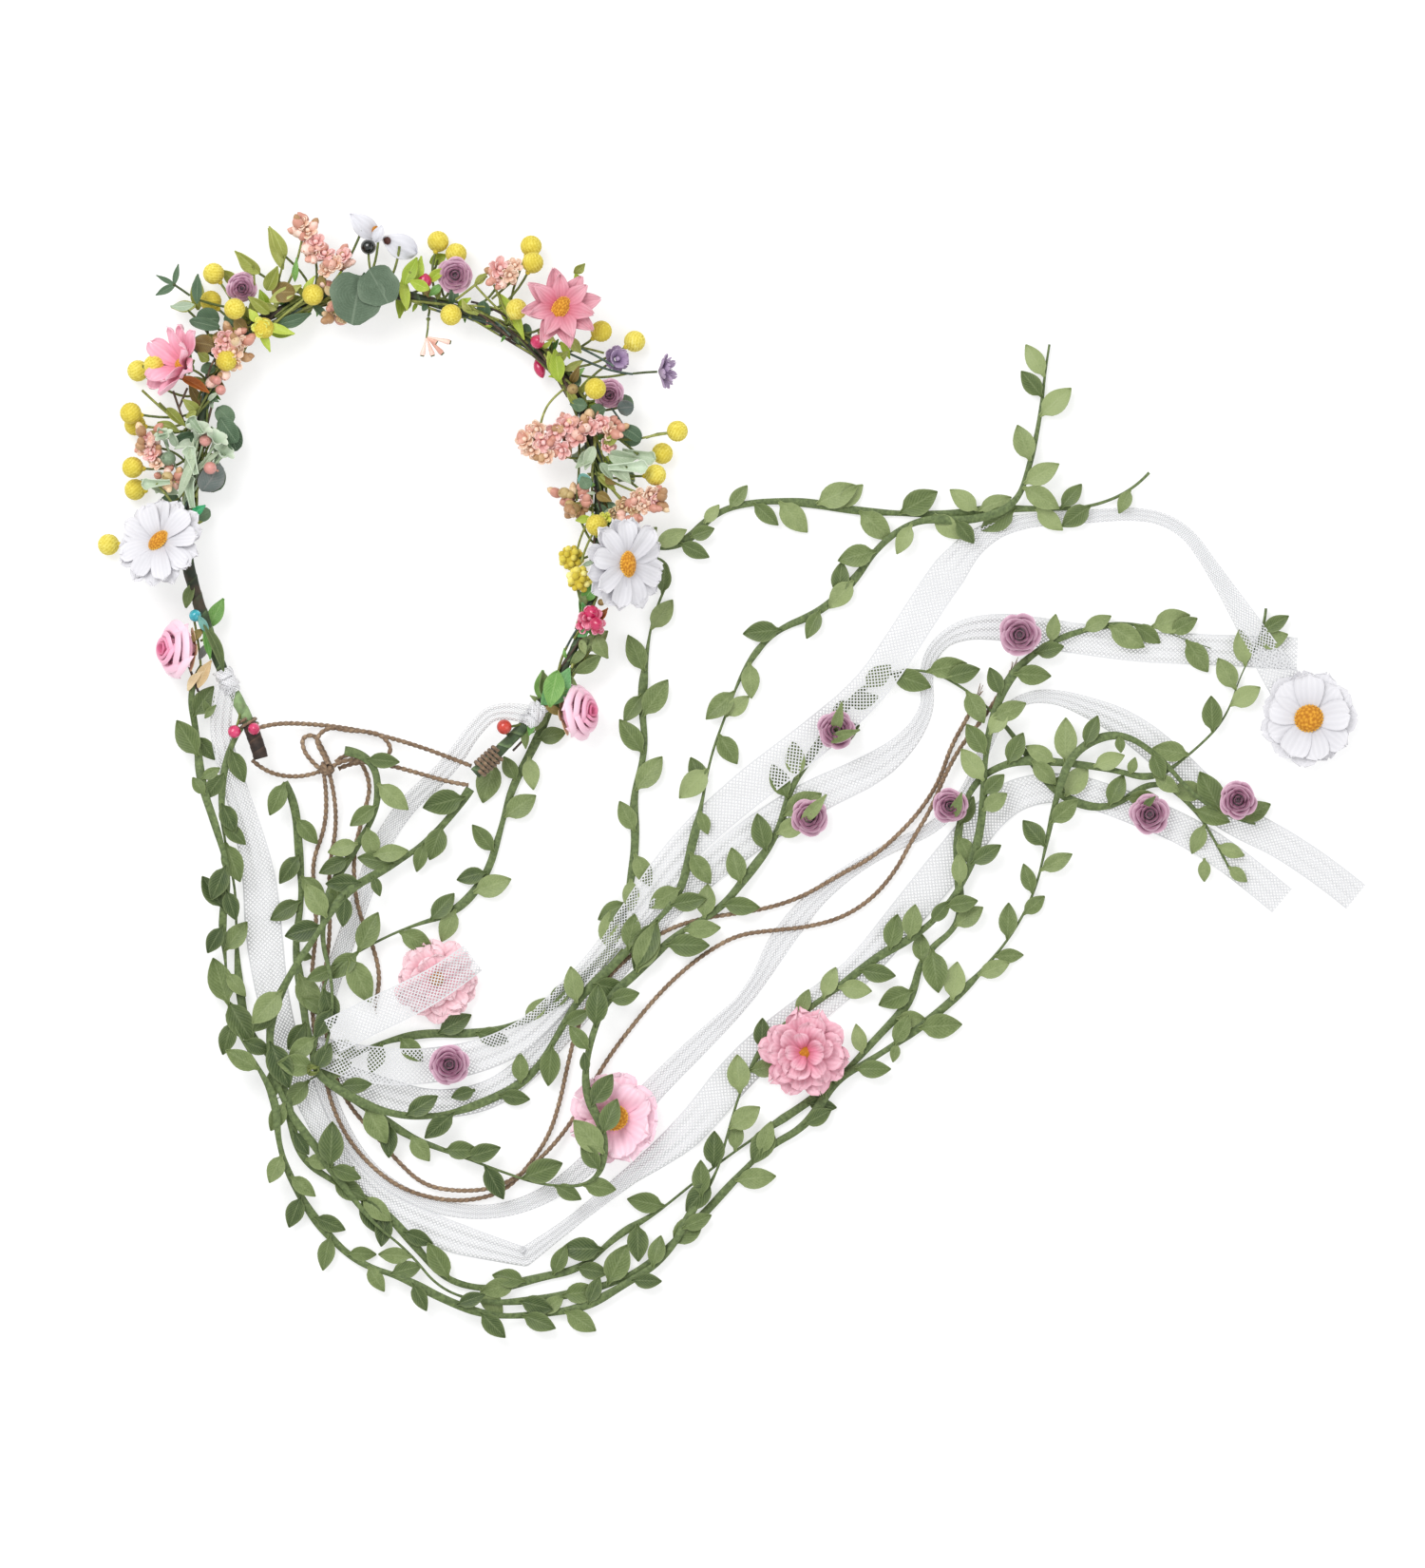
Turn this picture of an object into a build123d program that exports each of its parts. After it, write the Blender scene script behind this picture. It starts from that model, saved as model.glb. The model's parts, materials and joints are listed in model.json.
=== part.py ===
from build123d import *
import math
import os

# Flower crown lying flat: a taped wire horseshoe for the head with a long trail of
# leaf vines, mesh ribbons and twine. Millimetres, +Z up, the table is z = 0.
# The origin is the middle of the head opening on the table plane.

# ---- driving dimensions ----
WIRE_R = 1.0          # steel frame wire
TAPE_IN_R = 1.12      # floral tape, bore
TAPE_R = 2.6          # floral tape, outside
STUB_TAPE_LEN = 9.0   # brown tape on the bare end
BINDING_LEN = 6.0     # cord binding on the other end
KNOT_R = 4.2          # ribbon knots on the frame, outside
KNOT_LEN = 6.5
TWINE_R = 1.0         # jute twine
VINE_R = 1.2          # vine stem
RIBBON_T = 0.5        # mesh ribbon as stored, doubled edge
STEM_R = 0.5          # floral stem wire
LEAF_T = 0.8          # leaf cloth with its wire
PEG_R = 1.2           # flower peg
PETAL_BORE_R = 1.28   # petals turn on the peg
BERRY_R = 4.5
RUN_SHARE = 0.45      # each arc takes this much of its shorter run

FRAME = [
    (-56.8, -97.2, 12), (-60.21, -84.37, 12), (-73.1, -61.34, 12), (-81.69, -36.74, 12), (-89.25, -11.37, 12),
    (-86.54, 15.01, 12), (-83.02, 40.88, 12), (-76.93, 66.8, 12), (-59.67, 87.36, 12), (-34.42, 96.06, 12),
    (-8.37, 99.88, 12), (17.71, 94.69, 12), (41.98, 85.39, 12), (65.14, 71.54, 12), (79.29, 49.99, 12),
    (85.58, 23.79, 12), (85.53, -2.19, 12), (83.99, -28.85, 12), (74.41, -53.12, 12), (61.24, -76.08, 12),
    (43, -94.7, 12), (33.2, -103.6, 12),
]

# Routes of the twine and the vines, in order from the end nearest the frame.
TWINE = {
    "twine_upper": [
        (-58, -84.4, 12), (-51.56, -82.44, 8.97), (-38.43, -82.51, 3.06), (-25.24, -83.82, 1.2),
        (-12.27, -86.05, 1.2), (0.52, -89.41, 4.26), (13.12, -93.32, 10.2), (25.43, -98.01, 10.2),
        (31.6, -100.4, 12),
    ],
    "twine_lower_left": [
        (-60.4, -98, 9.5), (-54.77, -103.52, 5.95), (-39.61, -105.58, 1.2), (-32.4, -102.8, 4.2),
    ],
    "twine_lower_right": [
        (-24.4, -101.6, 4.2), (-17.8, -98.47, 3.65), (-3.7, -99.83, 7.2), (9.9, -103.55, 8),
        (23.37, -107.55, 8), (30.4, -108.4, 9.5),
    ],
    "bow_loop_left": [
        (-30, -103.2, 4.2), (-32.16, -101.73, 6.63), (-35.88, -98.08, 6.55), (-39.06, -94.06, 4.24),
        (-39.95, -88.24, 1.59), (-34.35, -87.07, 1.2), (-31.65, -92.38, 1.2), (-29.38, -96.64, 2.97),
        (-28.4, -99.2, 4.2),
    ],
    "bow_loop_right": [
        (-28.8, -99.6, 7.2), (-30.27, -96.57, 6.55), (-34.49, -88.93, 6.55), (-28.54, -83.76, 4.43),
        (-20.62, -85.6, 4.4), (-13.38, -85.77, 6.08), (-5.72, -87.3, 6.14), (-1.09, -94.22, 9.34),
        (-8.12, -99.21, 9.34), (-15.68, -97.76, 9.23), (-23.14, -98.18, 7.6), (-26.4, -100.4, 7.2),
    ],
    "twine_tail_1": [
        (-30.4, -104.4, 4.2), (-29.34, -111.89, 1.2), (-30.02, -126.77, 1.2), (-35.72, -141.04, 1.2),
        (-34.07, -156.04, 1.2), (-33.76, -170.88, 1.2), (-35.63, -185.84, 1.87), (-35.6, -200.77, 1.87),
        (-34.38, -215.76, 2.67), (-30.41, -230.19, 2.67), (-26.8, -244.74, 2.67), (-20.1, -258.19, 1.87),
        (-10.27, -269.56, 1.87), (1.99, -278.4, 1.87), (16.3, -282.94, 1.87), (31.39, -283.71, 1.87),
        (45.99, -279.47, 1.87), (56.3, -268.27, 1.2), (64.56, -255.81, 1.2), (69.03, -241.42, 1.2),
        (72.07, -226.8, 1.87), (75.52, -212.19, 1.87), (81.92, -198.59, 1.87), (91.35, -186.91, 1.87),
        (102.5, -176.86, 1.87), (115.09, -168.7, 1.87), (129.55, -164.37, 1.87), (144.36, -162.42, 1.2),
        (159.12, -159.75, 1.87), (173.19, -154.52, 1.87), (185.93, -146.6, 1.87), (199.33, -139.83, 1.87),
        (210.78, -130.13, 1.87), (220.99, -119.12, 1.87), (228.99, -106.45, 1.2), (233.64, -92.11, 1.2),
        (241.18, -79.19, 1.2), (244.4, -72.4, 1.2),
    ],
    "twine_tail_2": [
        (-28, -104.4, 4.2), (-26.02, -111.66, 6.37), (-25.23, -126.69, 1.2), (-28.22, -141.5, 1.2),
        (-28.3, -156.43, 1.2), (-27.97, -171.46, 1.87), (-29.88, -186.34, 1.87), (-31.2, -201.31, 1.87),
        (-29.23, -216.2, 2.67), (-26.1, -230.94, 2.67), (-19.47, -244.42, 2.67), (-9.05, -255.44, 2.67),
        (0.33, -266.93, 1.2), (11.66, -277.33, 1.2), (26.64, -279.67, 4.22), (41.8, -278.38, 4.22),
        (54.96, -271.01, 4.22), (65.9, -260.62, 3.96), (75, -248.71, 1.2), (82, -235.4, 1.2),
        (89.75, -222.58, 1.2), (98.83, -210.61, 1.2), (108.28, -198.99, 1.2), (118.84, -188.27, 1.2),
        (130.5, -178.94, 1.2), (143.76, -171.46, 1.87), (158.72, -169.65, 1.87), (173.55, -168.26, 1.87),
        (188.23, -164.26, 1.87), (200.79, -156.11, 1.2), (210.53, -144.45, 1.87), (217.48, -131.22, 1.87),
        (225.37, -118.4, 3.91), (230.93, -104.45, 3.91), (238.17, -91.34, 3.72), (247.85, -79.74, 1.2),
        (255.92, -67.22, 1.2), (259.2, -60.4, 1.2),
    ],
    "twine_tail_3": [
        (-25.6, -98.8, 2), (-18.97, -92.41, 1.2), (-10.21, -106.84, 1.2), (-13.71, -120.77, 1.2),
        (-17.65, -134.71, 1.87), (-18.05, -149.2, 1.87), (-15.53, -163.45, 1.87), (-9.52, -176.76, 1.87),
        (-6.55, -190.66, 1.2), (-8.4, -198, 1.2),
    ],
}
VINES = {
    "vine_1": [
        (-81.2, -58.8, 12), (-87.65, -66.8, 11), (-83.94, -87.33, 4.94), (-82.27, -107.08, 13.86),
        (-75.63, -126.15, 13.91), (-70.05, -145.51, 13.91), (-73.63, -165.72, 10.9), (-71.63, -185.34, 2.02),
        (-70.79, -205.99, 4.07), (-60.49, -222.84, 12.96), (-50.4, -240.46, 12.96), (-49.58, -260.75, 12.96),
        (-42.03, -279.48, 3.87), (-31.07, -296, 1.4), (-16.12, -310.16, 1.4), (3.02, -315.76, 8.37),
        (20.62, -325.36, 8.37), (39.41, -332.25, 8.37), (59.72, -331.63, 1.4), (79.53, -328.54, 4.15),
        (96.93, -318.39, 4.15), (114.24, -307.51, 4.15), (123.18, -289.4, 4.15), (134.97, -272.87, 4.15),
        (139.97, -253.58, 4.15), (145.8, -234.52, 2.07), (155.2, -216.47, 2.07), (171.29, -204.24, 2.07),
        (187.54, -192.73, 2.07), (202.87, -180.32, 2.07), (220.83, -170.98, 5.58), (234.93, -156.53, 5.62),
        (243.86, -138.33, 5.62), (247.3, -118.63, 8.07), (247.66, -98.57, 8.07), (251.05, -78.75, 8.07),
        (259.5, -60.33, 6.72), (275.55, -47.78, 3.75), (294.78, -41.51, 2.07), (314.82, -40.16, 2.07),
        (333.76, -47.73, 2.07), (343.2, -50.8, 2.07),
    ],
    "vine_2": [
        (-65.2, -84.4, 13.5), (-70.55, -92.81, 13), (-73.9, -112.62, 12.69), (-72.31, -132.35, 10.39),
        (-67.67, -151.77, 1.41), (-67.47, -171.66, 1.4), (-66.63, -191.41, 1.4), (-63.27, -211.19, 2.87),
        (-49.4, -226.81, 7.46), (-45.02, -245.47, 7.46), (-40.98, -265.43, 7.15), (-23.83, -277.17, 2.87),
        (-6.38, -286.21, 2.87), (6.88, -301.09, 2.87), (19.7, -316.87, 2.87), (39.5, -321.6, 1.4),
        (58.71, -316.15, 1.4), (78.66, -312.17, 1.4), (92.81, -297.96, 1.4), (110.14, -288.45, 1.4),
        (125.52, -275.77, 1.4), (141.24, -263.69, 1.4), (157.6, -252.42, 1.4), (174.24, -241.61, 1.4),
        (189.69, -229.04, 1.4), (202.83, -214.33, 1.4), (216.98, -199.97, 1.4), (221.28, -180.01, 1.4),
        (238.49, -166.92, 2.51), (236.61, -146.61, 2.87), (236.18, -127.4, 2.87), (242.53, -106.92, 5.31),
        (259.7, -97.68, 5.34), (280.41, -98.8, 5.34), (299.6, -101.38, 5.62), (319.28, -106.7, 5.62),
        (336.2, -94.1, 5.62), (349.84, -80.27, 2.07), (355.87, -61.25, 2.07), (365.59, -44.46, 2.07),
        (366.4, -34, 2.07),
    ],
    "vine_3": [
        (-46.8, -107.2, 9), (-42.45, -115.53, 6), (-41.11, -135.86, 1.4), (-39.61, -155.61, 1.4),
        (-43.04, -175.78, 1.4), (-39.77, -195.81, 5.22), (-37.23, -215.77, 7.97), (-27.37, -233.91, 7.97),
        (-10.71, -245.37, 7.97), (5.9, -257.06, 2.49), (24.77, -263.82, 6.77), (43.93, -271.02, 6.77),
        (62.09, -277.3, 6.77), (85.11, -276.94, 16.22), (89.05, -256.12, 16.22), (78.95, -237.4, 16.22),
        (81.11, -217.35, 16.22), (88.69, -198.1, 6.91), (104.02, -185.24, 4.42), (118.19, -170.72, 4.42),
        (136.29, -161.24, 4.42), (148.71, -145.48, 4.42), (160.65, -129.72, 2.07), (165.93, -109.78, 2.07),
        (176.7, -92.64, 2.07), (188.25, -76.38, 1.4), (203.04, -61.76, 2.07), (223.41, -59.07, 3.75),
        (241.68, -69, 3.97), (256.43, -82.65, 3.97), (267.93, -99.11, 2.07), (281.24, -114.95, 2.07),
        (301.17, -119.3, 2.07), (319.68, -104.87, 2.87), (336.47, -117.55, 2.87), (346.62, -135.05, 2.87),
        (351.2, -144, 2.87),
    ],
    "vine_4": [
        (31.2, -110, 9), (26, -118.22, 7), (12.1, -133.41, 2.07), (-4.46, -143.68, 7.79),
        (-22.3, -153.77, 17.02), (-33.01, -171.04, 17.02), (-44.06, -186.89, 17.02), (-53, -205.6, 10.21),
        (-53.25, -225.33, 10.21), (-46.09, -244.78, 10.21), (-33.92, -260.58, 10.21), (-22.45, -276.9, 6.74),
        (-10.01, -292.79, 6.74), (5.48, -304.94, 5.62), (18.41, -321.13, 5.62), (38.01, -326.76, 5.62),
        (58.22, -325.5, 1.4), (77.9, -322.03, 1.4), (97.4, -316.37, 1.4), (113.56, -304.3, 1.4),
        (128.28, -290.65, 1.4), (141.75, -275.64, 1.4), (155.45, -261.5, 1.4), (173.53, -251.66, 4.15),
        (183.94, -233.57, 4.15), (201.26, -223.34, 4.15), (217.81, -212.65, 1.4), (233.6, -199.93, 1.4),
        (247.63, -186.12, 1.4), (260.3, -170.36, 1.4), (269.42, -152.71, 1.4), (273.94, -132.79, 4.82),
        (277.87, -113.53, 8.18), (284.76, -93.66, 8.18), (304.27, -85.16, 8.37), (322.13, -96.76, 8.37),
        (334.81, -112.28, 8.37), (351.91, -122.83, 2.07), (362, -124.8, 2.07),
    ],
    "vine_5": [
        (80, -46.8, 12), (77.36, -56.59, 11), (66.1, -73.24, 1.95), (58.47, -91.48, 1.4),
        (48.67, -109.04, 1.4), (43.72, -127.96, 1.4), (38.06, -147.27, 1.4), (24.8, -162.51, 1.4),
        (5.27, -167.97, 4.42), (-12.42, -176.37, 4.42), (-29.84, -187.1, 11.52), (-32.52, -207.66, 11.52),
        (-36.61, -228.31, 11.52), (-19.12, -240.11, 11.52), (-0.71, -247.68, 10.72), (19.38, -248.02, 9.71),
        (38.45, -241.67, 2.07), (56.34, -232.38, 2.07), (67.2, -215.2, 4.95), (76.82, -197.94, 4.95),
        (91.6, -184.08, 4.95), (105.45, -170.06, 4.95), (119.42, -155.29, 4.23), (124.08, -135.61, 4.23),
        (128.73, -116.38, 3.27), (132.28, -96.54, 2.87), (139.07, -78.1, 1.4), (146.24, -59.47, 1.4),
        (158.5, -43.65, 1.4), (177.93, -36.11, 1.4), (192.28, -23.31, 1.4), (203.98, -6.39, 4.18),
        (220.4, 4.22, 4.3), (240.99, 2.33, 4.82), (261.23, 8.59, 4.82), (267.43, 28.11, 4.82),
        (271.47, 47.49, 1.4), (273.55, 67.34, 1.4), (275.2, 77.2, 1.4),
    ],
    "vine_6": [
        (89.2, -9.2, 9.5), (98.87, -10.29, 6.5), (118.01, -14.73, 3), (108.15, -36.68, 1.4),
        (105.12, -54.53, 1.4), (103.15, -74.63, 1.4), (105.24, -93.72, 1.4), (99.49, -112.94, 1.4),
        (101.06, -132.75, 1.4), (98.21, -152, 1.4), (94.65, -171.79, 1.4), (81.75, -186.74, 1.4),
        (68.16, -201.03, 1.4), (50.42, -209.78, 1.4), (31.09, -213.52, 1.4), (11.33, -212.73, 1.4),
        (-7.77, -217.15, 5.22), (-25.47, -225.97, 5.22), (-42.18, -236, 5.22), (-50.8, -240.8, 2.87),
    ],
    "vine_7": [
        (89.2, -6, 9.5), (98.76, -6.66, 6.5), (119.7, -8.99, 4.5), (134.05, 6.84, 1.4), (152.93, 11.33, 1.4),
        (173, 10.75, 1.4), (192.19, 7.14, 1.4), (212.21, 5.96, 1.4), (232, 5.42, 1.4), (251.87, 8.07, 2.07),
        (271.65, 7.87, 2.07), (291.76, 8.19, 2.07), (310.36, 15.55, 2.07), (317.2, 23.2, 1.4),
    ],
    "vine_8": [
        (-21.6, -94, 13), (-9.4, -95.41, 12), (-6.66, -117, 11.89), (-17.02, -134.88, 4.42),
        (-28.11, -151.61, 4.93), (-31.93, -172.02, 14.27), (-26.31, -191.91, 14.27), (-27.34, -212.29, 14.27),
        (-30.8, -222, 11.52),
    ],
}

# Ribbons: (x, y, underside z, width, heading in degrees) along each flat run.
RIBBONS = {
    "ribbon_1": [
        [
            (-71.6, -66.8, 15.2, 9, -101.7), (-74.46, -80.63, 11.8, 9, -91.59),
            (-72.37, -94.68, 9.4, 9.12, -76.93), (-68.05, -108.23, 7.9, 9.99, -72.61),
            (-63.87, -121.82, 6.2, 10.93, -73.95), (-60.19, -135.56, 4, 12.66, -77.09),
            (-57.52, -149.52, 0.02, 14.29, -82.56), (-56.52, -163.71, 0.02, 15.47, -85.2),
            (-55.14, -177.87, 0.02, 15.35, -83.25), (-53.18, -191.95, 0.02, 14.18, -80.09),
            (-50.25, -205.87, 0.02, 13.03, -75.96), (-46.28, -219.53, 0.82, 11.88, -70.98),
            (-40.99, -232.73, 0.82, 10.79, -66.95), (-35.14, -245.7, 0.82, 9.82, -64.98),
            (-28.96, -258.5, 0.82, 9.19, -59.93), (-20.94, -270.23, 0.82, 9.73, -51.53),
            (-11.33, -280.69, 0.82, 10.76, -40.95), (0.37, -288.73, 0.82, 11.97, -29.87),
            (13.23, -294.8, 0.82, 13.24, -23.12), (26.51, -299.89, 0.82, 13, -18.21),
            (40.22, -303.68, 0.02, 10.5, -14.9), (54, -307.2, 0.02, 8, -14.32),
        ],
        [
            (54, -307.2, 0.82, 8, 35.77), (65.53, -298.9, 0.82, 6.21, 36.39),
            (76.87, -290.35, 0.02, 5.3, 37.99), (87.91, -281.41, 0.02, 6.22, 38.66),
            (99.05, -272.6, 0.02, 7.52, 36.75), (110.66, -264.42, 0.02, 10.83, 37.02),
            (121.71, -255.51, 0.02, 14.03, 43.62), (131.14, -244.91, 0.02, 14.8, 49.84),
            (140.02, -233.82, 0.02, 15.57, 48.98), (149.77, -223.49, 0.02, 15.77, 44.13),
            (160.38, -214.06, 0.02, 15.24, 40.34), (171.41, -205.11, 0.02, 14.57, 37.75),
            (182.84, -196.67, 0.02, 13.77, 38.29), (193.69, -187.52, 0.02, 13.02, 43.81),
            (203.28, -177.06, 0.02, 13.79, 49.19), (212.24, -166.03, 0.02, 14.56, 50.64),
            (221.3, -155.09, 0.02, 15.19, 50.47), (230.33, -144.12, 0.02, 15.65, 50.23),
            (239.48, -133.26, 0.82, 15.78, 51), (248.2, -122.05, 0.82, 14.83, 45.95),
            (259.03, -113.04, 0.02, 13.85, 27.36), (272.68, -109.38, 0.02, 12.69, 6.2),
            (286.81, -110.02, 0.02, 12.19, -10.55), (300.27, -114.52, 0.02, 12.68, -19.62),
            (313.55, -119.55, 0.02, 13, -21.27), (326.74, -124.82, 0.82, 13, -24.97),
            (339.25, -131.52, 0.82, 13, -30.82), (351.1, -139.35, 0.82, 13, -35.89),
            (362.24, -148.16, 0.82, 13, -38.92), (373.2, -157.2, 0.02, 13, -39.53),
        ],
    ],
    "ribbon_2": [
        [
            (55.6, -78.8, 15.2, 8, 165.82), (42.68, -75.53, 13.4, 6.76, -165.08),
            (32.79, -84.88, 11, 6.86, -129.54), (25.24, -96.66, 8, 7.62, -127.62),
            (15.81, -106.9, 5, 8, -136.01), (5.2, -116, 0.02, 8, -132.8), (-3.05, -127.28, 0.02, 8, -121.41),
            (-9.31, -139.77, 0.02, 8, -112.59), (-13.77, -153.03, 0.02, 8, -109.26),
            (-18.54, -166.19, 0.02, 8, -109.87), (-23.28, -179.36, 0.02, 8, -109.99),
            (-28.11, -192.49, 0.02, 8, -107.3), (-31.59, -206.03, 0.02, 8, -100.33),
            (-33.11, -219.92, 0.02, 8, -89.26), (-31.23, -233.74, 0.02, 7.69, -75.81),
            (-26.31, -246.83, 0.02, 7.14, -65.9), (-19.83, -259.22, 0.02, 6.58, -57.43),
            (-11.32, -270.29, 0.02, 6.03, -45.01), (-0.25, -278.81, 0.02, 6, -31.7),
            (12.32, -284.89, 0.02, 6, -19.51), (25.92, -288.08, 0.02, 6, -7.49),
            (39.88, -288.52, 0.02, 6, 5.29), (53.51, -285.52, 0.02, 6.56, 18.86),
            (66.14, -279.54, 0.02, 7.3, 30.83), (77.4, -271.26, 0.02, 8.41, 40.16),
            (87.47, -261.55, 0.02, 9.19, 47.4), (96.31, -250.71, 0.02, 9.6, 50.54),
            (105.25, -239.95, 0.02, 9.99, 48.04), (115, -229.91, 0.02, 9.58, 45.07),
            (125.01, -220.13, 0.02, 9.17, 44.18), (135.08, -210.41, 0.02, 7.98, 43.94),
            (145.17, -200.71, 0.02, 6.26, 48.78), (153.42, -189.47, 0.02, 7.05, 57.95),
            (159.95, -177.09, 0.02, 9.81, 58.39), (168.05, -165.7, 0.02, 9.82, 51.06),
            (177.5, -155.38, 0.02, 7.74, 43.53), (188.28, -146.48, 0.02, 6.38, 36.09),
            (200.06, -138.93, 0.02, 5.41, 29.58), (212.56, -132.7, 0.02, 5, 24.83),
            (225.41, -127.2, 0.02, 5, 32.8), (235.69, -117.79, 0.02, 5, 49.89),
            (243.22, -106.05, 0.02, 5, 63.79), (247.95, -92.88, 0.02, 5, 67.67),
            (253.85, -80.2, 0.02, 5, 52.91), (264.22, -71.36, 0.02, 5, 21.11),
            (277.98, -70.88, 0.02, 6.29, -8.6), (291.2, -75.44, 0.02, 8.94, -21.27),
            (304.03, -81.03, 0.02, 11.82, -28.49), (315.68, -88.72, 0.02, 13.29, -37.59),
            (326.12, -98.04, 0.02, 13.77, -43.03), (336.13, -107.81, 0.02, 14, -45.45),
            (345.75, -117.97, 0.02, 14, -39.37), (357.54, -125.38, 0.02, 13.57, -28.73),
            (370.17, -131.37, 0.02, 13, -28.79), (382.01, -138.83, 0.02, 13, -33.65),
            (393.46, -146.87, 0.02, 13, -36.84), (404.4, -155.6, 0.02, 13, -38.6),
        ],
    ],
    "ribbon_3": [
        [
            (-34.8, -220, 9.47, 12, -16.9), (-21.56, -224.02, 9.47, 14.42, -13.92),
            (-8, -226.64, 6.72, 15.82, -6.9), (5.81, -227.34, 6.72, 15.28, 1.47),
            (19.57, -225.93, 2.9, 14.66, 8.7), (33.11, -223.16, 2.9, 13.92, 15.79),
            (46.09, -218.43, 2.9, 13.18, 26.63), (57.64, -210.86, 2.9, 12.06, 38.62),
            (67.59, -201.26, 2.9, 10.82, 46.1), (76.81, -190.95, 2.9, 9.57, 48.58),
            (85.89, -180.51, 2.9, 9.57, 50.57), (94.37, -169.58, 2.9, 10.64, 52.94),
            (102.57, -158.43, 2.9, 11.7, 53.51), (110.83, -147.34, 2.9, 12.76, 52.09),
            (119.56, -136.61, 0.82, 13.82, 48.37), (129.19, -126.68, 0.82, 14.61, 43.99),
            (139.46, -117.41, 0.82, 15.33, 41.08), (150.05, -108.5, 3.57, 16, 38.79),
            (161.02, -100.07, 3.57, 16, 37.3), (172.06, -91.73, 3.57, 16, 38.02),
            (182.82, -83.03, 3.57, 15.64, 39.84), (193.3, -74.01, 3.83, 15.24, 44.07),
            (202.65, -63.83, 4.85, 15, 51.47), (210.48, -52.43, 4.85, 15, 56.31),
            (218, -40.81, 4.78, 15, 57.19), (225.47, -29.17, 0.02, 15, 56.28),
            (233.35, -17.8, 0.02, 14.97, 53.09), (242.07, -7.07, 0.02, 10.96, 41.5),
            (253.68, 0.18, 0.02, 7.88, 22.12), (267.18, 3.14, 0.02, 5.96, 8.6),
            (280.96, 4.3, 0.02, 5.72, 3.65), (294.78, 4.9, 0.02, 5.5, 3.47), (308.58, 5.98, 0.02, 5.5, -0.91),
            (322.26, 4.46, 0.02, 5.5, -18.67), (333.94, -2.6, 0.02, 5.59, -43.35),
            (341.79, -13.97, 0.02, 5.9, -56.05), (349.39, -25.53, 0.02, 7.54, -57.29),
            (356.74, -37.25, 3.3, 9.87, -58.51), (363.84, -49.13, 3.3, 12.23, -58.78),
            (371.08, -60.92, 3.3, 14.4, -57.27), (378.8, -72.4, 0.82, 16, -56.08),
        ],
    ],
    "ribbon_4": [
        [
            (-28.8, -230, 0.82, 12, -20.91), (-19.41, -233.59, 0.82, 12.86, -20.44),
            (-9.96, -237.02, 0.02, 13.71, -18.39), (-0.33, -239.93, 0.02, 13.41, -15.15),
            (9.44, -242.27, 0.02, 12.52, -8.17), (19.46, -242.77, 0.02, 12, 1.5),
            (29.46, -241.75, 0.02, 12, 11.01), (39.09, -238.95, 0.02, 12, 23.23),
            (47.75, -233.9, 0.02, 11.58, 35.49), (55.37, -227.34, 0.02, 11.04, 42.94),
            (62.46, -220.21, 0.02, 10.51, 45.65), (69.43, -212.97, 0.02, 9.98, 46.86),
            (76.21, -205.54, 0.02, 9.66, 48.92), (82.64, -197.81, 0.02, 9.33, 50.11),
            (89.1, -190.11, 0.02, 9, 49.61), (95.67, -182.5, 0.02, 9, 49.25),
            (102.23, -174.88, 0.02, 9, 48.77), (108.92, -167.37, 0.02, 9, 47.45),
            (115.83, -160.07, 0.02, 9.49, 46.2), (122.84, -152.86, 0.02, 10.79, 45.13),
            (130.01, -145.82, 0.02, 12.08, 43.26), (137.48, -139.08, 0.02, 13.37, 40.34),
            (145.33, -132.81, 0.02, 14.13, 37.02), (153.52, -126.98, 0.02, 14.4, 34.18),
            (161.96, -121.51, 0.02, 14.66, 32.01), (170.57, -116.32, 0.02, 14.92, 29.68),
            (179.42, -111.56, 0.02, 14.59, 26.28), (188.59, -107.42, 0.02, 13.99, 24.59),
            (197.71, -103.19, 0.02, 13.39, 28.41), (206.23, -97.88, 0.02, 12.11, 35.91),
            (213.94, -91.44, 0.02, 9.58, 45.66), (220.19, -83.6, 0.02, 7.38, 59.01),
            (224.17, -74.41, 0.02, 5.71, 81.3), (223.11, -64.53, 0.02, 5.5, 89.18),
            (224.44, -54.79, 0.02, 5.72, 67.15), (230.53, -46.92, 0.02, 6.73, 38.6),
            (239.59, -42.7, 0.02, 9.11, 15.28), (249.57, -41.71, 0.02, 10.78, 1.43),
            (259.61, -42.2, 0.02, 12.13, -6.11), (269.52, -43.85, 0.02, 12.63, -9.54),
            (279.43, -45.53, 0.02, 13, -9.06), (289.38, -47.02, 0.02, 13, -8.27),
            (299.33, -48.42, 0.02, 13, -7.44), (309.32, -49.62, 0.02, 13, -5.8),
            (319.34, -50.46, 0.02, 13, -3.71), (329.38, -50.92, 0.02, 13, -2.22),
            (339.43, -51.23, 0.02, 13, -1.97), (349.48, -51.61, 0.02, 13.01, -2.54),
            (359.52, -52.12, 0.02, 13.34, -2.99), (369.56, -52.66, 0.02, 13.67, -3.07),
            (379.6, -53.2, 0.02, 14, -3.07),
        ],
    ],
    "ribbon_5": [
        [
            (32.4, -181.2, 11.3, 13, -143.47), (21.49, -189.28, 11.3, 13.76, -146.58),
            (9.79, -196.12, 11.3, 14.61, -151.87), (-2.42, -202.06, 11.3, 15, -154.27),
            (-14.67, -207.91, 15.77, 15, -153.91), (-26.8, -214, 15.77, 15, -153.33),
        ],
    ],
}

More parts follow.
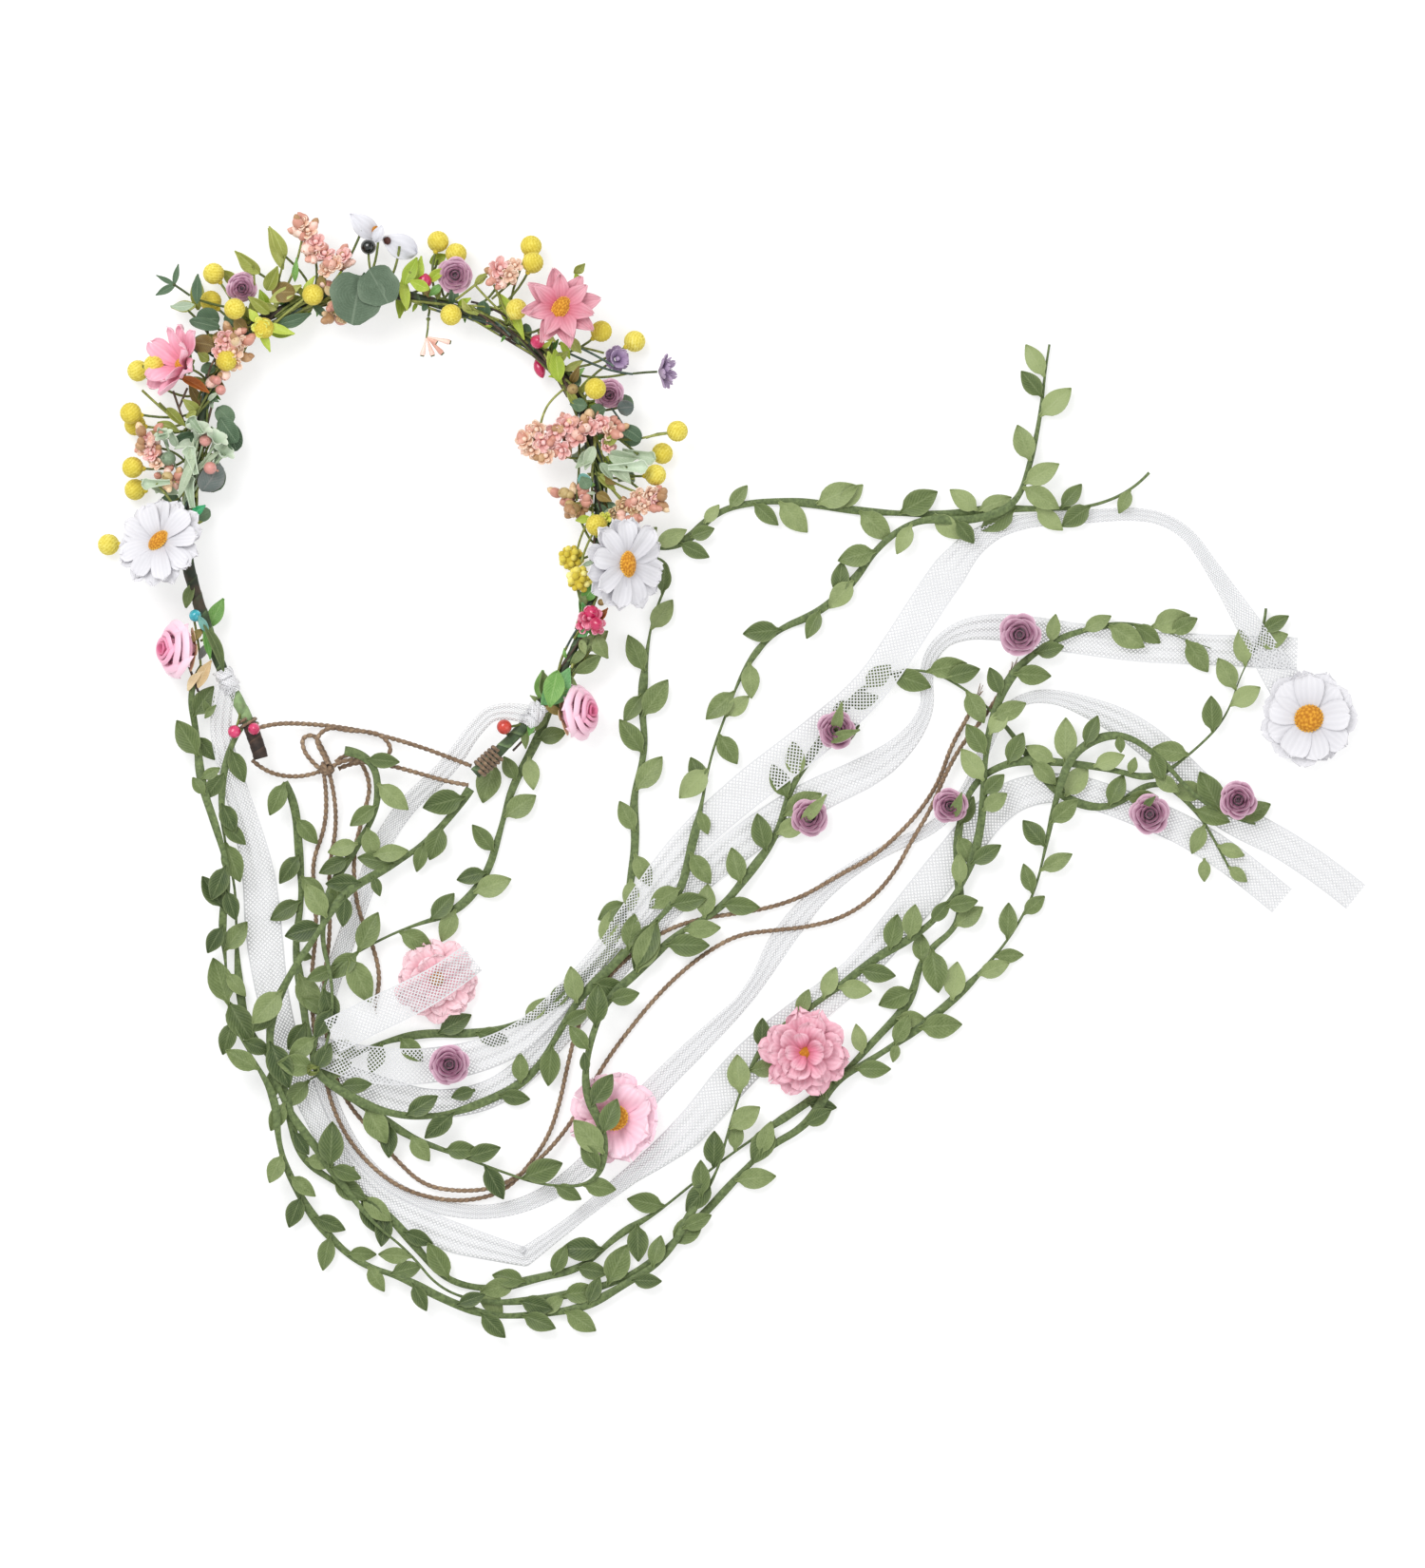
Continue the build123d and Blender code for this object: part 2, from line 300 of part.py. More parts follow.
# Flower heads that turn on a peg:
# name, x, y, z of the petal underside, tilt, lean heading, petal reach, petals, petal width, button radius
FLOWERS = [
    ('daisy_left', -98.8, -6.4, 25, 30, 140, 20, 13, 4.4, 5.2),
    ('daisy_right', 96.4, -15.6, 26, 36, -5, 20.8, 13, 4.4, 5.4),
    ('cosmos', 69.2, 91.6, 27, 14, 60, 17.8, 9, 5.6, 4.4),
    ('side_blossom', -88.4, 67.6, 19.5, 58, 155, 17.5, 8, 6, 3.4),
    ('blossom_1', 17.2, -190, 4, 0, 0, 20, 12, 6, 3.2), ('blossom_2', 92, -248.4, 7.67, 0, 0, 20, 12, 6, 5.4),
    ('blossom_3', 172, -220.8, 9.65, 0, 0, 20, 12, 6, 3.2),
    ('daisy_far', 384.4, -80.4, 4, 0, 0, 21.5, 16, 4.6, 6.4),
]

# Where each of the four crown flowers' calyx foot ends is set by CALYX_H below the petals.
CALYX_H = 3.8
PAD_R = 8.4           # felt pad glued under each trailing flower
PAD_T = 1.2
PETAL_T = 1.4

# Paper roses: x, y, z of the middle (crown) or underside (trail), radius
CROWN_ROSES = [
    (-64.8, 100.8, 17.12, 6.6), (24.8, 106, 16.07, 7.8), (89.6, 56, 17.12, 6.6),
]
TRAIL_ROSES = [
    (262.4, -45.2, 7.07, 9.2), (185.2, -85.2, 4.55, 8.2), (174, -122, 0.82, 8.2), (233.2, -117.2, 6.2, 7.6),
    (22.4, -226, 5.61, 8.7), (317.2, -120.8, 1.56, 8.7), (354.4, -114.8, 5.97, 8.2),
]
TRAIL_ROSE_H = 10.5
# Foam roses: x, y, z, radius, tilt, lean heading
FOAM_ROSES = [
    (-92.8, -51.2, 13.7, 12.3, 62, 178), (77.46, -77.86, 12.2, 11.8, 62, 8),
]
BERRIES = [
    (-76.8, 106.8, 9.77, 4.5), (-78, 95.2, 8.27, 4.5), (-67.6, 91.6, 24.02, 4.5), (-55.6, 83.6, 18.77, 4.5),
    (-34.8, 97.6, 20.27, 4.5), (-71.2, 70, 19.52, 4.5), (-108.8, 66, 4.52, 4.5), (-101.6, 68, 15.02, 4.5),
    (-111.6, 48, 14.27, 4.5), (-110, 43.2, 6.02, 4.5), (-110.8, 25.2, 12.02, 4.5), (-110, 16, 4.52, 4.5),
    (-121.2, -7.2, 4.52, 4.5), (17.6, 120.4, 4.52, 4.5), (25.2, 115.2, 6.77, 4.5), (56.8, 118.4, 8.27, 4.5),
    (57.6, 111.2, 15.02, 4.5), (50.8, 91.6, 18.02, 4.5), (23.2, 89.2, 19.52, 4.5), (86.4, 82.4, 14.27, 4.5),
    (100.4, 78.4, 4.52, 4.5), (84, 58, 27.77, 4.5), (112, 31.2, 4.52, 4.5), (109.2, 22, 12.77, 4.5),
    (84.4, 0.8, 20.27, 4.5), (73.6, -12.8, 4.52, 4.5), (77.2, -22, 15.77, 4.5),
]   # x, y, z, radius
PEACH_BUDS = [
    (-34.85, 126.49, 18.42, 1.82), (-38.67, 129.33, 16.37, 2.02), (-41.16, 127.8, 19.88, 1.78),
    (-41.68, 124.24, 14.91, 2.06), (-39.17, 122.26, 18.57, 1.97), (-35.81, 124.16, 14.7, 1.85),
    (-30.6, 117.82, 19.16, 1.81), (-34.96, 119.72, 13.86, 1.76), (-37.3, 118.14, 16.86, 1.76),
    (-37.22, 116.79, 20.82, 1.97), (-34.64, 112.97, 18.65, 2.05), (-31.81, 113.72, 14.94, 2.09),
    (-21.49, 115.46, 15.62, 2.02), (-22.53, 115.53, 11.64, 1.79), (-27.75, 113.11, 17.14, 2.04),
    (-27.2, 110.44, 20.92, 2.07), (-23.08, 109.83, 13.23, 1.88), (-20.53, 110.9, 16.12, 1.77),
    (-22.12, 90.78, 14.88, 2.03), (-26.35, 93, 18.55, 1.95), (-28.18, 88.63, 14.9, 2.05),
    (-27.78, 87.29, 19.28, 1.93), (-23.29, 87.27, 11.9, 2.05), (-66.03, 81.85, 17.03, 1.93),
    (-70.43, 82.91, 15.55, 1.95), (-73.55, 80.25, 13.87, 1.77), (-73.06, 78.32, 17.72, 1.87),
    (-67.99, 76.18, 18.49, 1.89), (-67.26, 77.96, 22.28, 1.93), (-62.19, 78.44, 17.87, 2.02),
    (-67.3, 78.11, 26.87, 2.02), (-67.69, 74.07, 7.18, 1.83), (-63.39, 71.49, 15.37, 1.77),
    (-101.32, 35.61, 14.62, 1.77), (-101.91, 36.79, 10.91, 1.81), (-107.47, 34.12, 18.56, 1.96),
    (-107.75, 32.95, 14.05, 1.95), (-102.47, 29.58, 13.45, 2.1), (-100.41, 31.6, 17.08, 1.98),
    (-91.15, 21.71, 18.48, 1.88), (-95.31, 25.07, 16.32, 1.97), (-98.53, 20.31, 14.02, 1.92),
    (-96.09, 17.92, 18.61, 2.01), (-93.02, 18.58, 14.75, 1.9), (47.74, 107.28, 14.79, 1.94),
    (45.68, 109.11, 11.65, 1.8), (40.93, 107.34, 16.45, 2.1), (41.18, 104.03, 19.35, 2),
    (44.64, 102.28, 17.72, 1.87), (47.45, 104.56, 11.69, 1.84), (59.23, 38.63, 13.16, 1.81),
    (56.52, 41.02, 17.81, 1.96), (53.21, 37.61, 17.16, 2.06), (54.78, 34.19, 14.03, 1.93),
    (59.82, 35.18, 15.62, 2.02), (66.49, 33.29, 17.17, 2.07), (59.36, 33.7, 11.13, 2.03),
    (61.14, 29.55, 18.35, 1.75), (73.44, 36.62, 17.8, 1.95), (68.43, 39.99, 16.23, 1.88),
    (65.87, 37.11, 19.21, 1.86), (67.12, 33.85, 12.5, 1.9), (71.58, 32.51, 13.98, 1.88),
    (75.25, 44.36, 18.57, 1.97), (71.51, 44.66, 16.1, 1.75), (68.85, 41.29, 20.67, 1.82),
    (72.79, 38.29, 13.95, 1.85), (76.04, 38.95, 20.81, 1.96), (85.63, 46.18, 15.46, 1.86),
    (81.37, 46.87, 16.9, 1.8), (79.36, 43.86, 18.42, 1.82), (80.13, 41.7, 22.38, 2.03),
    (84.89, 41.8, 15.45, 1.85), (94.83, 41.79, 17.85, 2), (91.42, 44.98, 15.67, 2.07),
    (86.83, 40.38, 12.35, 1.75), (89.6, 38.4, 15.48, 1.88), (92.37, 39.01, 20.11, 2.01),
    (74.83, 14.95, 13.29, 1.94), (67.18, 14.55, 14.64, 1.79), (79.21, 9.53, 14.76, 1.91),
    (71.84, 10.86, 14.1, 2), (72.98, 5.66, 17.13, 2.03), (77.58, 5.29, 15.63, 2.03),
    (111.96, 13.05, 18.48, 1.88), (110.36, 15.32, 14.13, 2.03), (105.56, 12.66, 15.69, 2.09),
    (106.28, 8.85, 13.23, 1.88), (108.61, 7.86, 18.44, 1.84), (112.06, 8.92, 16.21, 1.86),
    (100.7, 9.55, 14.82, 1.97), (98.57, 9.87, 18.53, 1.93), (96.05, 8.98, 14.72, 1.87),
    (94.69, 5.39, 18.66, 2.06), (97.98, 2.74, 20.06, 1.96), (100.76, 3.68, 16.31, 1.96),
    (-80.8, 36.8, 17.89, 2.04), (-78, 24.4, 16.23, 1.88), (79.97, 10.17, 19.31, 1.96),
    (72.67, 7.53, 21.63, 2.03), (78.8, 14.8, 15.69, 2.09), (-71.78, 64.03, 16.34, 1.99),
    (-77.35, 61, 16.91, 1.81), (-99.74, 41.37, 13.94, 1.84), (-107.17, 40.38, 17.02, 1.92),
    (-102.65, 36.87, 18.42, 1.82), (-24.08, 101.08, 16.92, 1.82), (-28.55, 101.66, 14.7, 1.85),
    (-30.84, 97.91, 7.16, 1.81), (-25.8, 94.02, 7.88, 1.78),
]
PINK_BUDS = [
    (-68, -86, 17.62, 2.6), (-59.6, -84.8, 17.42, 2.4), (82.4, -36, 18.02, 3), (84.4, -40.8, 21.57, 2.8),
    (59.6, 78, 17.82, 2.8), (60.4, 66.8, 7.87, 2.6), (12, 103.6, 15.77, 3),
]
RED_BUD = [
    (45.6, -84, 17.47, 3.2),
]
TURQUOISE_BEAD = [
    (-84.4, -37.2, 17.62, 2.6),
]
BLACK_BEAD = [
    (-11.6, 118, 12.32, 3.3),
]
LILAC = [
    (92.8, 70.8, 12.12, 4.6),
]

# Leaves: x, y, z of the middle, heading, length, width
EUCALYPTUS = [
    (-12.8, 98.4, 22.2, -95.5, 24.92, 23), (-79.2, 87.6, 13.2, 90, 9.6, 10), (-80.8, 76.8, 12.45, 90, 8.8, 10),
    (-72, 47.2, 11.7, 45, 7.92, 9), (-69.2, 38, 10.2, -75.1, 12.42, 9), (-77.6, 21, 8.7, -86.3, 12.43, 12),
    (96.6, 51.4, 7.95, -3.4, 6.81, 9), (99, 38, 8.7, -87.1, 8.01, 9), (-94.8, 10, 10.2, -116.6, 8.94, 9),
    (-81.4, 5.4, 5.7, -61.7, 5.91, 7),
]
OLIVE = [
    (-50.6, 117.2, 11.7, 108.8, 18.59, 5), (-63.2, 110.8, 10.2, 126.9, 12, 5),
    (-51.2, 104.4, 12.45, 80.5, 9.73, 5), (-46.4, 98.2, 17.7, 26.6, 15.21, 5.5),
    (-83.8, 98.8, 3.45, 91.6, 14.41, 6), (-89.6, 93, 7.2, -177.8, 10.41, 5), (-70, 105.2, 4.95, 135, 9.05, 5),
]
GREEN = [
    (-42.8, 89.2, 7.95, 26.6, 17.89, 8), (-48.2, 81.6, 10.2, -4.6, 10.03, 4), (2.2, 95, 7.95, -98.1, 14.14, 5),
    (6.2, 107.6, 19.95, -118.2, 12.71, 6), (67.8, 68, 17.7, -85, 13.65, 6.5),
    (47.4, 90.6, 7.95, 119.9, 15.23, 7), (10, 101.6, 21.45, -26.6, 8.94, 5), (76.6, 104, 14.7, 109.7, 5.95, 4),
    (80, -30.2, 7.95, 64.2, 12.88, 6), (66.4, -68, 20.7, 75.3, 15.72, 9), (61.2, -66.2, 7.95, 82.6, 12.5, 6),
    (-75.8, -36, 7.95, 60.5, 13.79, 6.5), (79.6, 18.6, 19.2, 30.3, 5.56, 6), (86.4, 2.8, 7.95, 131.2, 8.5, 7),
    (17.6, 113.2, 1.2, -156, 7.88, 5), (76.8, 51.4, 16.95, -9.5, 7.3, 6),
]
MINT = [
    (-84, 42.4, 20.7, -52.1, 9.12, 5.5), (-75.2, 38.8, 16.2, -48.8, 8.5, 6),
    (-74.8, 30.4, 16.95, -102.5, 7.38, 6), (-85.6, 28, 20.7, 104.9, 12.42, 6),
    (-86.6, 15, 17.7, 98.1, 14.14, 6), (-98, 16, 7.95, 159.4, 6.84, 5), (-98.4, 40, 16.95, 0, 4, 4),
    (78.6, 31.6, 7.95, 49.6, 10.5, 6), (97.6, 25.2, 19.95, 0, 16.8, 6), (102.2, 30.4, 10.2, -15.9, 14.56, 6),
    (96.8, 21, 10.2, 15.5, 7.47, 6), (-100.8, 18.4, 21.45, 3.8, 12.03, 5),
]
WHITE_BLOSSOM = [
    (-13.6, 126.8, 16.2, 141.3, 15.37, 11), (1.6, 118.4, 16.95, -20.2, 16.2, 13),
    (-7.2, 123.2, 22.2, 71.6, 7.59, 6),
]

# Floral stem wires, from inside the tape to inside what each carries
STEMS = [
    (-57.2, 88.97, 12.58, -62.02, 96.48, 15.46), (21.03, 95.01, 12.55, 22.75, 100.03, 14.16),
    (79.45, 51.21, 12.7, 85.06, 53.86, 15.14), (-61.62, 86.08, 11.85, -74.86, 104.15, 10.04),
    (-65.76, 82.52, 11.64, -75.75, 92.87, 8.89), (-61.97, 84.94, 13.46, -66.24, 90, 21.48),
    (-57.17, 85.81, 13.68, -56.5, 84.86, 15.86), (-34.14, 96, 13.83, -34.47, 96.81, 17.08),
    (-72.42, 70.69, 13.84, -71.89, 70.39, 16.32), (-83.27, 46.57, 11.59, -106.24, 64.05, 5.23),
    (-106.9, 66.53, 7.29, -103.5, 67.47, 12.25), (-84.16, 43.18, 12.14, -108.36, 47.43, 14.02),
    (-84.89, 38.84, 11.59, -106.82, 42.65, 6.73), (-87.2, 22.31, 12, -107.52, 24.8, 12.02),
    (-86.61, 24.89, 11.49, -107.03, 17.13, 5.41), (-90.01, -6.79, 11.58, -117.98, -7.16, 5.25),
    (11.61, 97.62, 11.46, 16.79, 117.34, 5.45), (13.83, 97, 11.58, 23.49, 112.47, 7.49),
    (41.54, 87.07, 11.81, 55.36, 115.45, 8.6), (44.72, 85.5, 12.19, 56.13, 108.26, 14.7),
    (46.97, 84.04, 12.97, 49.52, 89.07, 16.33), (24.25, 91.3, 13.76, 23.76, 90.32, 16.47),
    (69.35, 67.71, 12.18, 83.91, 80.25, 13.96), (74.07, 61.31, 11.58, 97.7, 76.65, 5.24),
    (76.82, 54.73, 13.66, 82.53, 57.33, 24.89), (86.22, 26.97, 11.51, 108.85, 30.68, 5.37),
    (87.09, 19.89, 12.06, 105.92, 21.69, 12.66), (85.19, 0.61, 13.88, 84.8, 0.7, 17),
    (83.29, -13.46, 10.95, 76.35, -12.99, 6.34), (82.32, -22.95, 12.91, 80.05, -22.53, 14.18),
    (-64.87, -78.97, 12.98, -67.51, -84.9, 16.9), (-60.29, -85.26, 13.85, -59.83, -84.95, 16.25),
    (81.43, -35.97, 13.85, 81.99, -35.99, 16.27), (80.67, -39.51, 13.7, 83.72, -40.57, 20.14),
    (58.28, 76.4, 13.7, 59.14, 77.45, 16.39), (62.82, 69.66, 10.82, 61.11, 67.64, 8.74),
    (10.67, 97.73, 12.83, 11.64, 102.02, 14.98), (52.36, -83.57, 13.04, 47.27, -83.89, 16.38),
    (-82.44, -36.74, 13.69, -83.78, -37.05, 16.37), (-11.45, 100.67, 12.03, -11.58, 115.9, 12.29),
    (75.05, 59.84, 12.01, 89.91, 69.01, 12.1), (-80.07, -47.07, 12.21, -82.31, -47.8, 12.47),
    (66.26, -70.79, 12.03, 68.5, -72.2, 12.06), (-43.86, 94.52, 12.29, -38.76, 124.54, 16.96),
    (-30.87, 98.13, 12.48, -34.2, 115.39, 17.08), (-38.7, 95.38, 12.29, -24.54, 111.65, 15.6),
    (-26.69, 95.27, 12.65, -25.83, 91.27, 14.15), (-68, 78.36, 13.8, -69.06, 79.14, 17.69),
    (-67.48, 76.95, 13.76, -66.36, 76.28, 16.9), (-85.99, 31.83, 12.32, -102.25, 33.79, 15.1),
    (-86.48, 24.77, 12.71, -93.82, 21.2, 15.99), (37.46, 88.93, 12.3, 44.14, 104.68, 15.08),
    (78.32, 44.17, 12.22, 58.28, 37.12, 14.68), (83.52, 21.55, 12.27, 64.32, 33.17, 15.49),
    (81.39, 34.03, 12.57, 70.44, 36.38, 16.08), (79.15, 42.67, 13.04, 73.29, 40.89, 17.07),
    (81.5, 43.25, 13.7, 82.51, 43.39, 15.75), (84.45, 34.16, 12.69, 89.29, 40.19, 15.71),
    (84, 2.65, 12.2, 72.19, 12.68, 13.88), (84.07, -14.48, 12.37, 76.12, 7.07, 16.86),
    (85.52, 28.18, 12.24, 108.17, 11.81, 15.88), (87.29, 6.68, 12.72, 97.02, 6.7, 16.73),
    (-82.59, 36.8, 13.74, -81.28, 36.8, 16.79), (-83.29, 25.28, 12.98, -79.01, 24.57, 15.61),
    (79.32, 44.57, 12.23, 76.1, 11.03, 16.3), (83.85, 12.66, 12.87, 79.27, 12.42, 15.22),
    (-76.04, 62.98, 13.68, -75.1, 62.68, 15.56), (-85.47, 35.37, 12.29, -101.39, 38.01, 14.8),
    (-31.3, 96.28, 12.31, -28.26, 97.19, 12.84), (-79.23, 58.56, 12.07, -79.2, 87.3, 13.19),
    (-76.28, 68.07, 12.07, -80.66, 76.53, 12.44), (-84.05, 26.32, 11.98, -72.15, 46.94, 11.7),
    (-84.9, 17.49, 11.88, -69.38, 37.76, 10.22), (-83.58, 21.83, 11.26, -77.87, 21.04, 8.82),
    (81.56, 46.23, 11.58, 96.32, 51.3, 8.02), (78.71, 51.01, 11.76, 98.75, 38.16, 8.74),
    (-87.76, 14.16, 11.66, -94.55, 10.15, 10.25), (-26.84, 98.51, 11.98, -50.36, 117.01, 11.7),
    (-42.29, 94.86, 11.88, -62.96, 110.62, 10.22), (-36.47, 96.25, 12.05, -50.94, 104.25, 12.44),
    (-73.49, 72.62, 11.48, -83.69, 98.53, 3.53), (-70.67, 77.14, 11.66, -89.37, 92.81, 7.25),
    (-58.68, 88.05, 11.43, -69.84, 104.96, 5.04), (-35.31, 94.21, 11.83, -47.99, 81.81, 10.23),
    (4.52, 98.85, 13.15, 6.16, 107.37, 19.77), (44.65, 85.3, 11.11, 47.28, 90.36, 8.09),
    (58.1, 77.79, 12.15, 76.43, 103.76, 14.68), (13.27, 97.01, 11.04, 17.53, 112.95, 1.35),
    (-81.13, 39.94, 12.91, -75.46, 38.85, 16.06), (-82.46, 31.39, 12.89, -75.06, 30.43, 16.81),
    (-85.21, 31.04, 11.65, -97.81, 16.22, 8.01), (-85, 37.93, 12.58, -98.12, 39.96, 16.86),
    (86.37, 24.2, 13, 97.35, 25.18, 19.79), (78.94, 50.02, 11.89, 101.97, 30.59, 10.22),
    (83.39, 36.59, 11.85, 96.6, 21.23, 10.22), (-88.58, 5.83, 12.84, -100.61, 18.21, 21.32),
    (-23.82, 99.25, 12.25, -13.7, 126.52, 16.16), (-0.75, 100.03, 12.45, 1.56, 118.11, 16.88),
    (-7.9, 100.49, 12.73, -7.21, 122.92, 22.08), (75.28, 59.29, 12.15, 97.71, 64.73, 13.98),
    (85.02, 34.02, 12.19, 102.91, 37.54, 13.97), (14.85, 92.94, 12, 13.69, 89.09, 12),
    (-58.76, 87.59, 12.13, -84.12, 95.91, 13.98), (-89.45, -7.64, 13.37, -97.27, -7.69, 21.54),
    (86.06, -14.58, 13.44, 94.06, -15.4, 22.76), (58.7, 77.06, 12.97, 68.72, 90.76, 23.12),
    (-78.7, 63.12, 12.98, -85.33, 66.17, 17.38),
]

# Wired sprays that bend where their stem leaves the crown: pivot and height
LILAC_SPRAY_Z = 14
BERRY_SPRAY_Z = 14
HANGING_SPRIG_Z = 12
EUCALYPTUS_TIP_Z = 14

BOW_KNOT = (-29.4, -101.6, 4.4)
BOW_KNOT_R = 4.0
BUNDLE_TIE = (-34.8, -228.4, 13.02)

STUB_AT = 0.012       # shares of the frame length
BINDING_AT = 0.985
LEFT_KNOT_AT = 0.0676
RIGHT_KNOT_AT = 0.933

os.makedirs("parts", exist_ok=True)


def save(piece, name):
    piece.label = name
    export_step(piece, f"parts/{name}.step")


def arc_radii(points):
    """One tangent radius for each corner, from the shorter of its two runs."""
    radii = []
    for a, b, c in zip(points, points[1:], points[2:]):
        u, v = Vector(*b) - Vector(*a), Vector(*c) - Vector(*b)
        turn = math.radians(u.get_angle(v))
        radii.append(RUN_SHARE * min(u.length, v.length) / math.tan(turn / 2))
    return radii


def lean(tilt, heading):
    t, a = math.radians(tilt), math.radians(heading)
    return Vector(math.sin(t) * math.cos(a), math.sin(t) * math.sin(a), math.cos(t))


def cord(name, points, radius):
    """A round tube on straight runs joined by tangent arcs."""
    radii = arc_radii(points)
    with BuildPart() as tube:
        with BuildLine() as route:
            FilletPolyline(*points, radius=radii)
        with BuildSketch(Plane(route.line @ 0, z_dir=route.line % 0)):
            Circle(radius)
        sweep(path=route.line)
    length = route.wire().length
    share = tube.part.volume / (math.pi * radius**2 * length)
    print(f"{name}: length {length:.0f}, tightest radius {min(radii):.1f}, volume share {share:.4f}")
    save(tube.part, name)


# ---- frame: wire core, floral tape, end wrappings ----
frame_radii = arc_radii(FRAME)
with BuildPart() as frame_wire:
    with BuildLine() as frame_route:
        FilletPolyline(*FRAME, radius=frame_radii)
    with BuildSketch(Plane(frame_route.line @ 0, z_dir=frame_route.line % 0)):
        Circle(WIRE_R)
    sweep(path=frame_route.line)
save(frame_wire.part, "frame_wire")

with BuildPart() as frame_tape:
    with BuildLine() as tape_route:
        FilletPolyline(*FRAME, radius=frame_radii)
    with BuildSketch(Plane(tape_route.line @ 0, z_dir=tape_route.line % 0)):
        Circle(TAPE_R)
        Circle(TAPE_IN_R, mode=Mode.SUBTRACT)
    sweep(path=tape_route.line)
print("frame length", round(tape_route.wire().length))
save(frame_tape.part, "frame_tape")


def collar(name, at, inner, outer, length):
    """A wrapping round the tape, centred at that share of the frame's length."""
    centre = frame_route.line @ at
    axis = frame_route.line % at
    with BuildPart() as wrap:
        with BuildSketch(Plane(centre - axis * (length / 2), z_dir=axis)):
            Circle(outer)
            Circle(inner, mode=Mode.SUBTRACT)
        extrude(amount=length)
        fillet(wrap.edges().filter_by(GeomType.CIRCLE).group_by(SortBy.RADIUS)[-1], (outer - inner) * 0.3)
    save(wrap.part, name)


collar("stub_tape", STUB_AT, TAPE_R + 0.16, TAPE_R + 0.75, STUB_TAPE_LEN)
collar("end_binding", BINDING_AT, TAPE_R + 0.06, TAPE_R + 1.1, BINDING_LEN)
collar("ribbon_knot_left", LEFT_KNOT_AT, TAPE_R + 0.25, KNOT_R, KNOT_LEN)
collar("ribbon_knot_right", RIGHT_KNOT_AT, TAPE_R + 0.25, KNOT_R, KNOT_LEN)

# ---- twine tie ----
for name, points in TWINE.items():
    cord(name, points, TWINE_R)

with BuildPart() as bow_knot:
    with Locations(BOW_KNOT):
        Sphere(BOW_KNOT_R)
save(bow_knot.part, "bow_knot")

# ---- leaf vines ----
for name, points in VINES.items():
    cord(name, points, VINE_R)

# the fine wire that gathers the strands, twisted off in a small knot on top
with BuildPart() as bundle_tie:
    with BuildSketch(Plane.XY.offset(BUNDLE_TIE[2] + 0.1)):
        with Locations((BUNDLE_TIE[0], BUNDLE_TIE[1])):
            Ellipse(3.0, 2.2)
    extrude(amount=2.6)
    fillet(bundle_tie.edges().group_by(Axis.Z)[-1], 1.0)
save(bundle_tie.part, "bundle_tie")

# ---- mesh ribbons ----
for name, runs in RIBBONS.items():
    strips = []
    for run in runs:
        with BuildPart() as strip:
            for x, y, z, width, heading in run:
                along = lean(90, heading)
                with BuildSketch(Plane((x, y, z + RIBBON_T / 2), x_dir=lean(90, heading + 90), z_dir=along)):
                    Rectangle(width, RIBBON_T)
            loft(ruled=True)
        strips.append(strip.part)
    save(Compound(children=strips) if len(strips) > 1 else strips[0], name)

# ---- flower heads: petals that turn on a peg ----
buttons, calyxes = [], []
for name, x, y, z, tilt, heading, reach, count, petal_width, button_r in FLOWERS:
    up = lean(tilt, heading)
    face = Plane((x, y, z), z_dir=up)
    with BuildPart() as petals:
        with BuildSketch(face):
            Circle(reach * 0.45)
            with PolarLocations(reach * 0.62, count):
                Ellipse(reach * 0.38, petal_width / 2)
            Circle(PETAL_BORE_R, mode=Mode.SUBTRACT)
        extrude(amount=PETAL_T)
    save(petals.part, name + "_petals")
    with BuildPart() as button:
        with BuildSketch(face.offset(PETAL_T + 0.2)):
            Circle(button_r)
        extrude(amount=2.8)
        fillet(button.edges().sort_by(lambda e: (e.center() - face.origin).dot(face.z_dir))[-1], 2.0)
        with BuildSketch(face.offset(PETAL_T + 0.3)):
            Circle(PEG_R)
        extrude(amount=-(PETAL_T + 0.3 + 2.4))
    buttons.append(button.part)
    on_table = tilt == 0
    with BuildPart() as calyx:
        if on_table:
            with BuildSketch(face.offset(-4.0)):
                Circle(PAD_R)
            extrude(amount=PAD_T)
            with BuildSketch(face.offset(-4.0 + PAD_T)):
                Circle(3.0)
            extrude(amount=4.0 - PAD_T - 0.2)
        else:
            with BuildSketch(face.offset(-0.2)):
                Circle(3.4)
            with BuildSketch(face.offset(-CALYX_H)):
                Circle(1.5)
            loft()
        with BuildSketch(face.offset(-0.2)):
            Circle(PEG_R + 0.02)
        extrude(amount=-2.4, mode=Mode.SUBTRACT)
    calyxes.append(calyx.part)
save(Compound(children=buttons), "flower_buttons")
save(Compound(children=calyxes), "flower_calyxes")


# ---- roses ----
def rose_profile(r, low, high):
    """Rolled petals: rings of petal edges round a folded middle."""
    h = high - low
    return [
        (0, low), (0.5 * r, low), (0.86 * r, low + 0.28 * h), (0.97 * r, low + 0.58 * h), (0.84 * r, low + 0.9 * h),
        (0.7 * r, low + 0.8 * h), (0.62 * r, low + 0.97 * h), (0.48 * r, low + 0.84 * h), (0.4 * r, high),
        (0.26 * r, low + 0.88 * h), (0.14 * r, low + 0.98 * h), (0, low + 0.93 * h),
    ]


def rose(centre, direction, r, low, high):
    plane = Plane(centre, z_dir=direction)
    with BuildPart() as head:
        with BuildSketch(Plane(plane.origin, x_dir=plane.x_dir, z_dir=-plane.y_dir)):
            with BuildLine():
                Polyline(*rose_profile(r, low, high), close=True)
            make_face()
        revolve(axis=Axis(plane.origin, plane.z_dir))
    return head.part


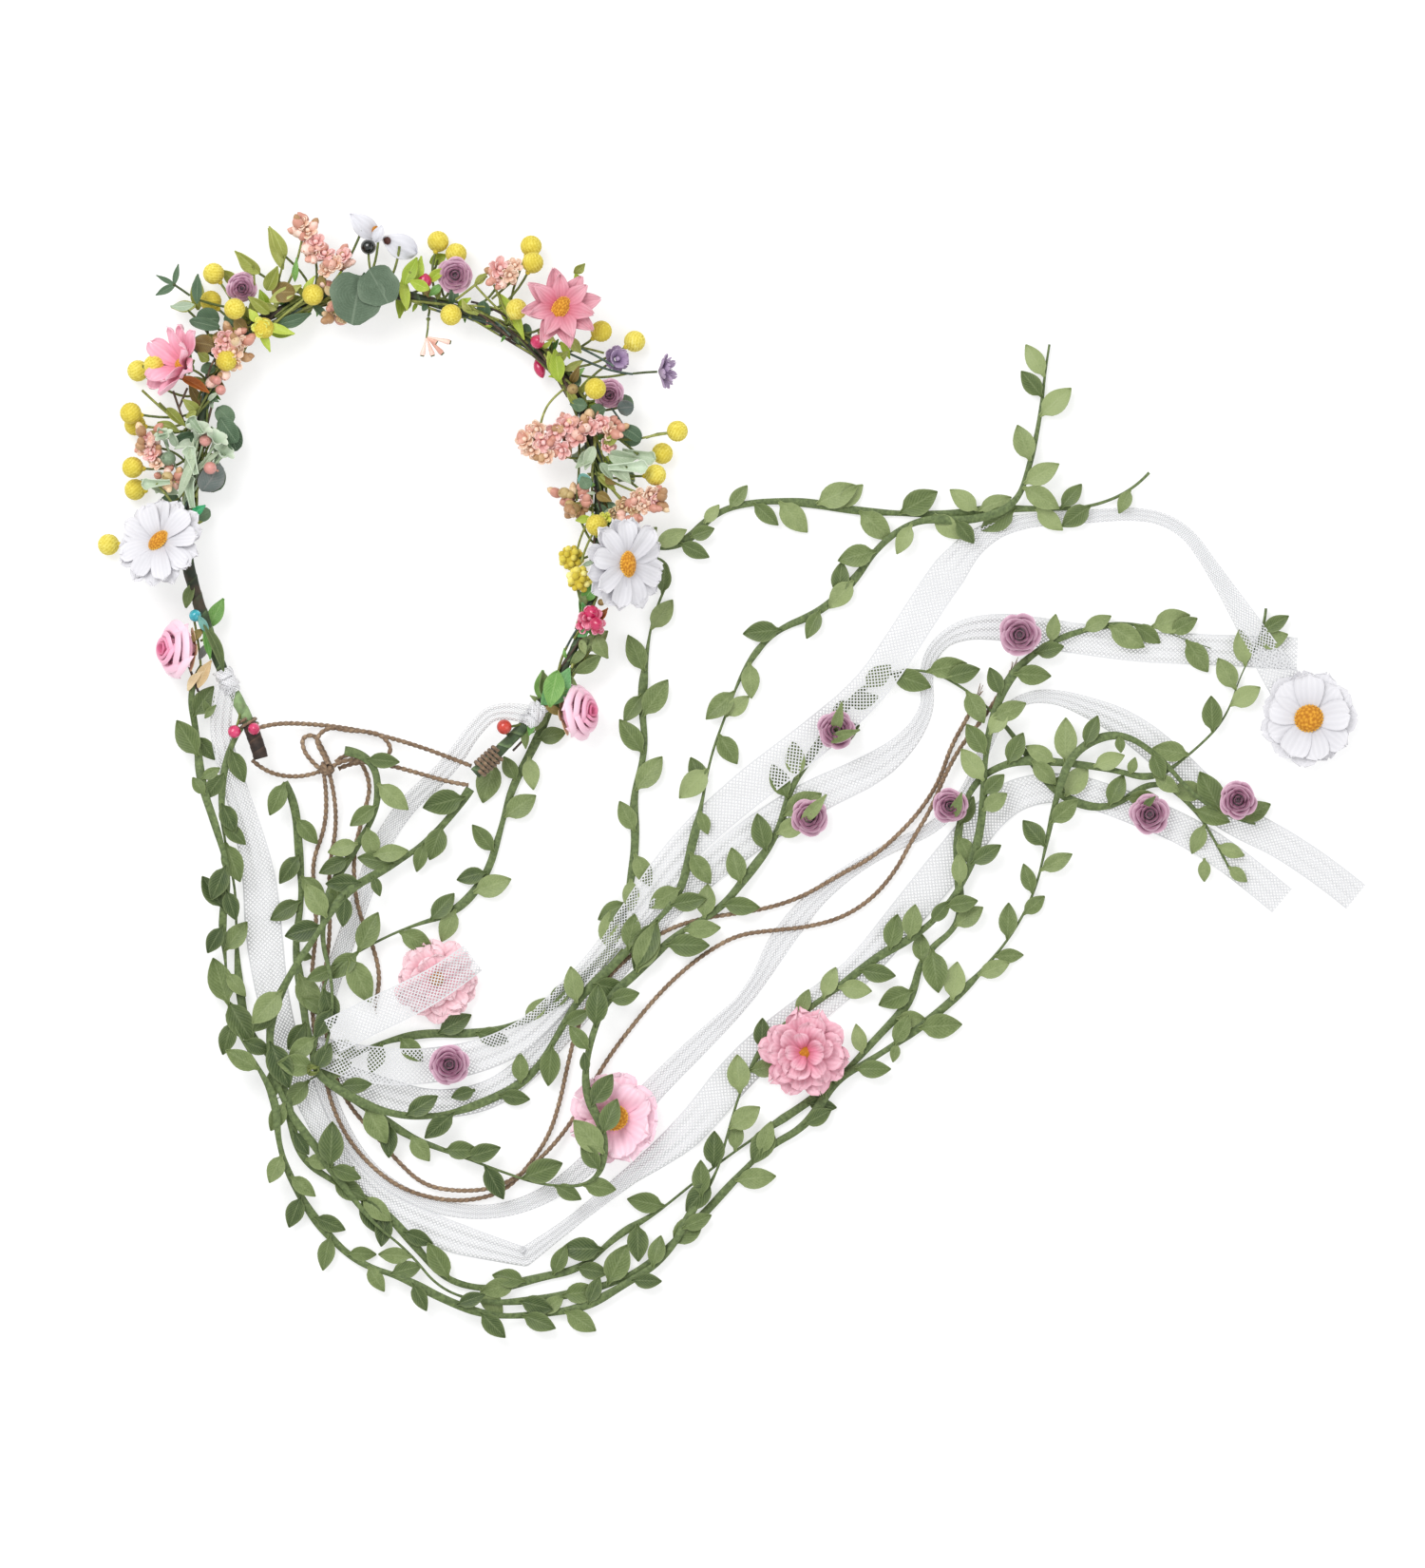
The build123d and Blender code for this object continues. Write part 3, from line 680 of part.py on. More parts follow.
save(Compound(children=[rose((x, y, z), (0, 0, 1), r, -0.7 * r, 0.6 * r) for x, y, z, r in CROWN_ROSES]), "crown_roses")
save(Compound(children=[rose((x, y, z), (0, 0, 1), r, 0, TRAIL_ROSE_H) for x, y, z, r in TRAIL_ROSES]), "trail_roses")
save(Compound(children=[rose((x, y, z), lean(tilt, heading), r, -0.7 * r, 0.6 * r) for x, y, z, r, tilt, heading in FOAM_ROSES]), "foam_roses")


# ---- berries, buds and beads ----
def beads(name, spots):
    with BuildPart() as group:
        for x, y, z, r in spots:
            with Locations((x, y, z)):
                Sphere(r)
    save(group.part, name)


beads("yellow_berries", [(x, y, z, BERRY_R) for x, y, z, r in BERRIES])
beads("peach_buds", PEACH_BUDS)
beads("pink_buds", PINK_BUDS)
beads("red_bud", RED_BUD)
beads("turquoise_bead", TURQUOISE_BEAD)
beads("black_bead", BLACK_BEAD)
beads("lilac_flower", LILAC)


# ---- leaves ----
def leaves(name, spots):
    with BuildPart() as group:
        for x, y, z, heading, length, width in spots:
            with BuildSketch(Plane((x, y, z - LEAF_T / 2), x_dir=lean(90, heading), z_dir=(0, 0, 1))):
                Ellipse(length / 2, width / 2)
            extrude(amount=LEAF_T)
    save(group.part, name)


leaves("eucalyptus_leaves", EUCALYPTUS)
leaves("olive_leaves", OLIVE)
leaves("green_leaves", GREEN)
leaves("mint_leaves", MINT)
leaves("white_blossom", WHITE_BLOSSOM)

# ---- stem wires, each starting at the surface of the frame's wire core ----
with BuildPart() as core:
    with BuildLine() as core_route:
        FilletPolyline(*FRAME, radius=frame_radii)
    with BuildSketch(Plane(core_route.line @ 0, z_dir=core_route.line % 0)):
        Circle(TAPE_IN_R)
    sweep(path=core_route.line)

wires = []
for x0, y0, z0, x1, y1, z1 in STEMS:
    run = Vector(x1, y1, z1) - Vector(x0, y0, z0)
    with BuildPart() as wire:
        with BuildSketch(Plane((x0, y0, z0), z_dir=run)):
            Circle(STEM_R)
        extrude(amount=run.length)
        add(core.part, mode=Mode.SUBTRACT)
    wires.append(wire.solids().sort_by(SortBy.VOLUME)[-1])
save(Compound(children=wires), "stem_wires")


# ---- sprays that bend at the root of their stem ----
def spray(name, height, stems, heads, flat_leaves=()):
    with BuildPart() as group:
        for (x0, y0), (x1, y1) in stems:
            run = Vector(x1 - x0, y1 - y0, 0)
            with BuildSketch(Plane((x0, y0, height), z_dir=run)):
                Circle(STEM_R)
            extrude(amount=run.length)
        for x, y, r in heads:
            with Locations((x, y, height)):
                Sphere(r)
        for x, y, heading, length, width in flat_leaves:
            with BuildSketch(Plane((x, y, height - LEAF_T / 2), x_dir=lean(90, heading), z_dir=(0, 0, 1))):
                Ellipse(length / 2, width / 2)
            extrude(amount=LEAF_T)
    save(group.part, name)


spray("lilac_spray", LILAC_SPRAY_Z, [((99.6, 64.6), (110.4, 65.4))], [(112.9, 65.6, 4.9)])
spray("berry_spray", BERRY_SPRAY_Z, [((105.2, 37.6), (115.0, 39.7))], [(118.4, 40.4, BERRY_R)])
spray(
    "hanging_sprig", HANGING_SPRIG_Z,
    [((13.6, 86.6), (12.8, 79.6)), ((12.8, 80.0), (11.4, 73.8)), ((12.8, 80.0), (15.0, 74.0)), ((12.8, 80.0), (18.4, 74.4)), ((12.8, 80.0), (21.0, 78.2))],
    [(11.2, 73.0, 1.9), (15.2, 73.0, 1.9), (19.0, 73.6, 1.9), (22.0, 78.0, 2.0), (16.4, 78.0, 1.8)],
)
spray(
    "eucalyptus_tip", EUCALYPTUS_TIP_Z,
    [((-86.6, 97.4), (-93.0, 101.8))],
    [(-93.2, 102.0, 0.8)],
    [(-92.4, 106.2, 78, 9.2, 2.6), (-96.8, 103.9, 153, 9.0, 2.2), (-96.9, 99.7, 208, 9.4, 3.4)],
)
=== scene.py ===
import json
import math
import random

import bpy
import numpy as np
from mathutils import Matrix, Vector


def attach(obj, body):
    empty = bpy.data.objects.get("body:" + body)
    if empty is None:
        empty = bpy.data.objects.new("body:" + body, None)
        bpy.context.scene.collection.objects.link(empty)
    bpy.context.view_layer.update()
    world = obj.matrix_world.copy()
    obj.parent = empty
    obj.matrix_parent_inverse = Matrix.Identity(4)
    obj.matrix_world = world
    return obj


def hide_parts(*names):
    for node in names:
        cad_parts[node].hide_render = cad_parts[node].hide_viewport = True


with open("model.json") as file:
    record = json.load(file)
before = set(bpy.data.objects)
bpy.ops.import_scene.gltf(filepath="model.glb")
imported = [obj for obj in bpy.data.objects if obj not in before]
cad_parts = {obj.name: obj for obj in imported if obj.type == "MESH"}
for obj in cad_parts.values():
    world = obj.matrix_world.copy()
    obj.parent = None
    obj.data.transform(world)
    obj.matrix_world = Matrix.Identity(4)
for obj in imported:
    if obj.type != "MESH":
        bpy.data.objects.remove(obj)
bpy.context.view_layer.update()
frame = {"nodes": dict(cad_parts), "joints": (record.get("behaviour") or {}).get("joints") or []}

JOINT = {j["name"]: j for j in frame["joints"]}

# ------------------------------------------------------------------ camera
camera_data = bpy.data.cameras.new("camera")
camera_data.sensor_fit = "VERTICAL"
camera_data.sensor_height = 24.0
camera_data.lens = 24.0 * 8.0 / 0.66
camera_data.clip_start = 0.5
camera_data.clip_end = 60.0
camera = bpy.data.objects.new("camera", camera_data)
camera.location = (0.1332, -0.108, 8.008)
camera.rotation_euler = (0.0, 0.0, 0.0)
bpy.context.scene.collection.objects.link(camera)
bpy.context.scene.camera = camera

# ------------------------------------------------------------------ tables (mm)
FRAME = [
    (-56.8, -97.2, 12), (-60.21, -84.37, 12), (-73.1, -61.34, 12), (-81.69, -36.74, 12), (-89.25, -11.37, 12),
    (-86.19, 14.97, 12), (-83.02, 40.88, 12), (-76.93, 66.8, 12), (-59.67, 87.36, 12), (-34.42, 96.06, 12),
    (-8.37, 99.88, 12), (17.71, 94.69, 12), (41.98, 85.39, 12), (65.14, 71.54, 12), (79.29, 49.99, 12),
    (85.58, 23.79, 12), (85.53, -2.19, 12), (83.99, -28.85, 12), (74.41, -53.12, 12), (61.24, -76.08, 12),
    (43, -94.7, 12), (33.2, -103.6, 12),
]
TWINE = {
"twine_upper": [
    (-58, -84.4, 12), (-51.56, -82.44, 8.97), (-38.43, -82.51, 3.06), (-25.24, -83.82, 1.2), (-12.27, -86.05, 1.2),
    (0.52, -89.41, 4.26), (13.12, -93.32, 10.2), (25.43, -98.01, 10.2), (31.6, -100.4, 12),
],
"twine_lower_left": [
    (-60.4, -98, 9.5), (-54.77, -103.52, 5.95), (-39.61, -105.58, 1.2), (-32.4, -102.8, 4.2),
],
"twine_lower_right": [
    (-24.4, -101.6, 4.2), (-17.8, -98.47, 3.65), (-3.7, -99.83, 7.2), (9.9, -103.55, 8), (23.37, -107.55, 8),
    (30.4, -108.4, 9.5),
],
"bow_loop_left": [
    (-30, -103.2, 4.2), (-32.16, -101.73, 6.63), (-35.88, -98.08, 6.55), (-39.06, -94.06, 4.24),
    (-39.95, -88.24, 1.59), (-34.35, -87.07, 1.2), (-31.65, -92.38, 1.2), (-29.38, -96.64, 2.97),
    (-28.4, -99.2, 4.2),
],
"bow_loop_right": [
    (-28.8, -99.6, 7.2), (-30.27, -96.57, 6.55), (-34.49, -88.93, 6.55), (-28.54, -83.76, 4.43),
    (-20.62, -85.6, 4.4), (-13.38, -85.77, 6.08), (-5.72, -87.3, 6.14), (-1.09, -94.22, 9.34),
    (-8.12, -99.21, 9.34), (-15.68, -97.76, 9.23), (-23.14, -98.18, 7.6), (-26.4, -100.4, 7.2),
],
"twine_tail_1": [
    (-30.4, -104.4, 4.2), (-29.34, -111.89, 1.2), (-30.02, -126.77, 1.2), (-35.72, -141.04, 1.2),
    (-34.07, -156.04, 1.2), (-33.76, -170.88, 1.2), (-35.63, -185.84, 1.87), (-35.6, -200.77, 1.87),
    (-34.38, -215.76, 2.67), (-30.41, -230.19, 2.67), (-26.8, -244.74, 2.67), (-20.1, -258.19, 1.87),
    (-10.27, -269.56, 1.87), (1.99, -278.4, 1.87), (16.3, -282.94, 1.87), (31.39, -283.71, 1.87),
    (45.99, -279.47, 1.87), (56.3, -268.27, 1.2), (64.56, -255.81, 1.2), (69.03, -241.42, 1.2),
    (72.07, -226.8, 1.87), (75.52, -212.19, 1.87), (81.92, -198.59, 1.87), (91.35, -186.91, 1.87),
    (102.5, -176.86, 1.87), (115.09, -168.7, 1.87), (129.55, -164.37, 1.87), (144.36, -162.42, 1.2),
    (159.12, -159.75, 1.87), (173.19, -154.52, 1.87), (185.93, -146.6, 1.87), (199.33, -139.83, 1.87),
    (210.78, -130.13, 1.87), (220.99, -119.12, 1.87), (228.99, -106.45, 1.2), (233.64, -92.11, 1.2),
    (241.18, -79.19, 1.2), (244.4, -72.4, 1.2),
],
"twine_tail_2": [
    (-28, -104.4, 4.2), (-26.02, -111.66, 6.37), (-25.23, -126.69, 1.2), (-28.22, -141.5, 1.2),
    (-28.3, -156.43, 1.2), (-27.97, -171.46, 1.87), (-29.88, -186.34, 1.87), (-31.2, -201.31, 1.87),
    (-29.23, -216.2, 2.67), (-26.1, -230.94, 2.67), (-19.47, -244.42, 2.67), (-9.05, -255.44, 2.67),
    (0.33, -266.93, 1.2), (11.66, -277.33, 1.2), (26.64, -279.67, 4.22), (41.8, -278.38, 4.22),
    (54.96, -271.01, 4.22), (65.9, -260.62, 3.96), (75, -248.71, 1.2), (82, -235.4, 1.2), (89.75, -222.58, 1.2),
    (98.83, -210.61, 1.2), (108.28, -198.99, 1.2), (118.84, -188.27, 1.2), (130.5, -178.94, 1.2),
    (143.76, -171.46, 1.87), (158.72, -169.65, 1.87), (173.55, -168.26, 1.87), (188.23, -164.26, 1.87),
    (200.79, -156.11, 1.2), (210.53, -144.45, 1.87), (217.48, -131.22, 1.87), (225.37, -118.4, 3.91),
    (230.93, -104.45, 3.91), (238.17, -91.34, 3.72), (247.85, -79.74, 1.2), (255.92, -67.22, 1.2),
    (259.2, -60.4, 1.2),
],
"twine_tail_3": [
    (-25.6, -98.8, 2), (-18.97, -92.41, 1.2), (-10.21, -106.84, 1.2), (-13.71, -120.77, 1.2),
    (-17.65, -134.71, 1.87), (-18.05, -149.2, 1.87), (-15.53, -163.45, 1.87), (-9.52, -176.76, 1.87),
    (-6.55, -190.66, 1.2), (-8.4, -198, 1.2),
],
}
VINES = {
"vine_1": [
    (-81.2, -58.8, 12), (-87.65, -66.8, 11), (-83.94, -87.33, 4.94), (-82.27, -107.08, 13.86),
    (-75.63, -126.15, 13.91), (-70.05, -145.51, 13.91), (-73.63, -165.72, 10.9), (-71.63, -185.34, 2.02),
    (-70.79, -205.99, 4.07), (-60.49, -222.84, 12.96), (-50.4, -240.46, 12.96), (-49.58, -260.75, 12.96),
    (-42.03, -279.48, 3.87), (-31.07, -296, 1.4), (-16.12, -310.16, 1.4), (3.02, -315.76, 8.37),
    (20.62, -325.36, 8.37), (39.41, -332.25, 8.37), (59.72, -331.63, 1.4), (79.53, -328.54, 4.15),
    (96.93, -318.39, 4.15), (114.24, -307.51, 4.15), (123.18, -289.4, 4.15), (134.97, -272.87, 4.15),
    (139.97, -253.58, 4.15), (145.8, -234.52, 2.07), (155.2, -216.47, 2.07), (171.29, -204.24, 2.07),
    (187.54, -192.73, 2.07), (202.87, -180.32, 2.07), (220.83, -170.98, 5.58), (234.93, -156.53, 5.62),
    (243.86, -138.33, 5.62), (247.3, -118.63, 8.07), (247.66, -98.57, 8.07), (251.05, -78.75, 8.07),
    (259.5, -60.33, 6.72), (275.55, -47.78, 3.75), (294.78, -41.51, 2.07), (314.82, -40.16, 2.07),
    (333.76, -47.73, 2.07), (343.2, -50.8, 2.07),
],
"vine_2": [
    (-65.2, -84.4, 13.5), (-70.55, -92.81, 13), (-73.9, -112.62, 12.69), (-72.31, -132.35, 10.39),
    (-67.67, -151.77, 1.41), (-67.47, -171.66, 1.4), (-66.63, -191.41, 1.4), (-63.27, -211.19, 2.87),
    (-49.4, -226.81, 7.46), (-45.02, -245.47, 7.46), (-40.98, -265.43, 7.15), (-23.83, -277.17, 2.87),
    (-6.38, -286.21, 2.87), (6.88, -301.09, 2.87), (19.7, -316.87, 2.87), (39.5, -321.6, 1.4),
    (58.71, -316.15, 1.4), (78.66, -312.17, 1.4), (92.81, -297.96, 1.4), (110.14, -288.45, 1.4),
    (125.52, -275.77, 1.4), (141.24, -263.69, 1.4), (157.6, -252.42, 1.4), (174.24, -241.61, 1.4),
    (189.69, -229.04, 1.4), (202.83, -214.33, 1.4), (216.98, -199.97, 1.4), (221.28, -180.01, 1.4),
    (238.49, -166.92, 2.51), (236.61, -146.61, 2.87), (236.18, -127.4, 2.87), (242.53, -106.92, 5.31),
    (259.7, -97.68, 5.34), (280.41, -98.8, 5.34), (299.6, -101.38, 5.62), (319.28, -106.7, 5.62),
    (336.2, -94.1, 5.62), (349.84, -80.27, 2.07), (355.87, -61.25, 2.07), (365.59, -44.46, 2.07),
    (366.4, -34, 2.07),
],
"vine_3": [
    (-46.8, -107.2, 9), (-42.45, -115.53, 6), (-41.11, -135.86, 1.4), (-39.61, -155.61, 1.4),
    (-43.04, -175.78, 1.4), (-39.77, -195.81, 5.22), (-37.23, -215.77, 7.97), (-27.37, -233.91, 7.97),
    (-10.71, -245.37, 7.97), (5.9, -257.06, 2.49), (24.77, -263.82, 6.77), (43.93, -271.02, 6.77),
    (62.09, -277.3, 6.77), (85.11, -276.94, 16.22), (89.05, -256.12, 16.22), (78.95, -237.4, 16.22),
    (81.11, -217.35, 16.22), (88.69, -198.1, 6.91), (104.02, -185.24, 4.42), (118.19, -170.72, 4.42),
    (136.29, -161.24, 4.42), (148.71, -145.48, 4.42), (160.65, -129.72, 2.07), (165.93, -109.78, 2.07),
    (176.7, -92.64, 2.07), (188.25, -76.38, 1.4), (203.04, -61.76, 2.07), (223.41, -59.07, 3.75),
    (241.68, -69, 3.97), (256.43, -82.65, 3.97), (267.93, -99.11, 2.07), (281.24, -114.95, 2.07),
    (301.17, -119.3, 2.07), (319.68, -104.87, 2.87), (336.47, -117.55, 2.87), (346.62, -135.05, 2.87),
    (351.2, -144, 2.87),
],
"vine_4": [
    (31.2, -110, 9), (26, -118.22, 7), (12.1, -133.41, 2.07), (-4.46, -143.68, 7.79), (-22.3, -153.77, 17.02),
    (-33.01, -171.04, 17.02), (-44.06, -186.89, 17.02), (-53, -205.6, 10.21), (-53.25, -225.33, 10.21),
    (-46.09, -244.78, 10.21), (-33.92, -260.58, 10.21), (-22.45, -276.9, 6.74), (-10.01, -292.79, 6.74),
    (5.48, -304.94, 5.62), (18.41, -321.13, 5.62), (38.01, -326.76, 5.62), (58.22, -325.5, 1.4),
    (77.9, -322.03, 1.4), (97.4, -316.37, 1.4), (113.56, -304.3, 1.4), (128.28, -290.65, 1.4),
    (141.75, -275.64, 1.4), (155.45, -261.5, 1.4), (173.53, -251.66, 4.15), (183.94, -233.57, 4.15),
    (201.26, -223.34, 4.15), (217.81, -212.65, 1.4), (233.6, -199.93, 1.4), (247.63, -186.12, 1.4),
    (260.3, -170.36, 1.4), (269.42, -152.71, 1.4), (273.94, -132.79, 4.82), (277.87, -113.53, 8.18),
    (284.76, -93.66, 8.18), (304.27, -85.16, 8.37), (322.13, -96.76, 8.37), (334.81, -112.28, 8.37),
    (351.91, -122.83, 2.07), (362, -124.8, 2.07),
],
"vine_5": [
    (80, -46.8, 12), (77.36, -56.59, 11), (66.1, -73.24, 1.95), (58.47, -91.48, 1.4), (48.67, -109.04, 1.4),
    (43.72, -127.96, 1.4), (38.06, -147.27, 1.4), (24.8, -162.51, 1.4), (5.27, -167.97, 4.42),
    (-12.42, -176.37, 4.42), (-29.84, -187.1, 11.52), (-32.52, -207.66, 11.52), (-36.61, -228.31, 11.52),
    (-19.12, -240.11, 11.52), (-0.71, -247.68, 10.72), (19.38, -248.02, 9.71), (38.45, -241.67, 2.07),
    (56.34, -232.38, 2.07), (67.2, -215.2, 4.95), (76.82, -197.94, 4.95), (91.6, -184.08, 4.95),
    (105.45, -170.06, 4.95), (119.42, -155.29, 4.23), (124.08, -135.61, 4.23), (128.73, -116.38, 3.27),
    (132.28, -96.54, 2.87), (139.07, -78.1, 1.4), (146.24, -59.47, 1.4), (158.5, -43.65, 1.4),
    (177.93, -36.11, 1.4), (192.28, -23.31, 1.4), (203.98, -6.39, 4.18), (220.4, 4.22, 4.3), (240.99, 2.33, 4.82),
    (261.23, 8.59, 4.82), (267.43, 28.11, 4.82), (271.47, 47.49, 1.4), (273.55, 67.34, 1.4), (275.2, 77.2, 1.4),
],
"vine_6": [
    (89.2, -9.2, 9.5), (98.87, -10.29, 6.5), (118.01, -14.73, 3), (108.15, -36.68, 1.4), (105.12, -54.53, 1.4),
    (103.15, -74.63, 1.4), (105.24, -93.72, 1.4), (99.49, -112.94, 1.4), (101.06, -132.75, 1.4), (98.21, -152, 1.4),
    (94.65, -171.79, 1.4), (81.75, -186.74, 1.4), (68.16, -201.03, 1.4), (50.42, -209.78, 1.4),
    (31.09, -213.52, 1.4), (11.33, -212.73, 1.4), (-7.77, -217.15, 5.22), (-25.47, -225.97, 5.22),
    (-42.18, -236, 5.22), (-50.8, -240.8, 2.87),
],
"vine_7": [
    (89.2, -6, 9.5), (98.76, -6.66, 6.5), (119.7, -8.99, 4.5), (134.05, 6.84, 1.4), (152.93, 11.33, 1.4),
    (173, 10.75, 1.4), (192.19, 7.14, 1.4), (212.21, 5.96, 1.4), (232, 5.42, 1.4), (251.87, 8.07, 2.07),
    (271.65, 7.87, 2.07), (291.76, 8.19, 2.07), (310.36, 15.55, 2.07), (317.2, 23.2, 1.4),
],
"vine_8": [
    (-21.6, -94, 13), (-9.4, -95.41, 12), (-6.66, -117, 11.89), (-17.02, -134.88, 4.42), (-28.11, -151.61, 4.93),
    (-31.93, -172.02, 14.27), (-26.31, -191.91, 14.27), (-27.34, -212.29, 14.27), (-30.8, -222, 11.52),
],
}
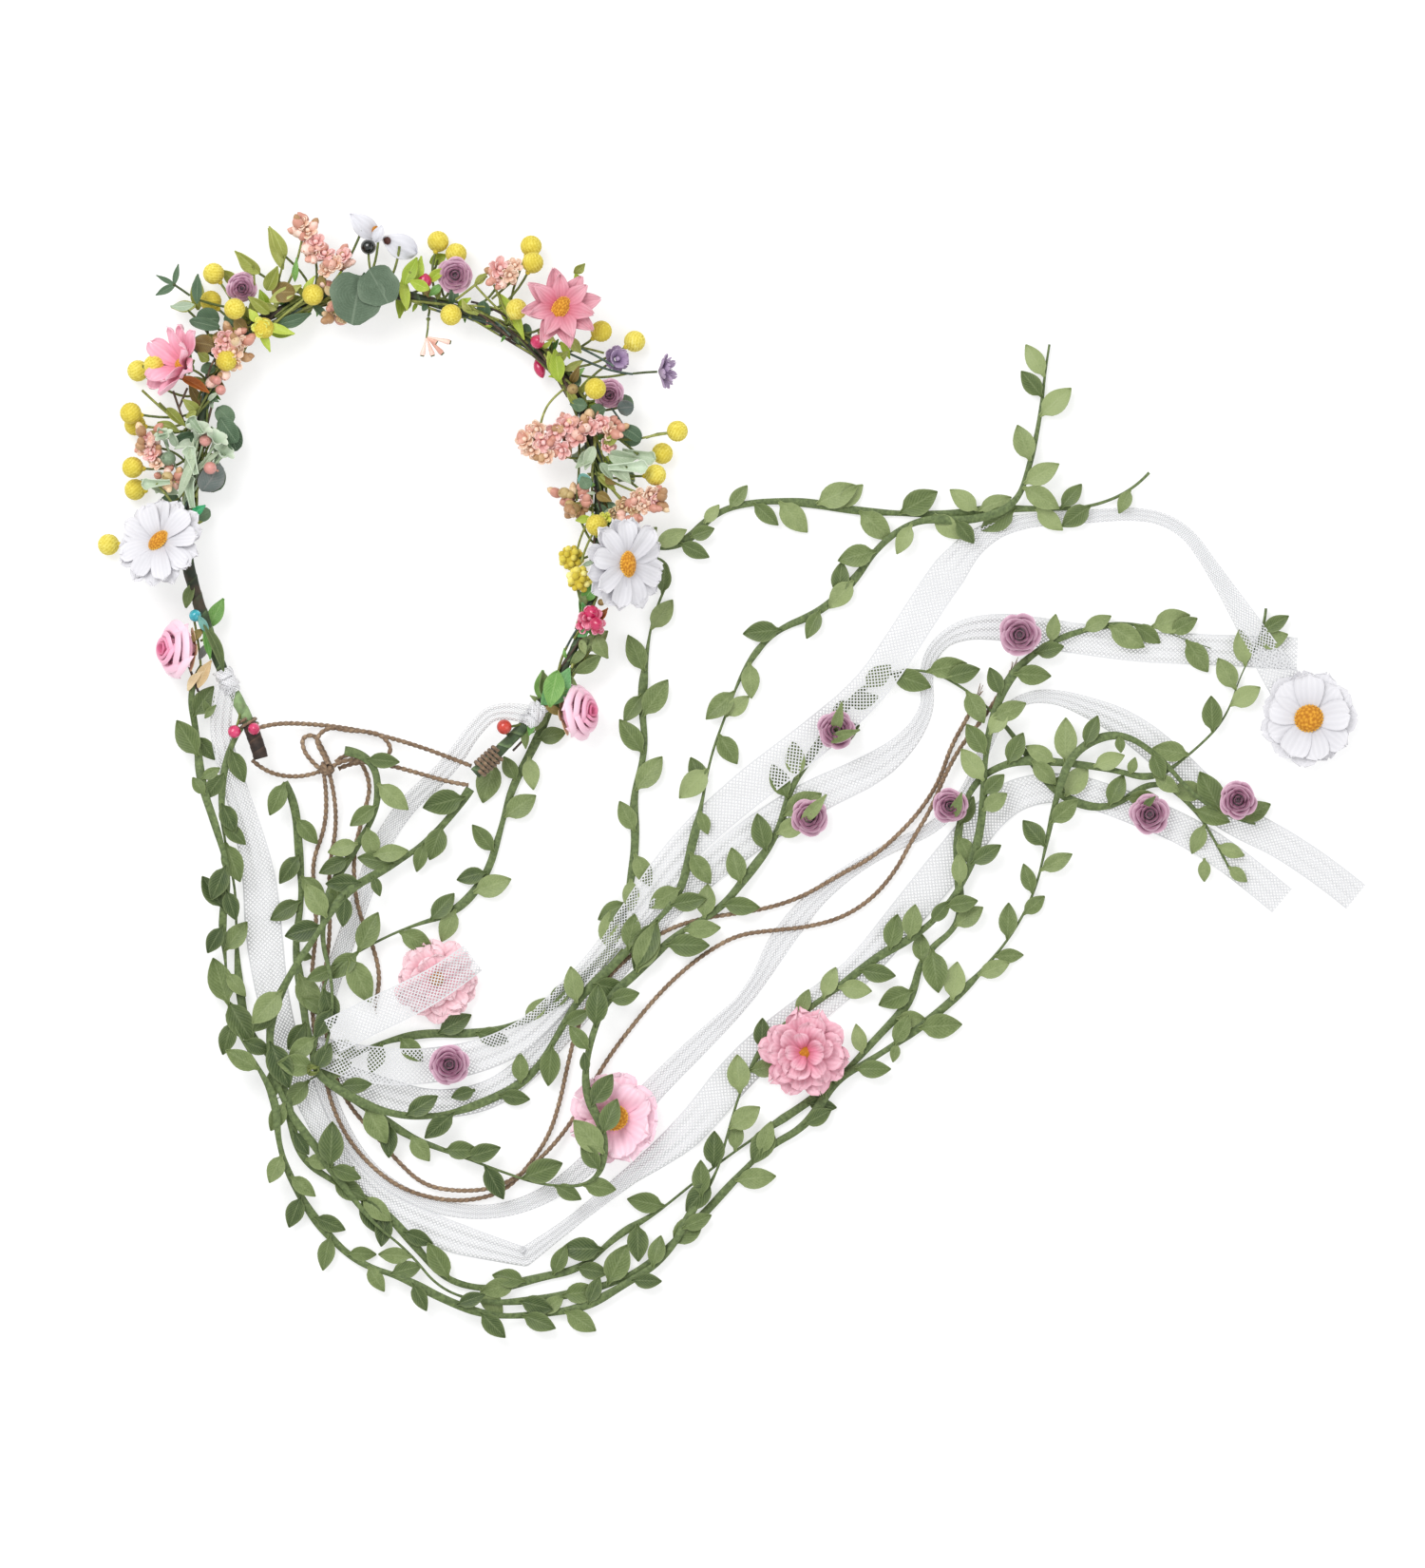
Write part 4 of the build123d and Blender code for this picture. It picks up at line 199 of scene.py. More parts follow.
# x, y, underside z, width, heading
RIBBONS = {
"ribbon_1": [
[
    (-71.6, -66.8, 15.2, 9, -101.7), (-74.46, -80.63, 11.8, 9, -91.59), (-72.37, -94.68, 9.4, 9.12, -76.93),
    (-68.05, -108.23, 7.9, 9.99, -72.61), (-63.87, -121.82, 6.2, 10.93, -73.95),
    (-60.19, -135.56, 4, 12.66, -77.09), (-57.52, -149.52, 0.02, 14.29, -82.56),
    (-56.52, -163.71, 0.02, 15.47, -85.2), (-55.14, -177.87, 0.02, 15.35, -83.25),
    (-53.18, -191.95, 0.02, 14.18, -80.09), (-50.25, -205.87, 0.02, 13.03, -75.96),
    (-46.28, -219.53, 0.82, 11.88, -70.98), (-40.99, -232.73, 0.82, 10.79, -66.95),
    (-35.14, -245.7, 0.82, 9.82, -64.98), (-28.96, -258.5, 0.82, 9.19, -59.93),
    (-20.94, -270.23, 0.82, 9.73, -51.53), (-11.33, -280.69, 0.82, 10.76, -40.95),
    (0.37, -288.73, 0.82, 11.97, -29.87), (13.23, -294.8, 0.82, 13.24, -23.12), (26.51, -299.89, 0.82, 13, -18.21),
    (40.22, -303.68, 0.02, 10.5, -14.9), (54, -307.2, 0.02, 8, -14.32),
],
[
    (54, -307.2, 0.82, 8, 35.77), (65.53, -298.9, 0.82, 6.21, 36.39), (76.87, -290.35, 0.02, 5.3, 37.99),
    (87.91, -281.41, 0.02, 6.22, 38.66), (99.05, -272.6, 0.02, 7.52, 36.75), (110.66, -264.42, 0.02, 10.83, 37.02),
    (121.71, -255.51, 0.02, 14.03, 43.62), (131.14, -244.91, 0.02, 14.8, 49.84),
    (140.02, -233.82, 0.02, 15.57, 48.98), (149.77, -223.49, 0.02, 15.77, 44.13),
    (160.38, -214.06, 0.02, 15.24, 40.34), (171.41, -205.11, 0.02, 14.57, 37.75),
    (182.84, -196.67, 0.02, 13.77, 38.29), (193.69, -187.52, 0.02, 13.02, 43.81),
    (203.28, -177.06, 0.02, 13.79, 49.19), (212.24, -166.03, 0.02, 14.56, 50.64),
    (221.3, -155.09, 0.02, 15.19, 50.47), (230.33, -144.12, 0.02, 15.65, 50.23), (239.48, -133.26, 0.82, 15.78, 51),
    (248.2, -122.05, 0.82, 14.83, 45.95), (259.03, -113.04, 0.02, 13.85, 27.36),
    (272.68, -109.38, 0.02, 12.69, 6.2), (286.81, -110.02, 0.02, 12.19, -10.55),
    (300.27, -114.52, 0.02, 12.68, -19.62), (313.55, -119.55, 0.02, 13, -21.27),
    (326.74, -124.82, 0.82, 13, -24.97), (339.25, -131.52, 0.82, 13, -30.82), (351.1, -139.35, 0.82, 13, -35.89),
    (362.24, -148.16, 0.82, 13, -38.92), (373.2, -157.2, 0.02, 13, -39.53),
],
],
"ribbon_2": [
[
    (55.6, -78.8, 15.2, 8, 165.82), (42.68, -75.53, 13.4, 6.76, -165.08), (32.79, -84.88, 11, 6.86, -129.54),
    (25.24, -96.66, 8, 7.62, -127.62), (15.81, -106.9, 5, 8, -136.01), (5.2, -116, 0.02, 8, -132.8),
    (-3.05, -127.28, 0.02, 8, -121.41), (-9.31, -139.77, 0.02, 8, -112.59), (-13.77, -153.03, 0.02, 8, -109.26),
    (-18.54, -166.19, 0.02, 8, -109.87), (-23.28, -179.36, 0.02, 8, -109.99), (-28.11, -192.49, 0.02, 8, -107.3),
    (-31.59, -206.03, 0.02, 8, -100.33), (-33.11, -219.92, 0.02, 8, -89.26), (-31.23, -233.74, 0.02, 7.69, -75.81),
    (-26.31, -246.83, 0.02, 7.14, -65.9), (-19.83, -259.22, 0.02, 6.58, -57.43),
    (-11.32, -270.29, 0.02, 6.03, -45.01), (-0.25, -278.81, 0.02, 6, -31.7), (12.32, -284.89, 0.02, 6, -19.51),
    (25.92, -288.08, 0.02, 6, -7.49), (39.88, -288.52, 0.02, 6, 5.29), (53.51, -285.52, 0.02, 6.56, 18.86),
    (66.14, -279.54, 0.02, 7.3, 30.83), (77.4, -271.26, 0.02, 8.41, 40.16), (87.47, -261.55, 0.02, 9.19, 47.4),
    (96.31, -250.71, 0.02, 9.6, 50.54), (105.25, -239.95, 0.02, 9.99, 48.04), (115, -229.91, 0.02, 9.58, 45.07),
    (125.01, -220.13, 0.02, 9.17, 44.18), (135.08, -210.41, 0.02, 7.98, 43.94),
    (145.17, -200.71, 0.02, 6.26, 48.78), (153.42, -189.47, 0.02, 7.05, 57.95),
    (159.95, -177.09, 0.02, 9.81, 58.39), (168.05, -165.7, 0.02, 9.82, 51.06), (177.5, -155.38, 0.02, 7.74, 43.53),
    (188.28, -146.48, 0.02, 6.38, 36.09), (200.06, -138.93, 0.02, 5.41, 29.58), (212.56, -132.7, 0.02, 5, 24.83),
    (225.41, -127.2, 0.02, 5, 32.8), (235.69, -117.79, 0.02, 5, 49.89), (243.22, -106.05, 0.02, 5, 63.79),
    (247.95, -92.88, 0.02, 5, 67.67), (253.85, -80.2, 0.02, 5, 52.91), (264.22, -71.36, 0.02, 5, 21.11),
    (277.98, -70.88, 0.02, 6.29, -8.6), (291.2, -75.44, 0.02, 8.94, -21.27), (304.03, -81.03, 0.02, 11.82, -28.49),
    (315.68, -88.72, 0.02, 13.29, -37.59), (326.12, -98.04, 0.02, 13.77, -43.03),
    (336.13, -107.81, 0.02, 14, -45.45), (345.75, -117.97, 0.02, 14, -39.37),
    (357.54, -125.38, 0.02, 13.57, -28.73), (370.17, -131.37, 0.02, 13, -28.79),
    (382.01, -138.83, 0.02, 13, -33.65), (393.46, -146.87, 0.02, 13, -36.84), (404.4, -155.6, 0.02, 13, -38.6),
],
],
"ribbon_3": [
[
    (-34.8, -220, 9.47, 12, -16.9), (-21.56, -224.02, 9.47, 14.42, -13.92), (-8, -226.64, 6.72, 15.82, -6.9),
    (5.81, -227.34, 6.72, 15.28, 1.47), (19.57, -225.93, 2.9, 14.66, 8.7), (33.11, -223.16, 2.9, 13.92, 15.79),
    (46.09, -218.43, 2.9, 13.18, 26.63), (57.64, -210.86, 2.9, 12.06, 38.62), (67.59, -201.26, 2.9, 10.82, 46.1),
    (76.81, -190.95, 2.9, 9.57, 48.58), (85.89, -180.51, 2.9, 9.57, 50.57), (94.37, -169.58, 2.9, 10.64, 52.94),
    (102.57, -158.43, 2.9, 11.7, 53.51), (110.83, -147.34, 2.9, 12.76, 52.09),
    (119.56, -136.61, 0.82, 13.82, 48.37), (129.19, -126.68, 0.82, 14.61, 43.99),
    (139.46, -117.41, 0.82, 15.33, 41.08), (150.05, -108.5, 3.57, 16, 38.79), (161.02, -100.07, 3.57, 16, 37.3),
    (172.06, -91.73, 3.57, 16, 38.02), (182.82, -83.03, 3.57, 15.64, 39.84), (193.3, -74.01, 3.83, 15.24, 44.07),
    (202.65, -63.83, 4.85, 15, 51.47), (210.48, -52.43, 4.85, 15, 56.31), (218, -40.81, 4.78, 15, 57.19),
    (225.47, -29.17, 0.02, 15, 56.28), (233.35, -17.8, 0.02, 14.97, 53.09), (242.07, -7.07, 0.02, 10.96, 41.5),
    (253.68, 0.18, 0.02, 7.88, 22.12), (267.18, 3.14, 0.02, 5.96, 8.6), (280.96, 4.3, 0.02, 5.72, 3.65),
    (294.78, 4.9, 0.02, 5.5, 3.47), (308.58, 5.98, 0.02, 5.5, -0.91), (322.26, 4.46, 0.02, 5.5, -18.67),
    (333.94, -2.6, 0.02, 5.59, -43.35), (341.79, -13.97, 0.02, 5.9, -56.05), (349.39, -25.53, 0.02, 7.54, -57.29),
    (356.74, -37.25, 3.3, 9.87, -58.51), (363.84, -49.13, 3.3, 12.23, -58.78), (371.08, -60.92, 3.3, 14.4, -57.27),
    (378.8, -72.4, 0.82, 16, -56.08),
],
],
"ribbon_4": [
[
    (-28.8, -230, 0.82, 12, -20.91), (-19.41, -233.59, 0.82, 12.86, -20.44), (-9.96, -237.02, 0.02, 13.71, -18.39),
    (-0.33, -239.93, 0.02, 13.41, -15.15), (9.44, -242.27, 0.02, 12.52, -8.17), (19.46, -242.77, 0.02, 12, 1.5),
    (29.46, -241.75, 0.02, 12, 11.01), (39.09, -238.95, 0.02, 12, 23.23), (47.75, -233.9, 0.02, 11.58, 35.49),
    (55.37, -227.34, 0.02, 11.04, 42.94), (62.46, -220.21, 0.02, 10.51, 45.65), (69.43, -212.97, 0.02, 9.98, 46.86),
    (76.21, -205.54, 0.02, 9.66, 48.92), (82.64, -197.81, 0.02, 9.33, 50.11), (89.1, -190.11, 0.02, 9, 49.61),
    (95.67, -182.5, 0.02, 9, 49.25), (102.23, -174.88, 0.02, 9, 48.77), (108.92, -167.37, 0.02, 9, 47.45),
    (115.83, -160.07, 0.02, 9.49, 46.2), (122.84, -152.86, 0.02, 10.79, 45.13),
    (130.01, -145.82, 0.02, 12.08, 43.26), (137.48, -139.08, 0.02, 13.37, 40.34),
    (145.33, -132.81, 0.02, 14.13, 37.02), (153.52, -126.98, 0.02, 14.4, 34.18),
    (161.96, -121.51, 0.02, 14.66, 32.01), (170.57, -116.32, 0.02, 14.92, 29.68),
    (179.42, -111.56, 0.02, 14.59, 26.28), (188.59, -107.42, 0.02, 13.99, 24.59),
    (197.71, -103.19, 0.02, 13.39, 28.41), (206.23, -97.88, 0.02, 12.11, 35.91),
    (213.94, -91.44, 0.02, 9.58, 45.66), (220.19, -83.6, 0.02, 7.38, 59.01), (224.17, -74.41, 0.02, 5.71, 81.3),
    (223.11, -64.53, 0.02, 5.5, 89.18), (224.44, -54.79, 0.02, 5.72, 67.15), (230.53, -46.92, 0.02, 6.73, 38.6),
    (239.59, -42.7, 0.02, 9.11, 15.28), (249.57, -41.71, 0.02, 10.78, 1.43), (259.61, -42.2, 0.02, 12.13, -6.11),
    (269.52, -43.85, 0.02, 12.63, -9.54), (279.43, -45.53, 0.02, 13, -9.06), (289.38, -47.02, 0.02, 13, -8.27),
    (299.33, -48.42, 0.02, 13, -7.44), (309.32, -49.62, 0.02, 13, -5.8), (319.34, -50.46, 0.02, 13, -3.71),
    (329.38, -50.92, 0.02, 13, -2.22), (339.43, -51.23, 0.02, 13, -1.97), (349.48, -51.61, 0.02, 13.01, -2.54),
    (359.52, -52.12, 0.02, 13.34, -2.99), (369.56, -52.66, 0.02, 13.67, -3.07), (379.6, -53.2, 0.02, 14, -3.07),
],
],
"ribbon_5": [
[
    (32.4, -181.2, 11.3, 13, -143.47), (21.49, -189.28, 11.3, 13.76, -146.58),
    (9.79, -196.12, 11.3, 14.61, -151.87), (-2.42, -202.06, 11.3, 15, -154.27),
    (-14.67, -207.91, 15.77, 15, -153.91), (-26.8, -214, 15.77, 15, -153.33),
],
],
}
# stem point and tip of each leaf cut in one with a vine
VINE_LEAVES = [
    (112, -28, 113.2, -14.8), (109.2, -44, 116.4, -30.4), (105.2, -60.4, 97.6, -45.2), (106, -78.8, 114.4, -64),
    (104.4, -95.2, 94, -80.8), (102.8, -110.8, 112, -96.4), (100.4, -128, 94, -115.2), (98.8, -148, 98.8, -162),
    (89.2, -178, 90.8, -160.8), (81.2, -184, 97.2, -178), (65.2, -202, 73.2, -191.2), (54, -207.2, 64, -198),
    (33.2, -214, 47.2, -216.4), (18, -213.2, 31.6, -205.2), (1.6, -216.8, 11.2, -224.8), (272.4, 64, 265.2, 77.2),
    (273.2, 46, 284.4, 58.8), (269.2, 28, 261.6, 43.2), (266.4, 18, 279.2, 26.8), (202, -9.2, 186, -14),
    (216.4, 2, 210.8, -11.2), (192, -22, 182.4, -34), (178, -34.8, 172.8, -46.8), (162, -42.4, 146, -44.8),
    (150.4, -57.2, 149.6, -72), (142, -69.2, 130.4, -80.8), (136, -86.8, 143.6, -99.6), (130, -101.2, 119.2, -114),
    (129.6, -119.2, 131.2, -129.2), (124.4, -136.8, 132.4, -150), (119.6, -151.2, 106.4, -160),
    (110.4, -166, 100, -186), (67.2, -218, 64, -235.2), (33.2, -236.8, 23.2, -240), (24.4, -246.8, 12, -257.2),
    (161.2, 8.8, 173.2, -2), (177.2, 10, 194.4, 17.6), (195.2, 5.6, 208.4, -5.2), (212.4, 7.2, 228, 15.2),
    (226.4, 4.8, 237.2, -4.8), (244.4, 9.2, 233.2, 16), (245.2, 8, 259.2, 12.8), (261.2, 6.8, 246.4, -1.2),
    (265.2, 17.2, 279.2, 8), (293.2, 8, 280.4, 0.4), (309.2, 16, 304.4, 6), (131.2, 0.8, 136, 9.6),
    (127.2, -8, 134, -0.4), (168.4, -105.2, 167.2, -90), (154.4, -136, 152, -120.4), (164.4, -122, 179.2, -112),
    (184.4, -80.8, 188.4, -72.4), (177.2, -89.2, 195.2, -83.2), (129.2, -164.8, 131.2, -150),
    (139.2, -160, 153.2, -160), (115.2, -178, 132, -176), (100.4, -186, 110, -166), (90, -200, 102.4, -196),
    (84.4, -210, 85.2, -192), (223.2, -60.8, 240.4, -57.2), (209.2, -63.2, 225.2, -67.2),
    (197.2, -66.8, 208.4, -58), (81.2, -230, 79.2, -220.8), (84, -242, 91.2, -230), (86, -262.8, 74.8, -249.2),
    (67.2, -277.2, 78, -282.8), (53.2, -274, 70, -267.6), (37.2, -268.8, 45.2, -282.8), (19.2, -262.8, 34.4, -262),
    (6, -256.8, 14, -266.8), (-12.8, -244.8, -4, -259.2), (269.2, -54, 281.2, -50), (289.2, -43.6, 301.2, -37.2),
    (300.4, -42.8, 315.2, -50.4), (318.4, -42, 334.4, -36.8), (332.4, -48.8, 342, -60.8),
    (247.2, -106.8, 238, -93.2), (249.2, -120, 257.2, -112), (253.2, -88, 257.2, -76), (227.2, -168, 233.2, -157.2),
    (207.2, -178, 211.2, -162.8), (194.4, -186.8, 210.4, -188.8), (179.2, -198.8, 185.2, -185.2),
    (145.2, -238, 143.6, -222), (141.2, -254, 153.2, -244), (245.2, -112, 256, -104),
    (237.2, -125.2, 243.2, -113.2), (238, -130, 243.2, -142), (216.4, -194, 203.2, -201.2),
    (227.2, -178, 228.4, -196), (159.2, -252, 150, -268), (133.2, -268, 134, -254), (131.2, -274, 122, -288),
    (111.2, -282.8, 97.2, -282.8), (87.2, -303.2, 69.2, -304), (102, -294, 102, -309.2), (54.4, -318, 40.4, -314.8),
    (51.2, -318.8, 35.2, -322), (265.2, -163.2, 273.2, -155.2), (257.2, -174, 258, -158),
    (245.2, -189.2, 258.4, -183.2), (233.2, -198, 236.4, -182.8), (221.2, -211.2, 238.4, -209.2),
    (209.2, -218, 216, -205.2), (209.2, -214, 209.2, -225.2), (195.2, -230, 208.4, -228),
    (189.2, -238, 181.2, -225.2), (171.2, -252, 183.2, -245.2), (153.2, -264, 158, -250),
    (144.4, -276, 160, -273.2), (115.2, -301.2, 129.2, -290), (89.2, -318, 97.2, -302), (69.2, -322, 85.2, -321.2),
    (51.2, -322.8, 66, -329.2), (52.4, -330.8, 67.2, -337.2), (21.2, -318, 13.2, -301.2), (6, -308, -7.6, -306),
    (277.2, -98, 265.2, -92), (282, -97.2, 282, -80), (281.2, -113.2, 291.2, -100), (299.2, -116, 306.4, -104),
    (309.2, -105.2, 311.2, -96.8), (333.2, -96, 318.4, -92.8), (343.2, -86, 343.2, -70.8), (352.4, -76, 364, -67.2),
    (356.4, -58, 355.2, -42.8), (369.2, -45.2, 376, -37.2), (304.4, -88, 305.2, -94.8),
    (349.2, -116, 338.4, -102.8), (338, -117.2, 351.2, -124), (340.4, -139.2, 340.4, -149.2),
    (348.4, -144, 358.4, -149.2), (-83.6, -96, -92.4, -81.2), (-82.8, -78.8, -76.8, -66.8),
    (-80.8, -106, -74, -101.2), (-82, -113.2, -85.6, -105.2), (-75.6, -116, -67.6, -128),
    (-70.8, -132, -65.6, -149.2), (-74, -160, -81.6, -146.8), (-70, -178, -62.8, -166),
    (-74, -201.2, -77.2, -181.2), (-70.8, -200, -60.4, -216.8), (-59.6, -229.2, -71.6, -220),
    (-46.8, -107.2, -53.2, -121.2), (-42, -122, -33.2, -133.2), (-42, -138, -49.2, -150), (-28.8, -164, -38, -150),
    (-7.6, -107.2, 5.2, -118.8), (-16.8, -132, -28.8, -136.8), (-9.6, -138, 5.2, -136), (28, -112, 11.2, -118),
    (19.2, -126, 14, -140), (-15.6, -148, -29.6, -150), (-8.8, -146.8, -6.8, -155.2), (-30.8, -168, -46.8, -172),
    (-42.8, -180, -35.6, -181.2), (-47.6, -194.8, -60.4, -208.8), (-42, -188, -32.8, -205.2),
    (-53.6, -216, -44.8, -236), (-26.8, -269.2, -26.8, -250), (-28.8, -270.8, -14.8, -274),
    (-26.8, -276, -12.8, -282.8), (-22.8, -278, -18, -269.2), (-12.8, -278, -2, -292), (-14.8, -282.8, -6, -298),
    (82, -54, 89.2, -43.6), (74, -60.4, 86, -54), (61.2, -90, 71.6, -86), (51.6, -106.4, 45.2, -96.4),
    (46.8, -122, 58.8, -112.8), (38.4, -136, 32, -125.2), (34.4, -155.2, 48.4, -148), (14, -164, 24.4, -154),
    (1.2, -171.2, 15.2, -177.2), (-16.8, -178, -7.6, -162), (-15.6, -179.2, -28.8, -190), (-18, -184, -10.8, -200),
    (41.2, -98, 36.4, -116), (-35.6, -228, -50, -225.2), (-38, -230, -46.8, -244), (-32.8, -230, -18.8, -225.2),
    (-34.8, -229.2, -27.6, -217.2), (-46.8, -242, -52.8, -254), (-45.6, -254, -36.8, -264),
]
STEMS = [
    (-57.2, 88.97, 12.58, -62.02, 96.48, 15.46), (21.03, 95.01, 12.55, 22.75, 100.03, 14.16),
    (79.45, 51.21, 12.7, 85.06, 53.86, 15.14), (-61.62, 86.08, 11.85, -74.86, 104.15, 10.04),
    (-65.76, 82.52, 11.64, -75.75, 92.87, 8.89), (-61.97, 84.94, 13.46, -66.24, 90, 21.48),
    (-57.17, 85.81, 13.68, -56.5, 84.86, 15.86), (-34.14, 96, 13.83, -34.47, 96.81, 17.08),
    (-72.42, 70.69, 13.84, -71.89, 70.39, 16.32), (-83.27, 46.57, 11.59, -106.24, 64.05, 5.23),
    (-110.4, 66.4, 8.4, -106, 67.9, 14.3), (-84.16, 43.18, 12.14, -108.36, 47.43, 14.02),
    (-84.89, 38.84, 11.59, -106.82, 42.65, 6.73), (-87.2, 22.31, 12, -107.52, 24.8, 12.02),
    (-86.61, 24.89, 11.49, -107.03, 17.13, 5.41), (-90.01, -6.79, 11.58, -117.98, -7.16, 5.25),
    (11.61, 97.62, 11.46, 16.79, 117.34, 5.45), (13.83, 97, 11.58, 23.49, 112.47, 7.49),
    (41.54, 87.07, 11.81, 55.36, 115.45, 8.6), (44.72, 85.5, 12.19, 56.13, 108.26, 14.7),
    (46.97, 84.04, 12.97, 49.52, 89.07, 16.33), (24.25, 91.3, 13.76, 23.76, 90.32, 16.47),
    (69.35, 67.71, 12.18, 83.91, 80.25, 13.96), (74.07, 61.31, 11.58, 97.7, 76.65, 5.24),
    (76.82, 54.73, 13.66, 82.53, 57.33, 24.89), (86.22, 26.97, 11.51, 108.85, 30.68, 5.37),
    (87.09, 19.89, 12.06, 105.92, 21.69, 12.66), (85.19, 0.61, 13.88, 84.8, 0.7, 17),
    (83.29, -13.46, 10.95, 76.35, -12.99, 6.34), (82.32, -22.95, 12.91, 80.05, -22.53, 14.18),
    (-64.87, -78.97, 12.98, -67.51, -84.9, 16.9), (-60.29, -85.26, 13.85, -59.83, -84.95, 16.25),
    (81.43, -35.97, 13.85, 81.99, -35.99, 16.27), (80.67, -39.51, 13.7, 83.72, -40.57, 20.14),
    (58.28, 76.4, 13.7, 59.14, 77.45, 16.39), (62.82, 69.66, 10.82, 61.11, 67.64, 8.74),
    (10.67, 97.73, 12.83, 11.64, 102.02, 14.98), (52.36, -83.57, 13.04, 47.27, -83.89, 16.38),
    (-82.44, -36.74, 13.69, -83.78, -37.05, 16.37), (-11.45, 100.67, 12.03, -11.58, 115.9, 12.29),
    (75.05, 59.84, 12.01, 89.91, 69.01, 12.1), (-80.07, -47.07, 12.21, -82.31, -47.8, 12.47),
    (66.26, -70.79, 12.03, 68.5, -72.2, 12.06), (-43.86, 94.52, 12.29, -38.76, 124.54, 16.96),
    (-30.87, 98.13, 12.48, -34.2, 115.39, 17.08), (-38.7, 95.38, 12.29, -24.54, 111.65, 15.6),
    (-26.69, 95.27, 12.65, -25.83, 91.27, 14.15), (-68, 78.36, 13.8, -69.06, 79.14, 17.69),
    (-67.48, 76.95, 13.76, -66.36, 76.28, 16.9), (-85.99, 31.83, 12.32, -102.25, 33.79, 15.1),
    (-86.48, 24.77, 12.71, -93.82, 21.2, 15.99), (37.46, 88.93, 12.3, 44.14, 104.68, 15.08),
    (78.32, 44.17, 12.22, 58.28, 37.12, 14.68), (83.52, 21.55, 12.27, 64.32, 33.17, 15.49),
    (81.39, 34.03, 12.57, 70.44, 36.38, 16.08), (79.15, 42.67, 13.04, 73.29, 40.89, 17.07),
    (81.5, 43.25, 13.7, 82.51, 43.39, 15.75), (84.45, 34.16, 12.69, 89.29, 40.19, 15.71),
    (84, 2.65, 12.2, 72.19, 12.68, 13.88), (84.07, -14.48, 12.37, 76.12, 7.07, 16.86),
    (85.52, 28.18, 12.24, 108.17, 11.81, 15.88), (87.29, 6.68, 12.72, 97.02, 6.7, 16.73),
    (-82.59, 36.8, 13.74, -81.28, 36.8, 16.79), (-83.29, 25.28, 12.98, -79.01, 24.57, 15.61),
    (79.32, 44.57, 12.23, 76.1, 11.03, 16.3), (83.85, 12.66, 12.87, 79.27, 12.42, 15.22),
    (-76.04, 62.98, 13.68, -75.1, 62.68, 15.56), (-85.47, 35.37, 12.29, -101.39, 38.01, 14.8),
    (-31.3, 96.28, 12.31, -28.26, 97.19, 12.84), (-79.23, 58.56, 12.07, -79.2, 87.3, 13.19),
    (-76.28, 68.07, 12.07, -80.66, 76.53, 12.44), (-84.05, 26.32, 11.98, -72.15, 46.94, 11.7),
    (-84.9, 17.49, 11.88, -69.38, 37.76, 10.22), (-83.58, 21.83, 11.26, -77.87, 21.04, 8.82),
    (81.56, 46.23, 11.58, 96.32, 51.3, 8.02), (78.71, 51.01, 11.76, 98.75, 38.16, 8.74),
    (-87.76, 14.16, 11.66, -94.55, 10.15, 10.25), (-26.84, 98.51, 11.98, -50.36, 117.01, 11.7),
    (-42.29, 94.86, 11.88, -62.96, 110.62, 10.22), (-36.47, 96.25, 12.05, -50.94, 104.25, 12.44),
    (-73.49, 72.62, 11.48, -83.69, 98.53, 3.53), (-70.67, 77.14, 11.66, -89.37, 92.81, 7.25),
    (-58.68, 88.05, 11.43, -69.84, 104.96, 5.04), (-35.31, 94.21, 11.83, -47.99, 81.81, 10.23),
    (4.52, 98.85, 13.15, 6.16, 107.37, 19.77), (44.65, 85.3, 11.11, 47.28, 90.36, 8.09),
    (58.1, 77.79, 12.15, 76.43, 103.76, 14.68), (13.27, 97.01, 11.04, 17.53, 112.95, 1.35),
    (-81.13, 39.94, 12.91, -75.46, 38.85, 16.06), (-82.46, 31.39, 12.89, -75.06, 30.43, 16.81),
    (-85.21, 31.04, 11.65, -97.81, 16.22, 8.01), (-85, 37.93, 12.58, -98.12, 39.96, 16.86),
    (86.37, 24.2, 13, 97.35, 25.18, 19.79), (78.94, 50.02, 11.89, 101.97, 30.59, 10.22),
    (83.39, 36.59, 11.85, 96.6, 21.23, 10.22), (-88.58, 5.83, 12.84, -100.61, 18.21, 21.32),
    (-23.82, 99.25, 12.25, -13.7, 126.52, 16.16), (-0.75, 100.03, 12.45, 1.56, 118.11, 16.88),
    (-7.9, 100.49, 12.73, -7.21, 122.92, 22.08), (75.28, 59.29, 12.15, 97.71, 64.73, 13.98),
    (85.02, 34.02, 12.19, 102.91, 37.54, 13.97), (14.85, 92.94, 12, 13.69, 89.09, 12),
    (-58.76, 87.59, 12.13, -84.12, 95.91, 13.98), (-89.45, -7.64, 13.37, -97.27, -7.69, 21.54),
    (86.06, -14.58, 13.44, 94.06, -15.4, 22.76), (58.7, 77.06, 12.97, 68.72, 90.76, 23.12),
    (-78.7, 63.12, 12.98, -85.33, 66.17, 17.38),
]
BOW_KNOT = (-29.4, -101.6, 4.4)
BUNDLE_TIE = (-34.8, -228.4, 13.02)
LEFT_KNOT = 0.0676
RIGHT_KNOT = 0.933
